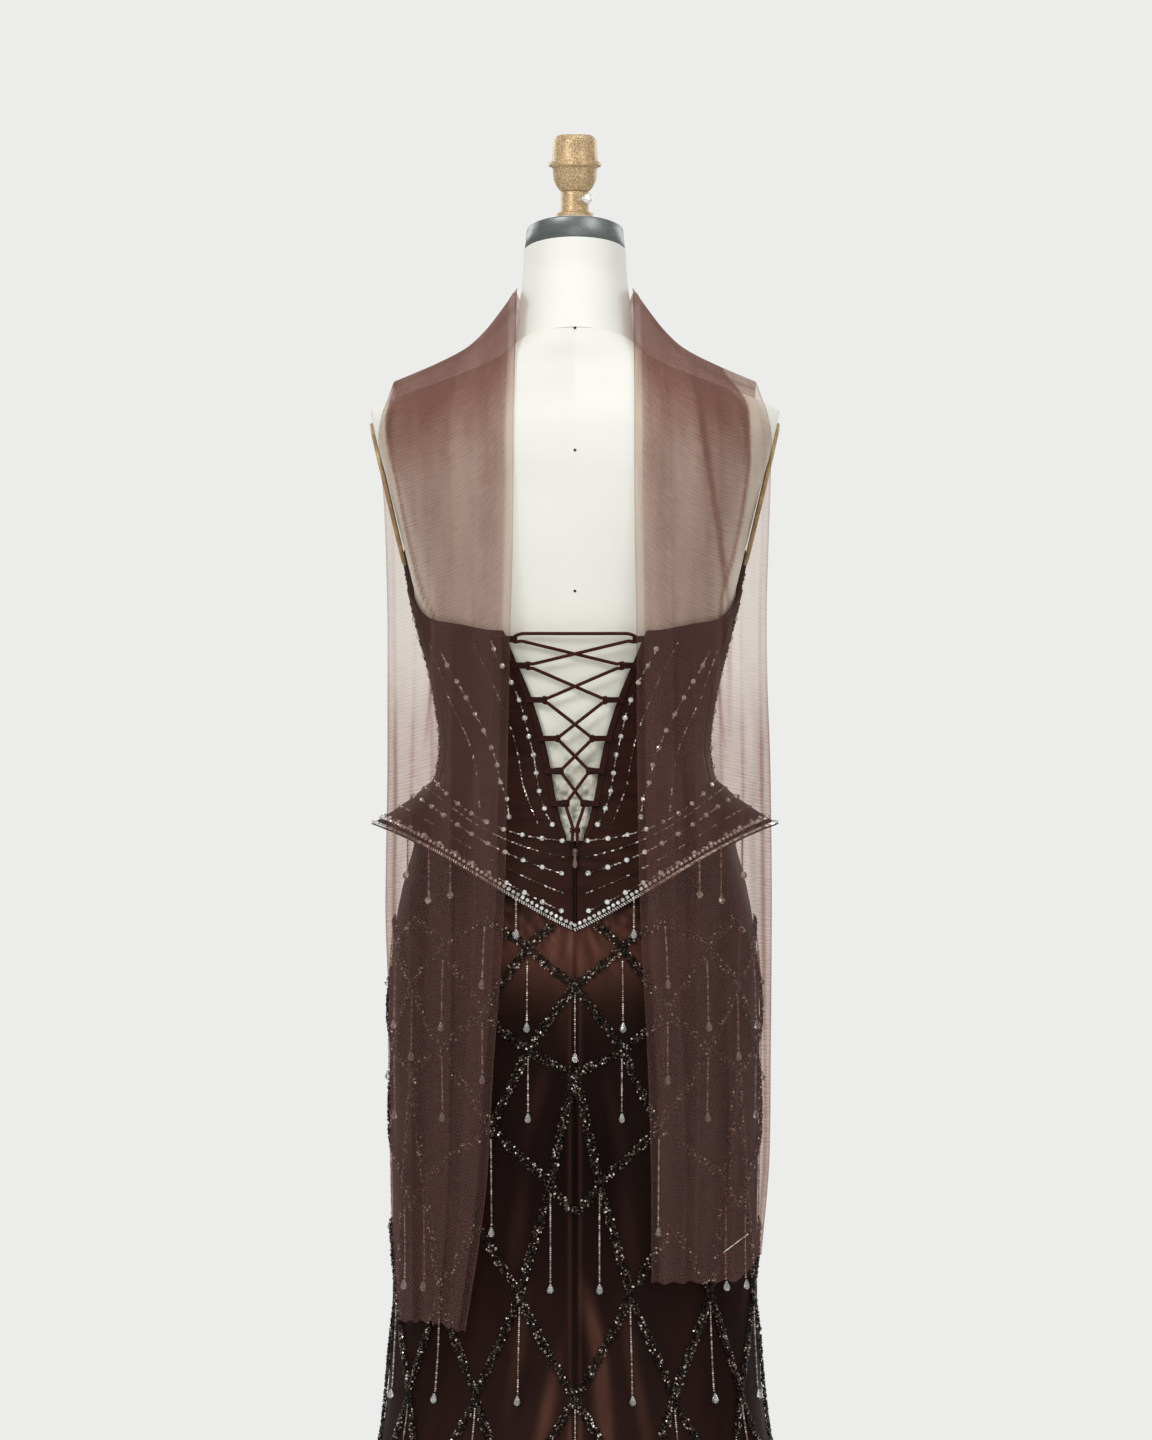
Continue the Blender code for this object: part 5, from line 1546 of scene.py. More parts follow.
@dataclass
class DressForm:
    """The limbless form: torso, neck, band and cap, knob with its clamp screw, arm plates and stand."""

    bottom_z: float = 0.770
    columns: int = 144
    rows: int = 110
    hip_inset: float = 0.0022
    worn_inset: float = 0.0018
    band: tuple[float, float, float, float] = (1.5360, 0.0200, 0.0480, 0.25)
    neck_z: Pair = (1.4486, 1.5357)
    cap_rise: float = 0.0085
    screw_z: float = 1.5730
    screw_azimuth: float = 25.0
    plate: tuple[float, float, float, float] = (0.070, 0.040, 0.0040, 1.292)
    pin_heights: Colour = (1.4475, 1.3310, 1.1980)
    pin_radius: float = 0.0013
    neck: Table = field(default_factory=lambda: Table(
        "z half centre tilt", (1.4486, 0.0605, -0.0200, 0.42), (1.4640, 0.0568, -0.0160, 0.36),
        (1.4870, 0.0530, -0.0090, 0.29), (1.5100, 0.0500, -0.0030, 0.26), (1.5357, 0.0485, 0.0000, 0.25)))

    # Turned parts: node, finish, slot, broken edge and (radius, height) profile
    turned = (
        ("finial", GOLD, "aged_gold", 0.0008, (
            (0.0000, 1.6350), (0.0150, 1.6350), (0.0190, 1.6325), (0.0206, 1.6290), (0.0216, 1.6140),
            (0.0222, 1.6095), (0.0252, 1.6085), (0.0252, 1.6050), (0.0214, 1.6036), (0.0204, 1.5930),
            (0.0178, 1.5865), (0.0140, 1.5813), (0.0000, 1.5813))),
        ("finial_collar", GOLD, "aged_gold", 0.0006, (
            (0.0000, 1.5810), (0.0134, 1.5810), (0.0134, 1.5612), (0.0176, 1.5605), (0.0176, 1.5565),
            (0.0, 1.5565))),
        ("stand_pole", LACQUER, "dark_steel", 0.0005, (
            (0, 0.7397), (0.0125, 0.7397), (0.0125, 0.0483), (0, 0.0483))),
        ("stand_flange", LACQUER, "dark_steel", 0.0010, (
            (0, 0.7697), (0.0550, 0.7697), (0.0550, 0.7640), (0.0250, 0.7560), (0.0180, 0.7400), (0, 0.7400))),
        ("stand_base", LACQUER, "dark_steel", 0.0015, (
            (0, 0.0480), (0.0200, 0.0480), (0.0300, 0.0420), (0.0420, 0.0220), (0.1700, 0.0140),
            (0.1950, 0.0100), (0.2000, 0.0060), (0.2000, 0), (0, 0))),
    )
    screw = ((0, -0.0070), (0.0025, -0.0070), (0.0025, 0.0100), (0.0036, 0.0112), (0.0046, 0.0128),
             (0.0048, 0.0145), (0.0046, 0.0162), (0.0036, 0.0178), (0.0020, 0.0190), (0, 0.0192))

    def build(self) -> None:
        """Build the whole form and its stand."""
        self._torso()
        self._neck()
        self._plates()
        self._turned_parts()
        self._pins()

    def _inset(self, z: float) -> float:
        """Return how far the form lies inside the shape that the cloth follows."""
        return self.hip_inset * smooth((0.960 - z) / 0.060) + self.worn_inset * smooth((1.330 - z) / 0.040)

    def _torso(self) -> None:
        """Build the jersey-covered torso, closed at the hip and at the neck seam."""
        turns = [TAU * i / self.columns for i in range(self.columns)]
        grid = []
        for r in range(self.rows + 1):
            z = mix(self.bottom_z, Figure.neck_seam_z, 1 - (1 - r / self.rows) ** 1.25)
            grid.append([Figure.point(turn, z, -self._inset(z)) for turn in turns])
        self._closed("form_torso", grid)

    def _closed(self, node: str, grid: Grid, finish: Finish = JERSEY, slot: str = "ivory_jersey") -> None:
        """Build a solid from rings, with flat ends whose edges are broken, and let it stand for its node.

        Args:
            node: The node that the solid stands for.
            grid: The rings of points.
            finish: The finish.
            slot: The name of its material slot.
        """
        ends = []
        for ring in (grid[0], grid[-1]):
            middle = sum(ring, Vector()) / len(ring)
            ends.append([[middle.lerp(point, share) for point in ring] for share in (0.02, 0.5, 0.97, 0.993)])
        rings = [ring + ring[:1] for ring in ends[0] + grid + ends[1][::-1]]
        uvs, travelled = [], 0.0
        for r, row in enumerate(rings):
            travelled += (row[0] - rings[r - 1][0]).length if r else 0.0
            along = 0.0
            for i, point in enumerate(row):
                along += (point - row[i - 1]).length if i else 0.0
                uvs.append((along, travelled))
        Piece.add(node + "_dressed", Shapes.skin(node + "_dressed", rings, uvs, 45.0), finish, slot,
                  replaces=[node])

    def _tipped(self, back_z: float, half: float, centre: float, tilt: float, reach: float) -> list[Vector]:
        """Return a round section that is highest at the back, at this reach.

        Args:
            back_z: Height at the back.
            half: Half its width.
            centre: The middle's y.
            tilt: How steeply it falls to the front.
            reach: How far behind the centre line it is that high.

        Returns:
            The ring of points.
        """
        turns = [TAU * i / 96 for i in range(96)]
        ring = [(half * math.sin(turn), -half * math.cos(turn)) for turn in turns]
        return [Vector((x, y + centre, back_z - tilt * (y + reach))) for x, y in ring]

    def _neck(self) -> None:
        """Build the neck, its steel band and the domed cap inside it."""
        grid = []
        for z in even(*self.neck_z, 24):
            half, centre, tilt = (self.neck.at(name, z) for name in ("half", "centre", "tilt"))
            grid.append(self._tipped(z, half, centre, tilt, half))
        self._closed("form_neck", grid)
        low, high, half, tilt = self.band
        self._closed("neck_band", [self._tipped(low + rise, half - inset, 0, tilt, half) for rise, inset in (
            (0, 0.0004), (0.0005, 0), (high - 0.0008, 0.0018), (high, 0.0026))], STEEL, "brushed_steel")
        crown = []
        for share in (1.0, 0.97, 0.90, 0.78, 0.62, 0.44, 0.25, 0.10):
            top = low + high + LAYERS.gap + self.cap_rise * (1 - share * share)
            crown.append(self._tipped(top, (half - 0.004) * share, 0, tilt, half - 0.002))
        self._closed("neck_cap", crown)

    def _plates(self) -> None:
        """Build the lacquered oval plates on the flats where the arms would begin."""
        high, deep, thick, middle = self.plate
        lean = math.atan(Figure.arm_flat[2])
        for side in Side:
            rings = []
            for lift, share in ((LAYERS.gap, 0.99), (thick * 0.2, 1.0), (thick * 0.6, 1.0),
                                (thick * 0.9, 0.985), (thick, 0.95)):
                ring = []
                for across, along in circle(96, deep * share, high * share):
                    x = Figure.arm_limit(middle) + along * math.sin(lean) + lift * math.cos(lean)
                    z = middle + along * math.cos(lean) - lift * math.sin(lean)
                    ring.append(Vector((side.value * x, across, z)))
                rings.append(ring)
            self._closed("arm_plate_" + side.word, rings, OCHRE, "ochre_plate")

    def _turned_parts(self) -> None:
        """Build the knob, collar, pole, flange and base, and the clamp screw."""
        for node, finish, slot, edge, profile in self.turned:
            mesh = Shapes.turned(node + "_dressed", Shapes.rounded(profile, edge, 3), 96)
            Piece.add(node + "_dressed", mesh, finish, slot, replaces=[node])
        azimuth = math.radians(self.screw_azimuth)
        way = Vector((math.sin(azimuth), -math.cos(azimuth), 0))
        place = facing(way * 0.0134 + Vector((0, 0, self.screw_z)), way)
        mesh = Shapes.turned("clamp_screw_dressed", Shapes.rounded(self.screw, 0.0003), 48, place, 50.0)
        Piece.add("clamp_screw_dressed", mesh, BRIGHT, "bright_steel", Body.SCREW, ["clamp_screw"])

    def _pins(self) -> None:
        """Build the three pin heads down the centre back."""
        shape = bmesh.new()
        for z in self.pin_heights:
            point, away, _ = Figure.place(0.0, z, -self._inset(z) + 0.0004)
            bmesh.ops.create_uvsphere(shape, u_segments=16, v_segments=10, radius=self.pin_radius,
                                      matrix=facing(point, away) @ Matrix.Diagonal((1, 1, 0.7, 1)))
        mesh = Piece.of("form_pins", shape)
        mesh.shade_smooth()
        Piece.add("form_pins", mesh, ZIP_METAL, "bright_steel")


# ---------------------------------------------------------------- satin
@dataclass
class Crease:
    """One soft trough or ridge in the cloth: middle, lie, reach and height."""

    azimuth: float
    z: float
    slant: float
    length: float
    width: float
    depth: float

    def at(self, azimuth: float, z: float, radius: float) -> float:
        """Return how far it moves the cloth out at a place.

        Args:
            azimuth: Direction in radians.
            z: Height.
            radius: The figure's radius at that height.

        Returns:
            The distance.
        """
        turn = (math.degrees(azimuth) - self.azimuth + 180) % 360 - 180
        across, up = math.radians(turn) * radius, z - self.z
        if abs(across) + abs(up) > 3 * self.length:
            return 0.0
        sine, cosine = math.sin(math.radians(self.slant)), math.cos(math.radians(self.slant))
        along = up * cosine + across * sine
        aside = across * cosine - up * sine
        return self.depth * bell(along, self.length) * bell(aside, self.width)


class Relief:
    """The fine relief of the satin: creases laid one by one near the centre back, and similar ones elsewhere.
    """

    # Seams: depth and width of the dip, height of the puckers with their distance from it, and their two paces
    dip = (0.0009, 0.0014)
    puckers = (0.00028, 0.004)
    pucker_paces = (520, 190)
    # Gathers: depth, the height that they fan from, the figure's radius there, how far they reach, the distance
    # and width of their strongest ring, and their share of the depth
    gather_depth = 0.0008
    gather_top, gather_radius, gather_reach = 0.905, 0.125, 0.12
    gather_ring = (0.036, 0.026)
    gather_share = 0.62
    # Creases drawn at random down the skirt: how many, where their azimuth, height, slant, length and width may
    # lie, the height that they deepen from and over what drop, and their depth above and below it
    skirt_creases = 34
    skirt_spans = ((24, 336), (0.16, 0.90), (-16, 16), (0.04, 0.10), (0.006, 0.012))
    deep_from, deep_over = 0.62, 0.4
    skirt_depths = (0.0007, 0.0018)
    # Creases drawn across the waist: how many, and where each measure may lie, the depth inwards
    waist_creases = 22
    waist_spots = ((35, 325), (1.00, 1.10))
    waist_slant = (60, 85)
    waist_sizes = ((0.015, 0.035), (0.004, 0.006), (0.0003, 0.0006))
    seed = 11
    # Azimuth, height, slant, length, width and depth
    laid = (
        (-3, 0.800, -6, 0.060, 0.006, 0.0007), (5, 0.790, 9, 0.070, 0.007, -0.0006),
        (-10, 0.720, 14, 0.050, 0.008, 0.0008), (11, 0.700, -12, 0.055, 0.008, 0.0007),
        (0, 0.640, 4, 0.060, 0.006, -0.0008), (-16, 0.600, 8, 0.060, 0.009, 0.0009),
        (15, 0.590, -7, 0.070, 0.010, 0.0008), (5, 0.495, -9, 0.045, 0.0055, 0.0030),
        (-7, 0.425, 9, 0.060, 0.0060, 0.0026), (7, 0.425, -4, 0.060, 0.0065, 0.0034),
        (-16, 0.470, 7, 0.060, 0.0070, 0.0016), (17, 0.450, -8, 0.070, 0.0070, 0.0018),
        (-1, 0.360, 3, 0.060, 0.0065, 0.0024))

    def __init__(self) -> None:
        """Lay the creases."""
        draw = random.Random(self.seed)
        rows = list(self.laid)
        for _ in range(self.skirt_creases):
            azimuth, z, slant, length, width = (draw.uniform(*span) for span in self.skirt_spans)
            depth = mix(*self.skirt_depths, smooth((self.deep_from - z) / self.deep_over))
            rows.append((azimuth, z, slant, length, width, draw.choice((-1, 1)) * depth))
        for _ in range(self.waist_creases):
            azimuth, z = (draw.uniform(*span) for span in self.waist_spots)
            slant = draw.choice((-1, 1)) * draw.uniform(*self.waist_slant)
            length, width, depth = (draw.uniform(*span) for span in self.waist_sizes)
            rows.append((azimuth, z, slant, length, width, -depth))
        self.creases = [Crease(*row) for row in rows]

    def at(self, azimuth: float, z: float) -> float:
        """Return the relief of the satin at a place.

        Args:
            azimuth: Direction in radians.
            z: Height.

        Returns:
            The distance out, or in where it is less than 0.
        """
        radius = Figure.radius(z)
        total = sum(crease.at(azimuth, z, radius) for crease in self.creases if abs(z - crease.z) < 0.3)
        return total + self.gathers(azimuth, z) if z < 0.93 else total

    @classmethod
    def gathers(cls, azimuth: float, z: float) -> float:
        """Return the small gathers that fan out below the basque's point.

        Args:
            azimuth: Direction in radians.
            z: Height.

        Returns:
            The distance out, or in where it is less than 0.
        """
        turn = turn_between(0, azimuth)
        across, down = turn * cls.gather_radius, cls.gather_top - z
        far = math.hypot(across, down)
        if far > cls.gather_reach or abs(turn) > 1:
            return 0.0
        fan = math.atan2(across, max(down, 0.004))
        ripple = math.sin(fan * 23 + 2.5 * math.sin(far * 50)) + 0.6 * math.sin(fan * 41 + far * 90)
        strongest, width = cls.gather_ring
        return cls.gather_depth * cls.gather_share * ripple * bell(far - strongest, width)

    @classmethod
    def seam(cls, distance: float, travelled: float) -> float:
        """Return the dip and the small puckers beside a seam.

        Args:
            distance: How far the place is from the seam.
            travelled: How far along the seam it is.

        Returns:
            The relief, never outwards by more than a third of a millimetre.
        """
        (depth, width), (height, beside), (fast, slow) = cls.dip, cls.puckers, cls.pucker_paces
        swing = math.sin(travelled * fast) * math.sin(travelled * slow + 1)
        return -depth * bell(distance, width) + height * swing * bell(distance - beside, beside)


@dataclass
class Skirt:
    """The trumpet skirt's three panels."""

    relief: Relief
    rows: int = 130
    # Node, azimuths of the two seams in degrees and steps between them
    panels: tuple = (("skirt_back_right", 0, 90, 74), ("skirt_back_left", -90, 0, 74),
                     ("skirt_front", 90, 270, 112))
    bunch: float = 0.09
    top_drop: float = 0.020
    hem_clear: float = 0.0005
    hem_stitch: float = 0.018
    stitch: Pair = (0.0006, 0.0012)
    # Painted highlight on folds: relief where it starts, relief for a whole fold, and the most that relief
    # counts
    folded: Triple = (0.0003, 0.0050, 0.5)
    gathered: float = 0.45
    # Painted shade on a seam, how dark and how wide; a painted highlight beside it, how light, how far off, how
    # wide
    seam_dark: Pair = (0.50, 0.0010)
    seam_light: Triple = (0.25, 0.0030, 0.0012)

    def build(self) -> None:
        """Build each panel as a wall with its seams turned in and its folds."""
        for name, start, end, columns in self.panels:
            first, last = math.radians(start), math.radians(end)
            turns = [mix(first, last, i / columns - self.bunch * math.sin(TAU * i / columns))
                     for i in range(columns + 1)]
            folds: Values = [[] for _ in range(self.rows + 1)]

            def spot(r: int, c: int) -> Sequence[float]:
                """Return one place of the panel, and note its painted light and shade from folds, gathers and
                seams.

                Args:
                    r: The row.
                    c: The column.

                Returns:
                    The azimuth, the height and the two layers.
                """
                azimuth = turns[c]
                z = mix(Figure.seam_z(azimuth) - self.top_drop, Figure.hem_z + self.hem_clear, r / self.rows)
                beside = min(azimuth - first, last - azimuth) * Figure.radius(z)
                raised = self.relief.at(azimuth, z)
                gathered = Relief.gathers(azimuth, z) / Relief.gather_depth
                least, whole, most = self.folded
                dark, dark_width = self.seam_dark
                light, off, light_width = self.seam_light
                # Painted light and shade from the relief, the gathers and the seam
                folds[r].append(min(max(raised - least, 0.0) / whole, most) + self.gathered * gathered
                                - dark * bell(beside, dark_width) + light * bell(beside - off, light_width))
                extra = Relief.seam(beside, z) + raised
                extra -= self.stitch[0] * bell(z - Figure.hem_z - self.hem_stitch, self.stitch[1])
                return azimuth, z, LAYERS.cloth_in + extra, LAYERS.cloth_out + extra

            skins = Cloth.skins(self.rows, columns, spot)
            Cloth.sew(name, "satin", skins, SHADED_SKIRT_SATIN, "brown_satin", Hold.HUNG, marks={"fold": folds})


@dataclass
class Bodice:
    """The strapless bodice: five panels, and the binding along the laced opening."""

    relief: Relief
    rows: int = 56
    side_back: float = 72.0
    side_front: float = 112.0
    back_columns: int = 44
    binding_width: float = 0.006
    binding_rise: float = 0.0011
    deepest: float = -0.0014

    def build(self) -> None:
        """Build the panels and bindings."""
        for name, start, end, columns in (
            ("bodice_side_right", self.side_back, self.side_front, 26),
            ("bodice_side_left", -self.side_front, -self.side_back, 26),
            ("bodice_front", self.side_front, 360 - self.side_front, 90),
        ):
            first, last = math.radians(start), math.radians(end)
            first += Figure.turn_for(LAYERS.gap / 2, first, 1.0)
            last -= Figure.turn_for(LAYERS.gap / 2, last, 1.0)
            self._panel(name, [even(first, last, columns)] * (self.rows + 1), 1, True)
        for side in Side:
            self._panel("bodice_back_" + side.word, self._back_azimuths(), side.value, False)
            self._binding(side)

    def height(self, azimuth: float, share: float) -> float:
        """Return the height at a share of the way from the top edge to the waist seam."""
        return mix(Figure.top_z(azimuth), Figure.seam_z(azimuth) + 2 * LAYERS.gap, share)

    def edge(self, share: float) -> Pair:
        """Return the opening's (azimuth, height) at a share of the way down."""
        z = self.height(0, share)
        return Figure.azimuth_at(Figure.opening.at("half", z), z), z

    def _back_azimuths(self) -> Values:
        """Return each row's azimuths from the opening to the side-back seam.

        Returns:
            The rows, from the top edge to the waist.
        """
        rows = []
        for r in range(self.rows + 1):
            start, z = self.edge(r / self.rows)
            seam = math.radians(self.side_back)
            seam -= Figure.turn_for(LAYERS.gap / 2, seam, z)
            rows.append([mix(start, seam, (i / self.back_columns) ** 1.1)
                         for i in range(self.back_columns + 1)])
        return rows

    def _panel(self, name: str, azimuths: Values, side: int, both_seams: bool) -> None:
        """Build one panel from its rows of azimuths.

        Args:
            name: The piece's name.
            azimuths: Each row's azimuths, from one edge to the other.
            side: 1 on the +X side, -1 on the other.
            both_seams: True if both edges are seams.
        """
        def spot(r: int, c: int) -> Sequence[float]:
            """Return one place of the panel.

            Args:
                r: The row.
                c: The column.

            Returns:
                The azimuth, the height and the two layers.
            """
            row, azimuth = azimuths[r], azimuths[r][c]
            z = self.height(azimuth, r / self.rows)
            radius = Figure.radius(z)
            beside = (row[-1] - azimuth) * radius
            beside = min(beside, (azimuth - row[0]) * radius) if both_seams else beside
            edge = Figure.top_z(azimuth) - z
            extra = Relief.seam(beside, z) + self.relief.at(side * azimuth, z) * smooth(edge / 0.02)
            extra = max(extra - 0.0004 * bell(edge - 0.006, 0.0011), self.deepest)
            return side * azimuth, z, LAYERS.cloth_in + extra, LAYERS.cloth_out + extra

        skins = Cloth.skins(self.rows, len(azimuths[0]) - 1, spot)
        Cloth.sew(name, "satin", skins, SATIN, "brown_satin", Hold.STRETCHED)

    def _binding(self, side: Side) -> None:
        """Build the rounded strip that binds one edge of the opening.

        Args:
            side: The side.
        """
        def spot(r: int, c: int) -> Sequence[float]:
            """Return one place of the strip.

            Args:
                r: The row.
                c: The column.

            Returns:
                The azimuth, the height and the two layers.
            """
            start, z = self.edge(r / 100)
            azimuth = side.value * (start + Figure.turn_for(self.binding_width * (c / 6), start, z))
            crown = self.binding_rise * math.sqrt(max(1 - (2 * (c / 6) - 1) ** 2, 0))
            crown += 0.00012 * math.sin(z * 900)
            return azimuth, z, LAYERS.cloth_out + LAYERS.gap / 2, LAYERS.cloth_out + LAYERS.gap + crown

        name = "binding_" + side.word
        mesh = Cloth.wall(name, *Cloth.skins(100, 6, spot))
        Piece.add(name + "_satin", mesh, BINDING, "satin_binding", replaces=[name])


@dataclass
class Basque:
    """The pointed basque that stands off the hips, and its stiff double trim."""

    rows: int = 26
    chain_half: float = 0.0015
    # Distance above the edge, pitch, size and distance out of the trim's stones and its tubes
    stones: tuple = (0.0058, 0.0051, 0.0041, 0.0011)
    tubes: tuple = (0.0014, 0.0024, 0.0030, 0.0009)
    tube_lean: float = 0.5

    @staticmethod
    def _height(azimuth: float, share: float) -> float:
        """Return the height at a share of the way from the waist seam to the pointed edge."""
        return mix(Figure.seam_z(azimuth), Figure.basque_edge_z(azimuth), share)

    def place(self, azimuth: float, share: float, lift: float = 0.0) -> Place:
        """Return a point on the basque, the way out of it and the way along its edge.

        Args:
            azimuth: Direction in radians.
            share: 0 at the waist seam, 1 at the pointed edge.
            lift: Distance out from its outer face.

        Returns:
            The point and the two ways.
        """
        def point(turn: float, part: float) -> Vector:
            """Return a point on the basque's outer face."""
            layer = Figure.basque_lift(turn, max(part, 0.0), LAYERS.basque_out)
            return Figure.point(turn, self._height(turn, part), layer)

        turn, part = 0.012, 0.05
        across = (point(azimuth + turn, share) - point(azimuth - turn, share)).normalized()
        down = point(azimuth, share + part) - point(azimuth, share - part)
        away = down.cross(across).normalized()
        return point(azimuth, share) + away * lift, away, across

    def build(self) -> None:
        """Build the three panels, parted at the centre back by the zip's chain."""
        chain, hair = self.chain_half + LAYERS.gap, LAYERS.gap / 2
        for name, start, end, columns, trim in (
            ("basque_back_right", 0, 90, 46, (chain, hair)),
            ("basque_back_left", -90, 0, 46, (hair, chain)),
            ("basque_front", 90, 270, 84, (hair, hair)),
        ):
            first, last = math.radians(start), math.radians(end)
            first += Figure.turn_for(trim[0], first, 0.95)
            last -= Figure.turn_for(trim[1], last, 0.95)

            def spot(r: int, c: int) -> Sequence[float]:
                """Return one place of the panel.

                Args:
                    r: The row.
                    c: The column.

                Returns:
                    The azimuth, the height and the two layers.
                """
                azimuth, share = mix(first, last, c / columns), r / self.rows
                z = self._height(azimuth, share)
                extra = Relief.seam(min(azimuth - first, last - azimuth) * 0.14, z)
                extra -= 0.0005 * bell(share, 0.03)
                extra += 0.0002 * math.sin(azimuth * 31 + 3 * share) * smooth(share * 3)
                inner, outer = (Figure.basque_lift(azimuth, share, base) + extra
                                for base in (LAYERS.basque_in, LAYERS.basque_out))
                return azimuth, z, inner, outer

            skins = Cloth.skins(self.rows, columns, spot)
            Cloth.sew(name, "satin", skins, SATIN, "brown_satin", Hold.HUNG)

    def edge_spots(self, above: float, pitch: float, size: float, lift: float) -> list[Spot]:
        """Return spots evenly spaced along the pointed edge.

        Args:
            above: Distance up from the edge.
            pitch: Spacing along it.
            size: Size of each bead.
            lift: Distance out from the cloth.

        Returns:
            One spot a bead, all the way round.
        """
        spots, azimuth = [], 0.0
        while azimuth < TAU - 0.5 * pitch / 0.2:
            share = 1 - above / (Figure.seam_z(azimuth) - Figure.basque_edge_z(azimuth))
            point, away, across = self.place(azimuth, share, lift)
            spots.append(Spot(point, away, across, size))
            reach = (self.place(azimuth + Figure.step, share, lift)[0] - point).length
            azimuth += Figure.step * pitch / max(reach, 1e-5)
        return spots

    def trim(self, spreader: BeadSpreader) -> None:
        """Sew the upper row of stones and the lower row of upright tube beads.

        Args:
            spreader: What sets the beads.
        """
        spreader.spread("basque_trim_stones", self.edge_spots(*self.stones), TRIM_STONE, 3, ["basque_trim"])
        tubes = self.edge_spots(*self.tubes)
        for spot in tubes:
            spot.along = (spot.along.cross(spot.away) + spot.along * self.tube_lean).normalized()
        spreader.spread("basque_trim_tubes", tubes, TRIM_TUBE, 5)


# ---------------------------------------------------------------- zip
@dataclass
class Zip:
    """The closed zip down the basque's centre back, with its slider and hinged tab."""

    slider_z: float = 0.9500
    bottom_z: float = 0.8860
    tape_half: float = 0.0015
    tooth: float = 0.0011
    tooth_pitch: float = 0.0009
    body: Colour = (0.0050, 0.0080, 0.0024)
    pin: Pair = (0.0022, 0.0005)
    ear: Pair = (0.0013, 0.0008)
    tab: Colour = (0.0042, 0.0168, 0.0010)
    # Half outlines as shares of the size: the slider's from its foot up, the tab's from its waist down
    slider_outline = ((0.55, -0.5), (0.92, -0.22), (1, 0), (0.86, 0.36), (0.62, 0.5))
    tab_outline = ((0.30, 0.22), (0.45, 0.31), (0.60, 0.42), (0.76, 0.50), (0.88, 0.44), (0.96, 0.27),
                   (1, 0.04))

    def __post_init__(self) -> None:
        """Work out the frame at the slider: X across, Y out of the cloth, Z down along it."""
        down = (self._surface(self.slider_z - 0.012) - self._surface(self.slider_z + 0.004)).normalized()
        away = down.cross(Vector((1, 0, 0))).normalized()
        turn = Matrix((Vector((1, 0, 0)), away, down)).transposed().to_4x4()
        self.place = Matrix.Translation(self._surface(self.slider_z) + away * 0.0009) @ turn
        self.hinge = self.place @ Matrix.Translation((0, self.body[2] + self.pin[0], 0))

    @staticmethod
    def _surface(z: float, base: float = LAYERS.basque_out) -> Vector:
        """Return the point on the centre back of the basque at a height."""
        share = (Figure.waist_seam_z - z) / (Figure.waist_seam_z - Figure.basque_point_z)
        return Figure.point(0, z, Figure.basque_lift(0, share, base))

    def build(self, spreader: BeadSpreader) -> None:
        """Build the chain, its teeth, the slider and the tab.

        Args:
            spreader: What sets the beads.
        """
        skins = []
        for base, dip in ((LAYERS.basque_in, 0.0), (LAYERS.basque_out, 0.0007)):
            skins.append([[self._surface(z, base) + Vector((x, dip * (1 - abs(x) / self.tape_half), 0))
                           for x in (-self.tape_half, -0.0007, 0.0, 0.0007, self.tape_half)]
                          for z in even(Figure.waist_seam_z - LAYERS.gap, self.bottom_z, 60)])
        Piece.add("zip_tape", Cloth.wall("zip_tape", *skins), ZIP, "zip_chain", replaces=["zip_chain"])
        teeth, z = [], self.slider_z - 0.004
        while z > self.bottom_z + 0.001:
            for side in Side:
                point = self._surface(z - 0.00035 * side.value) + Vector((side.value * 0.00035, 0.0003, 0))
                teeth.append(Spot(point, Vector((0, -1, 0)), Vector((1, 0, 0)), self.tooth))
            z -= self.tooth_pitch
        spreader.spread("zip_teeth", teeth, TOOTH, 2)
        self._slider()
        self._tab()

    def _slider(self) -> None:
        """Build the slider with its two ears and pin."""
        wide, long, high = self.body
        half = wide / 2
        right = [(half * x, long * z) for x, z in self.slider_outline]
        outline = [(-right[0][0], right[0][1]), *right, *((-x, z) for x, z in right[:0:-1])]
        meshes = [Shapes.plate(outline, -0.0002, high, 0.0005)]
        lift, pin_radius = self.pin
        inside, thick = self.ear
        upright = Matrix.Rotation(math.pi / 2, 4, "Z") @ Matrix.Translation((0, -thick / 2, 0))
        for side in Side:
            ear = Shapes.plate([(z, x) for x, z in circle(16, 0.0014, 0.0011)], 0, thick, 0.0002)
            middle = Vector((side.value * (inside + thick / 2), high + lift, 0))
            ear.transform(Matrix.Translation(middle) @ upright)
            corners = [(thick / 2 * x, 0.0011 * z) for x, z in ((-1, -1), (1, -1), (1, 1), (-1, 1))]
            foot = Shapes.plate(corners, high - 0.0004, high + lift, 0.0001)
            foot.transform(Matrix.Translation((middle.x, 0, 0)))
            meshes += [ear, foot]
        reach = inside + thick * 1.15
        profile = Shapes.rounded([(0, -reach), (pin_radius, -reach), (pin_radius, reach), (0, reach)], 0.0002)
        place = Matrix.Translation((0, high + lift, 0)) @ Matrix.Rotation(math.pi / 2, 4, "Y")
        mesh = Shapes.joined("zip_slider_cast", [*meshes, Shapes.turned("pin", profile, 20, place)],
                             self.place)
        Piece.add("zip_slider_cast", mesh, TARNISHED, "silver_pull", replaces=["zip_slider"])

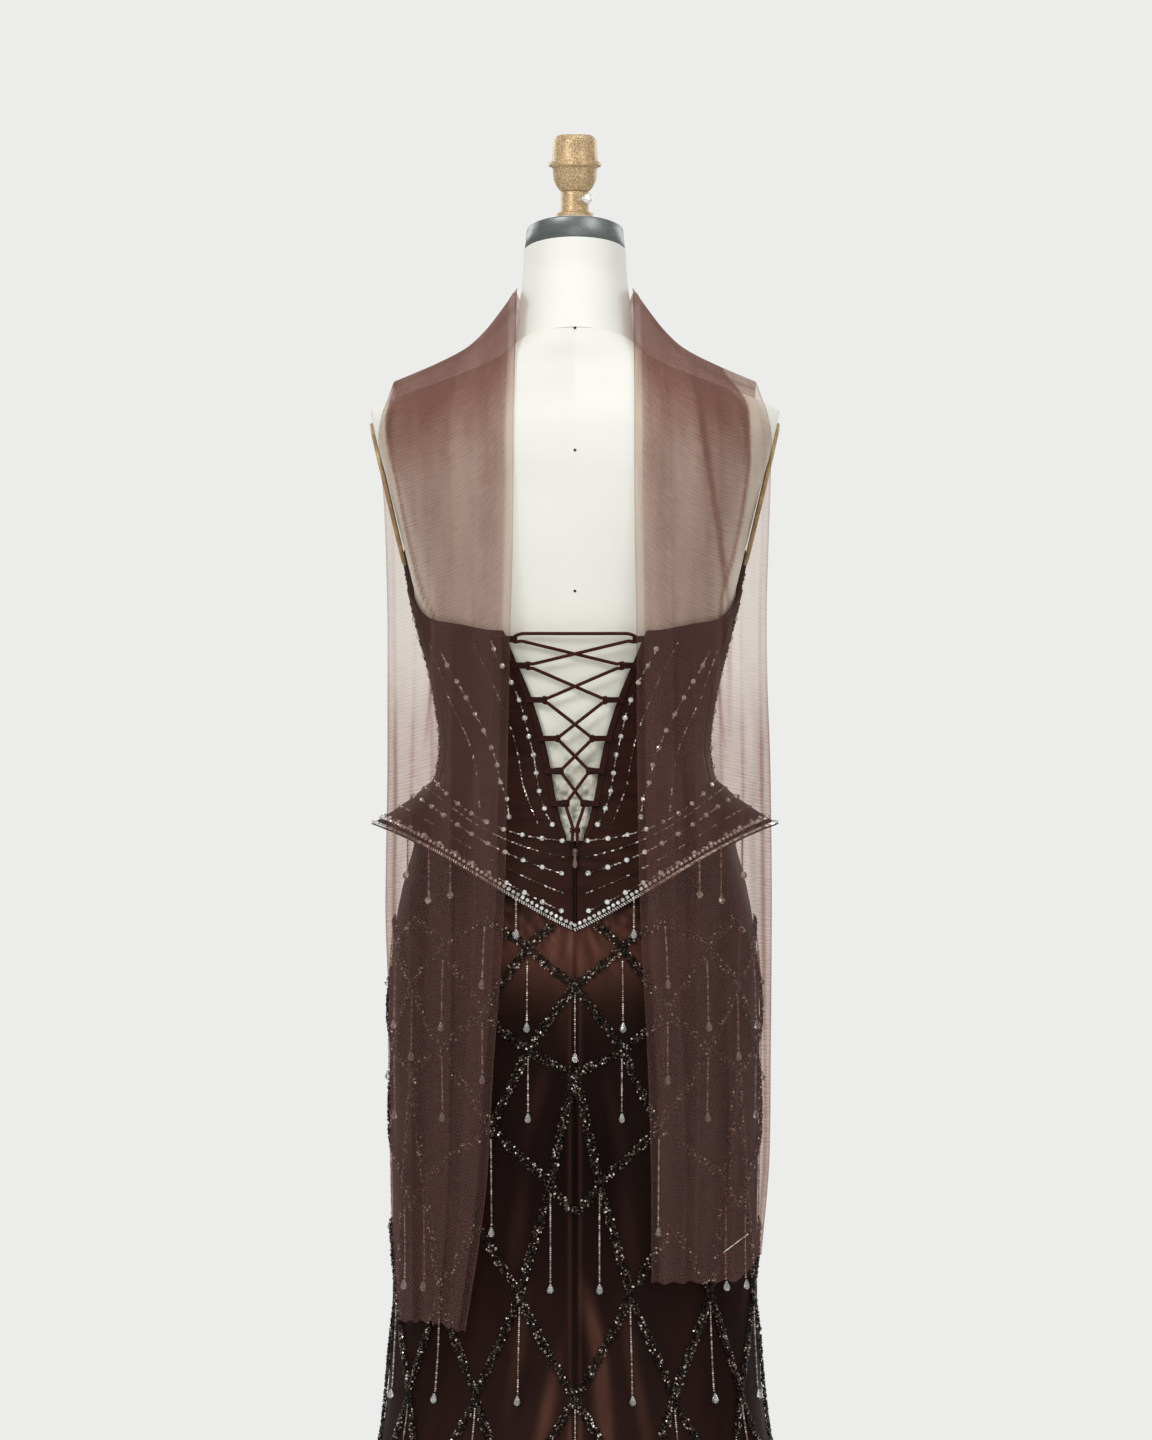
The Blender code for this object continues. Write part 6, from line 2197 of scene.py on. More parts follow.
    def _tab(self) -> None:
        """Build the teardrop tab round the pin, with a raised rim."""
        wide, long, thick = self.tab
        half, start = self.ear[0] - LAYERS.gap, 0.0011
        eye = Shapes.washer(circle(24, 0.0015, 0.0015), circle(24, 0.00085, 0.00085), half)
        shape = Table("z half", (start, half), (0.0042, half),
                      *((long * z, wide * x) for z, x in self.tab_outline))
        heights = even(start, long, 30)
        outline = [(sign * shape.at("half", z), z) for sign in (1, -1) for z in heights[::sign]]
        body = Shapes.plate(outline, -thick / 2, thick / 2, 0.0003)
        inner = [(x * 0.62, mix(long * 0.66, z, 0.66)) for x, z in outline]
        panel = Shapes.plate(inner, thick / 2 - 0.0002, thick / 2 + 0.0002, 0.0002)
        mesh = Shapes.joined("zip_pull_tab_cast", [eye, body, panel], self.hinge)
        Piece.add("zip_pull_tab_cast", mesh, TARNISHED, "silver_pull", Body.PULL_TAB, ["zip_pull_tab"])


# ---------------------------------------------------------------- lacing
@dataclass
class Lacing:
    """The satin cord laced through small cloth loops over the open back."""

    # Height and distance from the centre line of each pair of loops
    loops: tuple[Pair, ...] = ((1.1525, 0.0560), (1.1275, 0.0442), (1.0950, 0.0285), (1.0585, 0.0164),
                               (1.0278, 0.0134), (0.9972, 0.0082))
    radius: float = 0.0016
    through: float = 0.0018
    cross: float = 0.0018
    bridge_rise: float = 0.0052
    knot_z: float = 0.9750
    end_z: float = 0.9600
    loop_thick: float = 0.0011
    loop_width: float = 0.0052
    loop_gap: float = 0.00015
    binding_width: float = 0.006
    # Shares along a loop's legs and across its width, and its bend: first and last turn in degrees, and steps
    leg_shares: tuple[float, ...] = (1.0, 0.85, 0.7, 0.55, 0.4, 0.3, 0.2)
    width_shares: tuple[float, ...] = (0.5, 0.44, 0.22, 0.0, -0.22, -0.44, -0.5)
    bend: tuple[int, int, int] = (75, 285, 14)
    # Half the knot's width and depth, and its height, its cord's radius, its turns and the stops round them
    knot_size: Triple = (0.0042, 0.0024, 0.0030)
    knot_cord: float = 0.0010
    knot_turns: int = 2
    knot_stops: int = 48

    def over(self, x: float, z: float, out: float = LAYERS.lace) -> Vector:
        """Return the point above the back of the form at a distance from the centre line."""
        return Figure.point(Figure.azimuth_at(x, z), z, out)

    def frame(self, side: int, row: int) -> tuple[Vector, Vector, Vector, Vector]:
        """Return a loop's middle, and the ways out to its root, out of the cloth and up along it.

        Args:
            side: 1 on the +X side, -1 on the other.
            row: The pair of loops, from the top.

        Returns:
            The middle and the three ways.
        """
        z, x = self.loops[row]
        centre = self.over(side * x, z)
        up = (self.over(side * x, z + 0.004) - self.over(side * x, z - 0.004)).normalized()
        across = (self.over(side * (x + 0.003), z) - centre).normalized()
        away = across.cross(up).normalized()
        return centre, across, away if away.y < 0 else -away, up

    def half(self, side: int, over: int) -> list[tuple[Vector, Optional[Vector]]]:
        """Return the stops of one half of the cord, from its free end up to the top loop that it reaches.

        Args:
            side: The side that its free end hangs on: 1 or -1.
            over: 1 if it crosses outside the other half first, -1 if inside.

        Returns:
            Each stop, and the way of the cord there if it is fixed.
        """
        stops: list[tuple[Vector, Optional[Vector]]] = [(self.over(side * 0.0024, self.end_z), None)]
        stops += [(self.over(side * 0.0021, z), None) for z in (self.knot_z - 0.006, self.knot_z)]
        for row in range(len(self.loops) - 1, 0, -1):
            centre, _, _, up = self.frame(side, row)
            stops += [(centre - up * self.through, up), (centre + up * self.through, up)]
            (z, x), (next_z, next_x) = self.loops[row], self.loops[row - 1]
            middle = self.over(0, mix(z, next_z, x / (x + next_x)), LAYERS.lace + over * self.cross)
            ends = [self.over(side * x, z), self.over(-side * next_x, next_z)]
            for share, spot in ((0.86, ends[0]), (0.0, middle), (0.86, ends[1])):
                stops.append((middle.lerp(spot, share) + Vector((0, -0.0012 * share, 0)), None))
            side, over = -side, -over
        centre, _, _, up = self.frame(side, 0)
        return stops + [(centre - up * self.through, up), (centre + up * self.through * 0.6, up)]

    def build(self) -> None:
        """Build the cord, its knot and every loop."""
        top_z, top_x = self.loops[0]
        bridge = [(self.over(top_x * share, top_z + self.bridge_rise), None)
                  for share in (0.85, 0.3, -0.3, -0.85)]
        down = [(spot, way and -way) for spot, way in self.half(1, -1)[::-1]]
        route = Shapes.eased(self.half(-1, 1) + bridge + down, 8, 0.0022)
        Piece.add("lace_cord", Shapes.tube("lace_cord", route, self.radius, 12), CORD, "satin_cord",
                  replaces=["lace"])
        self._knot()
        for row in range(len(self.loops)):
            for side in Side:
                self._loop(side, row)

    def _knot(self) -> None:
        """Build the small wrap that ties the two ends together."""
        centre = self.over(0, self.knot_z - 0.003)
        wide, deep, high = self.knot_size
        route = []
        for i in range(self.knot_stops + 1):
            share = i / self.knot_stops
            turn = TAU * self.knot_turns * i / self.knot_stops
            route.append(centre + Vector((wide * math.cos(turn), deep * math.sin(turn) - 0.0002,
                                          high * (0.5 - share) + 0.0006 * math.sin(turn * 0.5))))
        Piece.add("lace_knot", Shapes.tube("lace_knot", route, self.knot_cord, 10), CORD, "satin_cord")

    def _loop(self, side: Side, row: int) -> None:
        """Build one strip, doubled round the cord with both ends on the binding.

        Args:
            side: The side.
            row: The pair of loops, from the top.
        """
        z, _ = self.loops[row]
        centre, across, away, up = self.frame(side.value, row)
        root_x = Figure.opening.at("half", z) + self.binding_width * 0.8
        base = self.over(side.value * root_x, z, LAYERS.binding_top + 3 * LAYERS.gap + self.loop_thick)
        length, drop = (base - centre).dot(across), (base - centre).dot(away)
        skins = []
        for more in (0, self.loop_thick):
            radius, half = self.radius + 3 * LAYERS.gap + more, self.loop_gap + more
            legs = [[(length * t, drop * t + sign * mix(radius, half, smooth(t * 1.6)))
                     for t in self.leg_shares] for sign in (1, -1)]
            arc = [(radius * math.cos(math.radians(turn)), radius * math.sin(math.radians(turn)))
                   for turn in even(*self.bend)]
            skins.append([[centre + across * a + away * n + up * self.loop_width * k
                           for a, n in legs[0] + arc + legs[1][::-1]] for k in self.width_shares])
        name = f"lace_loop_{side.word}_{row}"
        Piece.add(name + "_strip", Cloth.wall(name, *skins), BINDING, "satin_binding", replaces=[name])


# ---------------------------------------------------------------- sewn beads
class Sewing:
    """Sets out beads along routes of (azimuth, height) on the cloth."""

    finest = 0.002

    @staticmethod
    def paced(points: Sequence[Vector], pitch: float, start: float = 0.0) -> list[tuple[int, float]]:
        """Return evenly spaced stops on a line of points, each as a stretch's number and the share along it.

        Args:
            points: The points of the line.
            pitch: Distance between stops.
            start: Distance from the line's start to the first stop.

        Returns:
            The stretch and the share along it, for each stop.
        """
        stops, target, travelled = [], start, 0.0
        for i, (one, two) in enumerate(zip(points, points[1:])):
            length = (two - one).length
            while target <= travelled + length and length > 0:
                stops.append((i, (target - travelled) / length))
                target += pitch
            travelled += length
        return stops

    @classmethod
    def fine(cls, route: Route) -> Route:
        """Return a route with stops added so that none are far apart.

        Args:
            route: The stops along it.

        Returns:
            The longer route.
        """
        made = []
        for (a, z), (b, y) in zip(route, route[1:]):
            turn = turn_between(a, b)
            length = (Figure.point(a + turn, y) - Figure.point(a, z)).length
            count = max(math.ceil(length / cls.finest), 1)
            made += [(a + turn * i / count, mix(z, y, i / count)) for i in range(count)]
        return made + [route[-1]]

    @classmethod
    def spots(cls, route: Route, pitch: float, size: float, lift: float, start: float = 0.0) -> list[Spot]:
        """Return evenly spaced spots on the bodice or skirt along a route.

        Args:
            route: Its (azimuth, height) corners.
            pitch: Spacing of the beads.
            size: Their size.
            lift: Distance of their middles from the cloth.
            start: Distance of the first from the route's start.

        Returns:
            The spots, each lying along the route.
        """
        fine = cls.fine(route)
        points = [Figure.point(*stop) for stop in fine]
        made = []
        for i, share in cls.paced(points, pitch, start):
            (a, z), (b, y) = fine[i], fine[i + 1]
            point, away, _ = Figure.place(a + turn_between(a, b) * share, mix(z, y, share), LAYERS.cloth_out)
            made.append(Spot(point + away * lift, away, (points[i + 1] - points[i]).normalized(), size))
        return made


@dataclass
class BeadRows:
    """Rows of crystals with four tube beads after each, and rows of tube beads alone."""

    pitch: float = 0.0180
    crystal: float = 0.0054
    tube: float = 0.0028
    crystals: list[Spot] = field(default_factory=list)
    tubes: list[Spot] = field(default_factory=list)

    def row(self, sewn: Callable[[float, float, float], list[Spot]], large: bool, start: float) -> None:
        """Sew one row.

        Args:
            sewn: Gives spots of a pitch and size from a start.
            large: True for crystals with tube beads between them.
            start: Distance of the first bead from the row's start.
        """
        if large:
            self.crystals += sewn(self.pitch, self.crystal, start)
            for k in (1, 2, 3, 4):
                self.tubes += sewn(self.pitch, self.tube, start + self.pitch * k / 5)
        else:
            self.tubes += sewn(self.tube * 1.5, self.tube, start)

    def finish(self, spreader: BeadSpreader, name: str, seed: int) -> None:
        """Add the crystals and the tube beads as one piece each."""
        spreader.spread(name + "_crystals", self.crystals, CRYSTAL, seed)
        spreader.spread(name + "_tube_beads", self.tubes, TUBE, seed + 1)


@dataclass
class BodiceBeads(BeadRows):
    """Rows of crystals, small beads and tube beads sewn up the bodice."""

    lines: tuple[tuple[bool, tuple[Pair, ...]], ...] = (
        (True, ((0.977, 0.0210), (0.9865, 0.0265), (1.007, 0.0330), (1.023, 0.0355), (1.043, 0.0385),
                (1.061, 0.0430), (1.082, 0.0475), (1.098, 0.0530), (1.119, 0.0625), (1.137, 0.0735),
                (1.152, 0.0780))),
        (False, ((0.979, 0.0350), (1.0150, 0.0485), (1.064, 0.0580), (1.105, 0.0740), (1.150, 0.0960))),
        (True, ((0.984, 0.0611), (1.0023, 0.0633), (1.0197, 0.0700), (1.0365, 0.0728), (1.0511, 0.0783),
                (1.0702, 0.0865), (1.0878, 0.0960), (1.1068, 0.1060), (1.1248, 0.1169), (1.1419, 0.1246))),
        (False, ((0.990, 0.0880), (1.020, 0.0905), (1.060, 0.1000), (1.100, 0.1180), (1.150, 0.1350))),
    )
    hidden: tuple[float, ...] = (84, 100, 116, 133, 150, 166, 180)
    margin: float = 0.012

    def build(self, spreader: BeadSpreader) -> None:
        """Sew every row.

        Args:
            spreader: What sets the beads.
        """
        for side in Side:
            rows = [([(side.value * Figure.azimuth_at(x, z), z) for z, x in stops], large)
                    for large, stops in self.lines]
            for index, degrees in enumerate(self.hidden):
                if degrees == 180 and side is Side.LEFT:
                    continue
                azimuth = side.value * math.radians(degrees)
                low, high = Figure.seam_z(azimuth) + self.margin, Figure.top_z(azimuth) - self.margin
                rows.append(([(azimuth, mix(low, high, share)) for share in (0, 0.5, 1)], index % 2 == 0))
            for route, large in rows:
                def sewn(pitch: float, size: float, start: float) -> list[Spot]:
                    """Return spots of one kind along the row."""
                    return Sewing.spots(route, pitch, size, 0.0010 if size == self.crystal else 0.0008, start)

                self.row(sewn, large, 0.0)
        self.finish(spreader, "bodice", 21)


@dataclass
class BasqueBeads(BeadRows):
    """Chevron rows of crystals and tube beads round the basque."""

    pitch: float = 0.0195
    basque: Basque = field(default_factory=Basque)
    rows: tuple[tuple[float, bool], ...] = ((0.02, True), (0.205, False), (0.40, True), (0.62, False),
                                            (0.835, True))
    steeper: float = 0.10
    clear: float = 0.045

    def build(self, spreader: BeadSpreader) -> None:
        """Sew every row, mirrored about the centre back.

        Args:
            spreader: What sets the beads.
        """
        for level, large in self.rows:
            for side in Side:
                stops = [self._stop(side, level, turn) for turn in even(self.clear, math.pi - self.clear, 240)]
                points = [self.basque.place(*stop)[0] for stop in stops]

                def sewn(pitch: float, size: float, start: float) -> list[Spot]:
                    """Return spots of one kind along the row.

                    Args:
                        pitch: Distance between beads.
                        size: Their size.
                        start: Distance to the first one.

                    Returns:
                        The spots.
                    """
                    made = []
                    for i, part in Sewing.paced(points, pitch, start):
                        azimuth, share = (mix(stops[i][k], stops[i + 1][k], part) for k in (0, 1))
                        point, away, _ = self.basque.place(azimuth, max(share, 0.0), 0.2 * size)
                        made.append(Spot(point, away, (points[i + 1] - points[i]).normalized(), size))
                    return made

                self.row(sewn, large, 0.003 if large else 0.002)
        self.finish(spreader, "basque", 31)

    def _stop(self, side: Side, level: float, azimuth: float) -> Pair:
        """Return (azimuth, share) on one side; the rows fan out a little from the centre."""
        return side.value * azimuth, level - self.steeper * abs(math.sin(2 * azimuth)) * (1 - level)


@dataclass
class Lattice:
    """The thick bead ropes over the skirt, in modules of sixty degrees mirrored about both their sides."""

    relief: Relief
    modules: int = 6
    reach: float = 35.0
    tip: float = 0.0008
    miter_least: float = 0.45
    bead: float = 0.0029
    pitch: float = 0.0023
    strand_pitch: float = 0.0021
    gaps: float = 0.08
    # How far beads stray across and along the rope, how high they sit, how much higher the middle strands sit,
    # how far both may vary, and the sizes as shares of the whole
    stray: Pair = (0.0008, 0.0009)
    rise: Pair = (0.0012, 0.0013)
    rise_spread: Pair = (-0.0004, 0.0006)
    size_spread: Pair = (0.75, 1.20)
    top_rope: Pair = (0.8880, 0.8620)
    top_end: Pair = (6.5, 0.8830)
    drawn_in: Table = field(default_factory=lambda: Table(
        "z share", (0.340, 0.00), (0.437, -0.06), (0.530, 0.03), (0.637, -0.05), (0.690, -0.40),
        (0.764, -0.18), (0.862, -0.16)))

    # Half a module of each ring: degrees from the module's side and height
    rings = {
        "lattice_2": [(0, 0.8250), (15, 0.8620), (30, 0.8000)],
        "lattice_3": [(0, 0.8250), (15, 0.7640), (30, 0.8000)],
        "lattice_4": [(0, 0.7430), (15, 0.7640), (30, 0.6910)],
        "lattice_5": [(0, 0.7430), (6.5, 0.6380), (30, 0.6910)],
        "lattice_6": [(0, 0.6100), (6.5, 0.6380), (15, 0.5340), (30, 0.6000)],
        "lattice_7": [(0, 0.4380), (15, 0.5340), (30, 0.4380)],
        "lattice_8": [(0, 0.4380), (15, 0.3380), (30, 0.4380)],
        "lattice_9": [(0, 0.2400), (15, 0.3380), (30, 0.2400)],
    }

    def azimuth(self, degrees: float, z: float) -> float:
        """Return the azimuth of a corner once the modules near the centre back are drawn in."""
        turn = (degrees + 180) % 360 - 180
        return math.radians(turn * (1 + self.drawn_in.at("share", z) * math.exp(-((turn / self.reach) ** 2))))

    def top_route(self, side: Side) -> Route:
        """Return the open zigzag under the basque's edge on one side.

        Args:
            side: The side.

        Returns:
            Its (azimuth, z) stops.
        """
        turns = [self.top_end, *[(15 * k, self.top_rope[k % 2]) for k in range(1, 12)],
                 (180 - self.top_end[0], self.top_end[1])]
        corners = [(side.value * self.azimuth(degrees, z), z) for degrees, z in turns]
        return [corner if i in (0, 12) else self._apart(corners, i) for i, corner in enumerate(corners)]

    def ring_route(self, name: str) -> Route:
        """Return a ring's corners from the centre back round to it again.

        Args:
            name: The ring's name.

        Returns:
            Its (azimuth, z) stops.
        """
        half = self.rings[name]
        module = half + [(60 - degrees, z) for degrees, z in half[-2::-1]]
        turns = [(60 * k + degrees, z) for k in range(self.modules) for degrees, z in module[:-1]]
        corners = [(self.azimuth(degrees, z) % TAU, z) for degrees, z in turns]
        made = [self._apart(corners, i) for i in range(len(corners))]
        return made + made[:1]

    def _apart(self, corners: Route, index: int) -> Pair:
        """Return a corner drawn back so that its tip stays clear of the ring that it meets.

        Args:
            corners: The ring's corners.
            index: Which of them it is.

        Returns:
            Its azimuth and z.
        """
        azimuth, z = corners[index]
        sides = [corners[index - 1], corners[(index + 1) % len(corners)]]
        rises = [z - other for _, other in sides]
        if rises[0] * rises[1] <= 0:
            return azimuth, z
        ways = [(Figure.point(*side) - Figure.point(azimuth, z)).normalized() for side in sides]
        along = (ways[1] - ways[0]).normalized()
        return azimuth, z - math.copysign(self.tip / max(abs(along.dot(ways[1])), self.miter_least), rises[0])

    def build(self, spreader: BeadSpreader) -> None:
        """Lay every rope.

        Args:
            spreader: What sets the beads.
        """
        routes = {f"lattice_1_{side.word}": self.top_route(side) for side in Side}
        routes.update({name: self.ring_route(name) for name in self.rings})
        for seed, (name, route) in enumerate(routes.items()):
            draw = random.Random(seed)
            spots = []
            for spot in Sewing.spots(route, self.pitch, self.bead, 0.0):
                for row in range(4):
                    self._bead(spot, row, draw, spots)
            spreader.spread(name + "_beads", spots, ROPE, 100 + seed, [name])

    def _bead(self, spot: Spot, row: int, draw: random.Random, spots: list[Spot]) -> None:
        """Add one bead of one of the rope's four strands, unless it falls in a gap.

        Args:
            spot: A spot on the rope's middle line.
            row: The strand, from 0 to 3.
            draw: The source of random numbers.
            spots: The list that the bead is added to.
        """
        across = spot.away.cross(spot.along)
        sideways, lengthways = self.stray
        shift = across * ((row - 1.5) * self.strand_pitch + draw.uniform(-sideways, sideways))
        shift += spot.along * (draw.uniform(-lengthways, lengthways) + 0.5 * self.pitch * (row % 2))
        low, more = self.rise
        rise = low + (more if row in (1, 2) else 0.0) + draw.uniform(*self.rise_spread)
        size = spot.size * draw.uniform(*self.size_spread)
        if draw.random() > self.gaps:
            place = spot.point + shift
            relief = self.relief.at(Figure.azimuth_of(place), place.z)
            spots.append(Spot(place + spot.away * (rise + max(relief, 0.0)), spot.away, spot.along, size))


@dataclass
class Drops:
    """Strands of small beads ending in clear glass teardrops, hung from the lattice and the basque's edge."""

    lattice: Lattice
    basque: Basque
    bead: float = 0.0021
    drop: float = 0.0098
    # Degrees from a module's side, height and length; then degrees and length along the basque's edge
    hung: tuple[Colour, ...] = (
        (0, 0.8190, 0.067), (15, 0.8480, 0.067), (30, 0.8800, 0.060), (30, 0.7900, 0.060), (15, 0.7560, 0.062),
        (30, 0.6800, 0.092), (6.5, 0.6290, 0.094), (15, 0.5220, 0.092), (0, 0.4270, 0.092),
        (30, 0.4270, 0.092), (15, 0.3260, 0.092))
    edge: tuple[Pair, ...] = ((17.0, 0.041), (41, 0.040), (50, 0.056), (60, 0.044), (122, 0.044), (132, 0.056),
                              (146, 0.040), (162, 0.030))
    beads: list[Spot] = field(default_factory=list)
    drops: list[Spot] = field(default_factory=list)

    def build(self, spreader: BeadSpreader) -> None:
        """Hang every strand.

        Args:
            spreader: What sets the beads.
        """
        for degrees, z, length in self.hung:
            turns = {round(60 * k + sign * degrees, 3) % 360 for k in range(6) for sign in (-1, 1)}
            for turn in sorted(turns):
                azimuth = self.lattice.azimuth(turn, z)

                def spot(down: float) -> Pair:
                    """Return the place of a bead on the skirt, and the way out of it."""
                    point, away, _ = Figure.place(azimuth, z - down, LAYERS.cloth_out)
                    return point + away * (0.0013 + max(self.lattice.relief.at(azimuth, z - down), 0.0)), away

                self._strand(spot, length)
        for degrees, length in self.edge:
            for side in Side:
                start, away, _ = self.basque.place(side.value * math.radians(degrees), 0.97, 0.0012)
                self._strand(lambda down: (start - Vector((0, 0, down)), away), length)
        spreader.spread("drop_strands", self.beads, STRAND, 61)
        spreader.spread("glass_drops", self.drops, DROP, 62)

    def _strand(self, spot: Callable[[float], tuple[Vector, Vector]], length: float) -> None:
        """Add one strand's beads and the drop below them, from what gives a place by how far down it is.

        Args:
            spot: Gives a point and the way out of the cloth from a distance down the strand.
            length: How long the strand is with its drop.
        """
        count = int((length - self.drop) / self.bead)
        line = [spot(i * self.bead) for i in range(count + 5)]
        for i, (point, away) in enumerate(line[:count]):
            along = (line[i + 1][0] - point).normalized()
            self.beads.append(Spot(point, away, along, self.bead * (1.25 if i in (0, count - 1) else 1.0)))
        point, away = line[count]
        along = (line[count + 4][0] - point).normalized()
        self.drops.append(Spot(point + away * 0.0011, away, along, self.drop))


# ---------------------------------------------------------------- stole
@dataclass
class Drape:
    """Works out how far cloth that hangs from the shoulders is pushed out by the dressed figure."""

    form: DressForm
    ridge_y: float = -0.012
    clear: float = 0.0050
    trim: float = 0.0030
    rope: float = 0.0045
    above: float = 0.012
    neck_clear: float = 0.0015
    samples: int = 48
    sections: dict = field(default_factory=dict)

    def layer(self, azimuth: float, z: float) -> float:
        """Return the outermost layer of the gown, with room for what is sewn on it.

        Args:
            azimuth: Direction in radians.
            z: Height.

        Returns:
            The layer.
        """
        high, low = Figure.seam_z(azimuth), Figure.basque_edge_z(azimuth)
        if z > Figure.top_z(azimuth) + self.above:
            return 0.0
        if z > high:
            return LAYERS.cloth_out + self.clear
        if z > low - self.above:
            share = min((high - z) / (high - low), 1)
            return Figure.basque_lift(azimuth, share, LAYERS.basque_out + self.trim) + self.clear
        return LAYERS.cloth_out + self.rope + self.clear

    def section(self, z: float, back: bool) -> Route:
        """Return (distance from the centre line, depth) round one half of the dressed figure.

        Args:
            z: Height.
            back: True behind the figure, False before it.

        Returns:
            The points, from the middle outwards.
        """
        key = (round(z, 3), back)
        if key not in self.sections:
            made = []
            for degrees in range(0, 102, 3):
                azimuth = math.radians(degrees if back else 180 - degrees)
                point = Figure.point(azimuth, key[0], self.layer(azimuth, key[0]))
                made.append((point.x, -point.y if back else point.y))
            self.sections[key] = made
        return self.sections[key]

    def cover(self, x: float, z: float, back: bool) -> list[float]:
        """Return how far the figure reaches out at a spot, or nothing beside it.

        Args:
            x: Distance from the centre line.
            z: Height.
            back: True behind the figure, False before it.

        Returns:
            How far each crossing of the outline lies out.
        """
        outline = self.section(z, back)
        x = max(abs(x), outline[0][0])
        return [mix(near[1], far[1], (x - near[0]) / (far[0] - near[0]))
                for near, far in zip(outline, outline[1:])
                if near[0] != far[0] and min(near[0], far[0]) <= x <= max(near[0], far[0])]

    def neck(self, x: float, z: float, back: bool) -> list[float]:
        """Return the same for the neck, whose sections are tipped.

        Args:
            x: Distance from the centre line.
            z: Height.
            back: True behind the figure, False before it.

        Returns:
            One distance, or none beside or above the neck.
        """
        level = z
        for _ in range(4):
            half = self.form.neck.at("half", level) + self.neck_clear
            reach = math.sqrt(max(half * half - x * x, 0))
            level = z + self.form.neck.at("tilt", level) * (half - reach if back else half + reach)
        if abs(x) >= half or not Figure.neck_seam_z - 0.02 < level < 1.53:
            return []
        centre = self.form.neck.at("centre", level)
        return [reach - centre if back else reach + centre]

    def hung(self, x: float, start_z: float, end_z: float, back: bool) -> Callable[[float], float]:
        """Return the depth of cloth hanging from the shoulder, as a function of height.

        Args:
            x: Distance from the centre line.
            start_z: Height of the shoulder there.
            end_z: Height of the hem.
            back: True behind the figure, False before it.

        Returns:
            The function: straight from the shoulder to the widest place, never nearer below it.
        """
        start = max([-self.ridge_y if back else self.ridge_y, *self.neck(x, start_z, back)])
        points = [(start_z, start)]
        for i in range(1, self.samples + 1):
            z = mix(start_z, end_z, (i / self.samples) ** 1.6)
            points.append((z, max([start, *self.cover(x, z, back), *self.neck(x, z, back)])))
        peak = max(range(len(points)), key=lambda i: points[i][1] if points[i][0] > 1.20 else -1)
        taut: Route = []
        for point in points[: peak + 1]:
            while len(taut) > 1 and self._slack(taut[-2], taut[-1], point):
                taut.pop()
            taut.append(point)
        for z, depth in points[peak + 1:]:
            taut.append((z, max(taut[-1][1], depth)))
        heights, depths = np.array(taut).T
        return lambda z: float(np.interp(z, heights[::-1], depths[::-1]))

    @staticmethod
    def _slack(first: Pair, middle: Pair, last: Pair) -> bool:
        """Return True if the middle point lies under the straight line between its neighbours."""
        share = (first[0] - middle[0]) / (first[0] - last[0])
        return middle[1] <= mix(first[1], last[1], share)


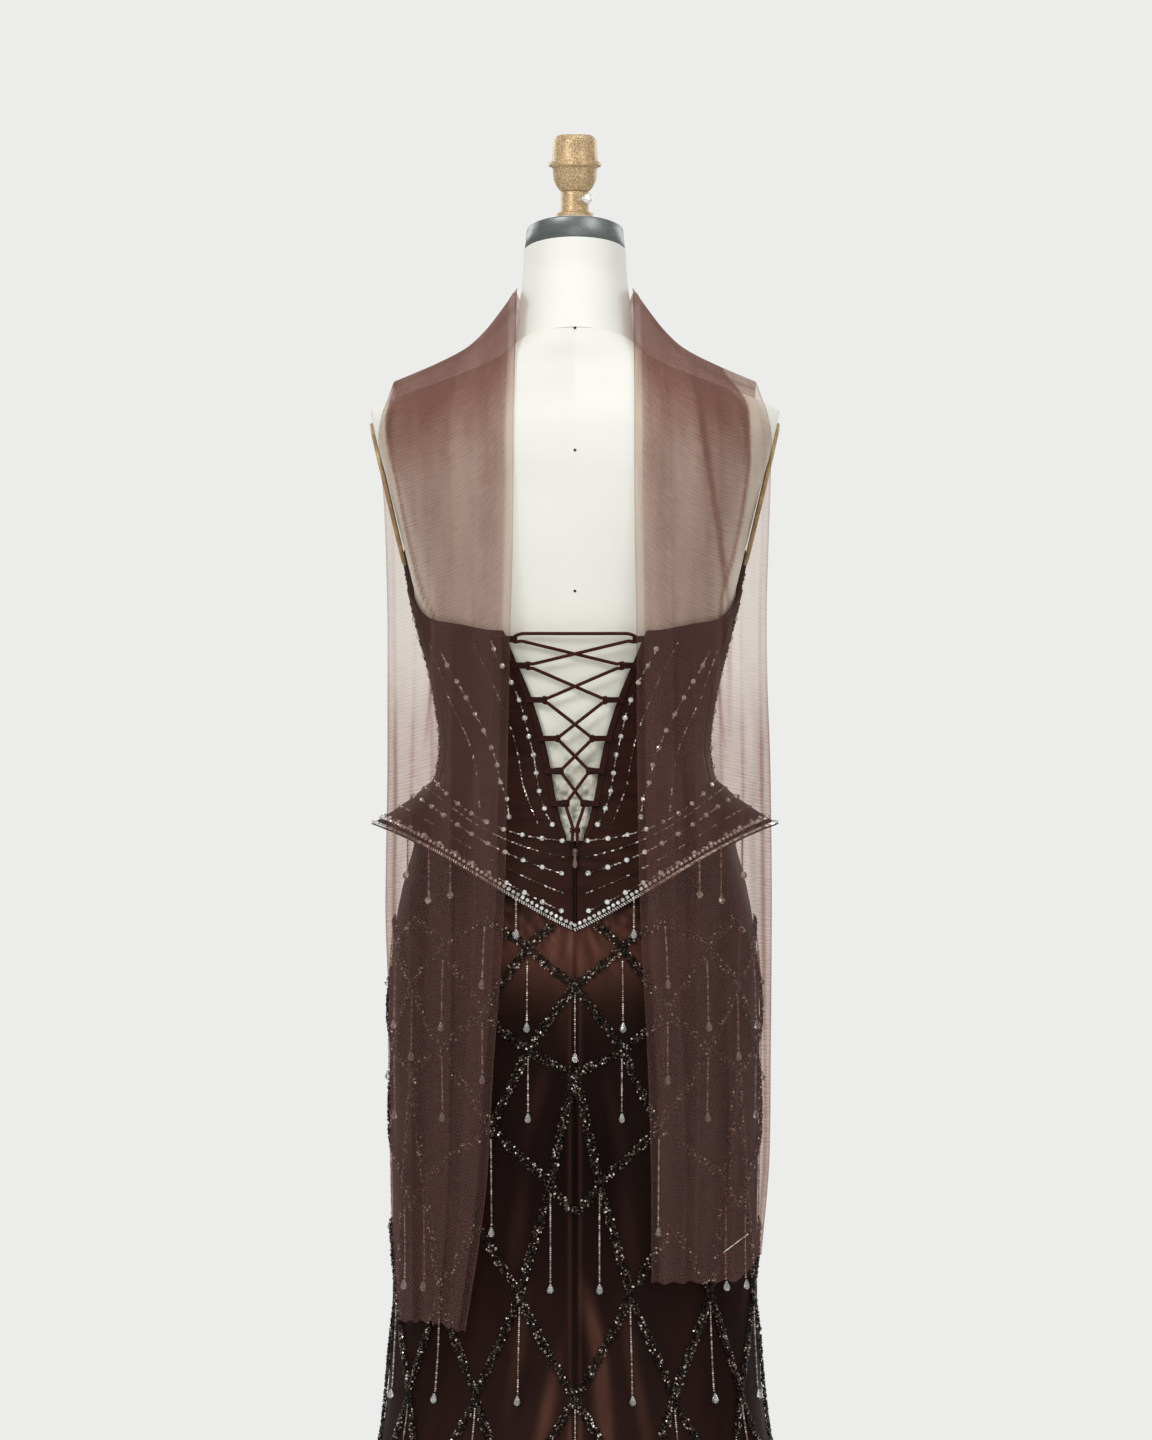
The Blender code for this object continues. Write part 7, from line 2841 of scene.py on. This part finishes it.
@dataclass
class Stole:
    """The long tulle stole: its middle round the front of the neck and its two ends down the back."""

    drape: Drape
    thick: float = 0.0010
    shoulder_clear: float = 0.0022
    front_clear: float = 0.0060
    slack: float = 0.080
    wave: float = 0.007
    front_wave: float = 0.005
    ripple: float = 0.0020
    single: float = 0.0085
    step: float = 0.0015
    fine: tuple[int, int] = (150, 76)
    front_fine: tuple[int, int] = (64, 144)
    # Where the net starts to lie gathered on its way up to the shoulder, and over what rise
    gathered_from: Pair = (1.02, 0.16)
    # Extra layers and width of the folds at the brink, at both edges and along the slant, and extra layers on
    # the shoulder with the share of the way down over which they end
    brink_fold: Pair = (1.5, 0.0016)
    edge_fold: Pair = (1.0, 0.0012)
    slant_fold: Pair = (1.3, 0.0025)
    shoulder: Pair = (1.2, 0.14)
    # Share of the way down where the hem's slant starts and over what share, each side's rise, and the ripple
    hem_from: Pair = (0.93, 0.07)
    hem_rise: Pair = (0.022, 0.008)
    hem_ripple: Pair = (0.0012, 40)
    pin: tuple[Pair, Pair] = ((0.139, 0.572), (0.163, 0.590))

    shares = (0, 0.006, 0.018, 0.036, 0.06, 0.09, 0.13, 0.18, 0.25, 0.33, 0.42,
              0.50, 0.57, 0.65, 0.75, 0.87, 1)
    front_shares = (0, 0.04, 0.09, 0.15, 0.23, 0.33, 0.43, 0.53, 0.64, 0.75, 0.87, 1)
    columns = 24
    front_columns = 48
    hems = {Side.LEFT: 0.500, Side.RIGHT: 0.546}
    edges = {
        Side.LEFT: Table(
            "z inner outer", (0.500, 0.103, 0.166), (0.550, 0.089, 0.172), (0.690, 0.081, 0.174),
            (0.810, 0.072, 0.176), (0.905, 0.066, 0.179), (1.010, 0.064, 0.177), (1.160, 0.061, 0.177),
            (1.290, 0.058, 0.181), (1.345, 0.058, 0.186), (1.400, 0.057, 0.172), (1.485, 0.055, 0.168)),
        Side.RIGHT: Table(
            "z inner outer", (0.546, 0.072, 0.176), (0.600, 0.072, 0.182), (0.680, 0.071, 0.184),
            (0.763, 0.068, 0.185), (0.905, 0.061, 0.186), (1.010, 0.059, 0.185), (1.160, 0.058, 0.181),
            (1.300, 0.056, 0.185), (1.345, 0.056, 0.186), (1.400, 0.056, 0.172), (1.485, 0.055, 0.168)),
    }
    ridge = Table("x z", (0.055, 1.4850), (0.070, 1.4640), (0.085, 1.4450), (0.103, 1.4285), (0.130, 1.4140),
                  (0.160, 1.4010), (0.172, 1.3960))
    # Upright folds of each end: share across at the top and at the hem, width, height and extra layers of net
    folds = {
        Side.LEFT: ((0.93, 0.95, 0.030, 0.0030, 1.2), (0.78, 0.80, 0.026, 0.0026, 0.8),
                    (0.66, 0.60, 0.020, 0.0022, 0.5), (0.50, 0.42, 0.030, 0.0030, 0.7),
                    (0.30, 0.24, 0.022, 0.0026, 0.5), (0.14, 0.12, 0.018, 0.0020, 0.4)),
        Side.RIGHT: ((0.94, 0.95, 0.028, 0.0030, 1.2), (0.82, 0.72, 0.024, 0.0026, 0.9),
                     (0.62, 0.66, 0.024, 0.0026, 0.6), (0.46, 0.40, 0.024, 0.0028, 0.6),
                     (0.26, 0.28, 0.022, 0.0024, 0.5), (0.12, 0.12, 0.018, 0.0020, 0.4)),
    }
    # Where the doubled net ends beside the arms, and a slanting fold on the right: distance out by height
    brink = {
        Side.LEFT: Table("z x", (1.000, 0.150), (1.110, 0.136), (1.172, 0.134), (1.194, 0.144), (1.298, 0.168),
                         (1.357, 0.178), (1.391, 0.172)),
        Side.RIGHT: Table("z x", (1.000, 0.150), (1.110, 0.136), (1.190, 0.139), (1.232, 0.150),
                          (1.287, 0.1606), (1.325, 0.1648), (1.369, 0.1634), (1.410, 0.139)),
    }
    slant = Table("z x", (1.180, 0.146), (1.260, 0.135), (1.341, 0.1226), (1.410, 0.114))

    def build(self) -> None:
        """Build both ends and the middle."""
        for side in Side:
            self._tail(side)
        self._front()

    def _tail(self, side: Side) -> None:
        """Build one end, from the ridge of the shoulder down the back to its hem.

        Args:
            side: The side.
        """
        edges, hem = self.edges[side], self.hems[side]
        widths, depths, levels = tables = [np.zeros((len(self.shares), self.columns + 1)) for _ in range(3)]
        for c in range(self.columns + 1):
            across = c / self.columns
            top_x = mix(edges.at("inner", 1.485), edges.at("outer", 1.400), across)
            top = self.ridge.at("z", top_x)
            for r, share in enumerate(self.shares):
                z = mix(top, hem, share)
                x = mix(edges.at("inner", z), edges.at("outer", z), across) if r else top_x
                reach = self.drape.hung(x, self.ridge.at("z", x), hem, True)
                clear = self.shoulder_clear if r else 0
                depths[r, c] = reach(z - self.slack * smooth((1.20 - z) / 0.10)) + clear
                widths[r, c], levels[r, c] = x, z + self.shoulder_clear * (1 - share)
        depths[0] = -self.drape.ridge_y + LAYERS.gap / 2

        def spot(at: Triple, share: float, across: float, wide: float) -> tuple[Vector, float]:
            """Return a point of the net, lifted by its waves and folds, and its layers.

            Args:
                at: The coarse point: distance out, depth and height.
                share: Share of the way down.
                across: Share of the way across.
                wide: The whole width there.

            Returns:
                The point and its layers.
            """
            wave = self.wave * smooth(share * 3) * (0.5 - 0.5 * math.cos(TAU * 3 * across))
            lift, extra = self._folds(side, across, share)
            point = Vector((side.value * at[0], -(at[1] + wave + lift * smooth(share * 8)), at[2]))
            return point, self._layers(side, across * wide, wide, point, share) + extra

        grid, ply = self._net(tables, self.shares, *self.fine, spot)
        self._hem(side, grid)
        if side is Side.RIGHT:
            self._pin(grid)
        self._sheet("stole_tail_" + side.word, grid, ply, [f"arm_plate_{side.word}_dressed"])

    def _net(self, tables: Sequence[np.ndarray], shares: Sequence[float], rows: int, columns: int,
             spot: Callable[[Triple, float, float, float], tuple[Vector, float]]) -> tuple[Grid, Values]:
        """Return the fine grid of a stretch of net and its layers.

        Args:
            tables: Coarse widths, depths and heights.
            shares: How far down each of their rows lies.
            rows: Steps down the fine grid.
            columns: Steps across it.
            spot: Gives the point and layers from a coarse point, the shares down and across and the width.

        Returns:
            The points and the layers.
        """
        fine = np.stack([self._finer(table, rows, columns) for table in tables], axis=2)
        down = np.interp(np.linspace(0, 1, rows + 1), np.linspace(0, 1, len(shares)), shares)
        made = [[spot(fine[r, c], down[r], c / columns, fine[r, -1, 0] - fine[r, 0, 0])
                 for c in range(columns + 1)]
                for r in range(rows + 1)]
        return [[point for point, _ in row] for row in made], [[layers for _, layers in row] for row in made]

    def _pin(self, grid: Grid) -> None:
        """Lay the dressmaker's pin that catches the right end near its hem.

        Args:
            grid: The right end's points.
        """
        ends = []
        for x, z in self.pin:
            near = min((point for row in grid for point in row), key=lambda at: math.hypot(at.x - x, at.z - z))
            ends.append(Vector((x, near.y - self.thick - 0.0012, z)))
        along = ends[1] - ends[0]
        long = along.length
        profile = [(0, 0), (0.00035, 0.0020), (0.00040, long), (0.0010, long), (0.0010, long + 0.0005),
                   (0, long + 0.0006)]
        mesh = Shapes.turned("dressmakers_pin", profile, 12, facing(ends[0], along))
        Piece.add("dressmakers_pin", mesh, BRIGHT, "bright_steel")

    def _layers(self, side: Side, inside: float, wide: float, point: Vector, share: float) -> float:
        """Return how many layers of net lie at a point: one at the edges, two between, more on the shoulder.

        Args:
            side: The end of the stole.
            inside: Distance from its inner edge.
            wide: Its whole width there.
            point: The point.
            share: How far down the end it lies.

        Returns:
            The number of layers, not always whole.
        """
        x, z = abs(point.x), point.z
        start, rise = self.gathered_from
        high = smooth((z - start) / rise)
        past = x - self.brink[side].at("x", z)
        beside = smooth(past / self.step)
        layers = mix(1.0, 2.0, smooth((inside - self.single + self.step) / self.step) * (1 - high * beside))
        more, width = self.brink_fold
        most, end = self.shoulder
        layers += more * high * bell(past, width) + most * (1 - smooth(share / end)) * (1 - beside)
        more, width = self.edge_fold
        layers += more * bell(inside, width) + more * bell(wide - inside, width)
        if side is Side.RIGHT:
            more, width = self.slant_fold
            layers += more * high * bell(x - self.slant.at("x", z), width)
        return layers

    def _folds(self, side: Side, across: float, share: float) -> Pair:
        """Return how far the folds lift the net and how many layers they add.

        Args:
            side: The side.
            across: Share of the way across.
            share: Share of the way down.

        Returns:
            The lift and the extra layers.
        """
        lift = extra = 0.0
        for top, low, width, height, more in self.folds[side]:
            beside = across - (mix(top, low, smooth(share)) + 0.012 * math.sin(share * 9 + top * 20))
            lift += height * bell(beside, width)
            extra += more * bell(beside, width * 0.45) * mix(0.3, 1.0, smooth((share - 0.22) / 0.25))
        return lift, extra

    def _hem(self, side: Side, grid: Grid) -> None:
        """Slant the hem: it climbs to the outer side on the right and falls to it on the left.

        Args:
            side: The side.
            grid: Its points, which are moved.
        """
        (start, over), (right, left), (ripple, pace) = self.hem_from, self.hem_rise, self.hem_ripple
        for r, row in enumerate(grid):
            near = smooth((r / (len(grid) - 1) - start) / over)
            for c, point in enumerate(row if near > 0 else []):
                across = c / (len(row) - 1)
                rise = (right * smooth((across - 0.72) / 0.28) ** 1.5 if side is Side.RIGHT
                        else left * smooth(across * 2))
                point.z += near * (rise + ripple * math.sin(across * pace))

    @staticmethod
    def _finer(table: np.ndarray, rows: int, columns: int) -> np.ndarray:
        """Return a table of numbers resampled smoothly to more rows and columns.

        Args:
            table: The numbers.
            rows: Steps down the new table.
            columns: Steps across it.

        Returns:
            The new table.
        """
        for count in (rows, columns):
            size = table.shape[0] - 1
            places = np.linspace(0, size, count + 1)
            i = np.minimum(places.astype(int), size - 1)
            t = (places - i)[:, None]
            a, b, c, d = table[np.maximum(i - 1, 0)], table[i], table[i + 1], table[np.minimum(i + 2, size)]
            table = b + 0.5 * t * (c - a + t * (2 * a - 5 * b + 4 * c - d + t * (3 * (b - c) + d - a)))
            table = table.T
        return table

    def _front(self) -> None:
        """Build the middle, round the front of the neck and down over the chest."""
        widest, near = self.ridge.keys[-1], self.ridge.keys[0]
        tables = [np.zeros((len(self.front_shares), self.front_columns + 1)) for _ in range(3)]
        for c, x in enumerate(even(-widest, widest, self.front_columns)):
            top = self.ridge.at("z", abs(x))
            if abs(x) < near:
                top = mix(1.440, self.ridge.at("z", 0), (abs(x) / near) ** 4)
            low = mix(1.245, 1.330, (abs(x) / widest) ** 2)
            reach = self.drape.hung(x, top, low, False)
            for r, share in enumerate(self.front_shares):
                z = mix(top, low, share)
                for table, value in zip(tables, (x, reach(z) + self.front_clear, z + self.shoulder_clear)):
                    table[r, c] = value
            if abs(x) >= near - 0.001:
                tables[1][0, c] = self.drape.ridge_y + LAYERS.gap / 2

        def spot(at: Triple, share: float, across: float, _wide: float) -> tuple[Vector, float]:
            """Return a point of the net, moved by its waves and ripples, and its layers.

            Args:
                at: The coarse point: distance out, depth and height.
                share: Share of the way down.
                across: Share of the way across.
                _wide: The whole width there, which changes nothing here.

            Returns:
                The point and its layers.
            """
            wave = self.front_wave * smooth(share * 4) * (0.5 - 0.5 * math.cos(TAU * 3 * share))
            swing = (share + 0.03 * math.sin(across * 11)) * 34
            ripple = self.ripple * smooth(share * 6) * math.sin(swing)
            return Vector((at[0], at[1] + wave + ripple, at[2])), 2.0 + 0.5 * max(math.sin(swing), 0) ** 6

        self._sheet("stole_front", *self._net(tables, self.front_shares, *self.front_fine, spot))

    def _sheet(self, name: str, grid: Grid, ply: Values, rests_on: Sequence[str] = ()) -> None:
        """Build one stretch of the stole a net's thickness outside a grid.

        Args:
            name: The piece's name.
            grid: The inner points.
            ply: How many layers of net lie at each point.
            rests_on: Other pieces that it rests on.
        """
        outer = []
        for r, row in enumerate(grid):
            made = []
            for point in row:
                away = Vector((point.x, point.y - self.drape.ridge_y, 0)).normalized()
                if r < 2 and point.y < 0:
                    away = away.lerp(Vector((0, 0, 1)), 1 - r / 2).normalized()
                made.append(point + away * self.thick)
            outer.append(made)
        Cloth.sew(name, "net", (grid, outer), TULLE, "brown_tulle", Hold.DRAPED, rests_on, {"ply": ply})


# ---------------------------------------------------------------- studio
@dataclass
class Studio:
    """Pale floor and world, soft lights and the camera."""

    middle: Colour = (0.001, -0.060, 1.076)
    distance: float = 9.000
    lens: float = 237.0
    floor_radius: float = 2.6
    floor_z: float = -0.0005
    pale: Colour = (0.84, 0.84, 0.83)
    # Name, place, size and power
    lamps: tuple = (("key", (-2.3, -3.3, 3.0), 1.3, 78.0), ("fill", (2.6, -3.2, 1.8), 1.6, 34.0),
                    ("top", (0.2, -0.4, 3.6), 1.8, 26.0), ("low", (0.0, -3.8, 0.5), 1.2, 8.0),
                    ("back_left", (-2.2, 2.6, 2.4), 1.5, 26.0), ("back_right", (2.2, 2.6, 2.0), 1.5, 22.0))

    def build(self) -> None:
        """Set up everything round the gown."""
        self._floor()
        self._world()
        self._camera()
        for name, at, size, power in self.lamps:
            lamp = bpy.data.lights.new(name, "AREA")
            lamp.shape, lamp.size, lamp.energy = "SQUARE", size, power
            thing = Piece.link(name, lamp)
            thing.location = at
            thing.rotation_euler = (Vector((0, 0, 1.0)) - thing.location).to_track_quat("-Z", "Y").to_euler()
        bpy.context.scene.view_settings.view_transform = "Standard"

    def _floor(self) -> None:
        """Add the round floor, which glows a little to the camera to meet the backdrop, and keeps shadows."""
        rim = [Vector((x, y, self.floor_z)) for x, y in circle(96, self.floor_radius, self.floor_radius)]
        mesh = Piece.mesh("floor", rim, [range(96)], 40.0)
        made = bpy.data.materials.new("pale floor")
        graph = Graph.of(made)
        plain = graph.add("ShaderNodeBsdfPrincipled", {"Base Color": (*self.pale, 1), "Roughness": 0.9})
        glow = graph.add("ShaderNodeEmission", {"Color": (*self.pale, 1), "Strength": 1.0})
        seen = graph.times(graph.add("ShaderNodeLightPath").outputs["Is Camera Ray"], 0.6)
        graph.add("ShaderNodeOutputMaterial", {"Surface": graph.mixed(seen, plain, glow)})
        mesh.materials.append(made)
        Piece.link("floor", mesh)

    def _world(self) -> None:
        """Light the scene evenly, and show a pale backdrop to the camera, to glossy rays and through glass."""
        world = bpy.data.worlds.new("studio")
        graph = Graph.of(world)
        path = graph.add("ShaderNodeLightPath").outputs
        seen = graph.math("MAXIMUM", path["Is Camera Ray"], path["Is Transmission Ray"])
        seen = graph.math("MAXIMUM", seen, graph.times(path["Is Glossy Ray"], 0.4))
        light = graph.add("ShaderNodeBackground", {"Color": (1, 1, 1, 1), "Strength": 0.34})
        shown = graph.add("ShaderNodeBackground", {"Color": (*self.pale, 1), "Strength": 1.0})
        graph.add("ShaderNodeOutputWorld", {"Surface": graph.mixed(seen, light, shown)})
        bpy.context.scene.world = world

    def _camera(self) -> None:
        """Add the level camera behind the gown."""
        data = bpy.data.cameras.new("camera")
        data.lens, data.sensor_width, data.sensor_fit, data.clip_end = self.lens, 36.0, "AUTO", 60
        camera = Piece.link("camera", data)
        x, y, z = self.middle
        camera.location = (x, y - self.distance, z)
        camera.rotation_euler = (math.pi / 2, 0, 0)
        bpy.context.scene.camera = camera


def main() -> None:
    """Dress the model and set up the studio."""
    logging.basicConfig(level=logging.INFO, format="%(name)s %(message)s")
    spreader = BeadSpreader()
    relief, form, basque = Relief(), DressForm(), Basque()
    form.build()
    Skirt(relief).build()
    Bodice(relief).build()
    basque.build()
    basque.trim(spreader)
    Zip().build(spreader)
    Lacing().build()
    BodiceBeads().build(spreader)
    BasqueBeads(basque=basque).build(spreader)
    lattice = Lattice(relief)
    lattice.build(spreader)
    Drops(lattice, basque).build(spreader)
    Stole(Drape(form)).build()
    BeadShapes.clear()
    Studio().build()


if __name__ == "__main__":
    main()
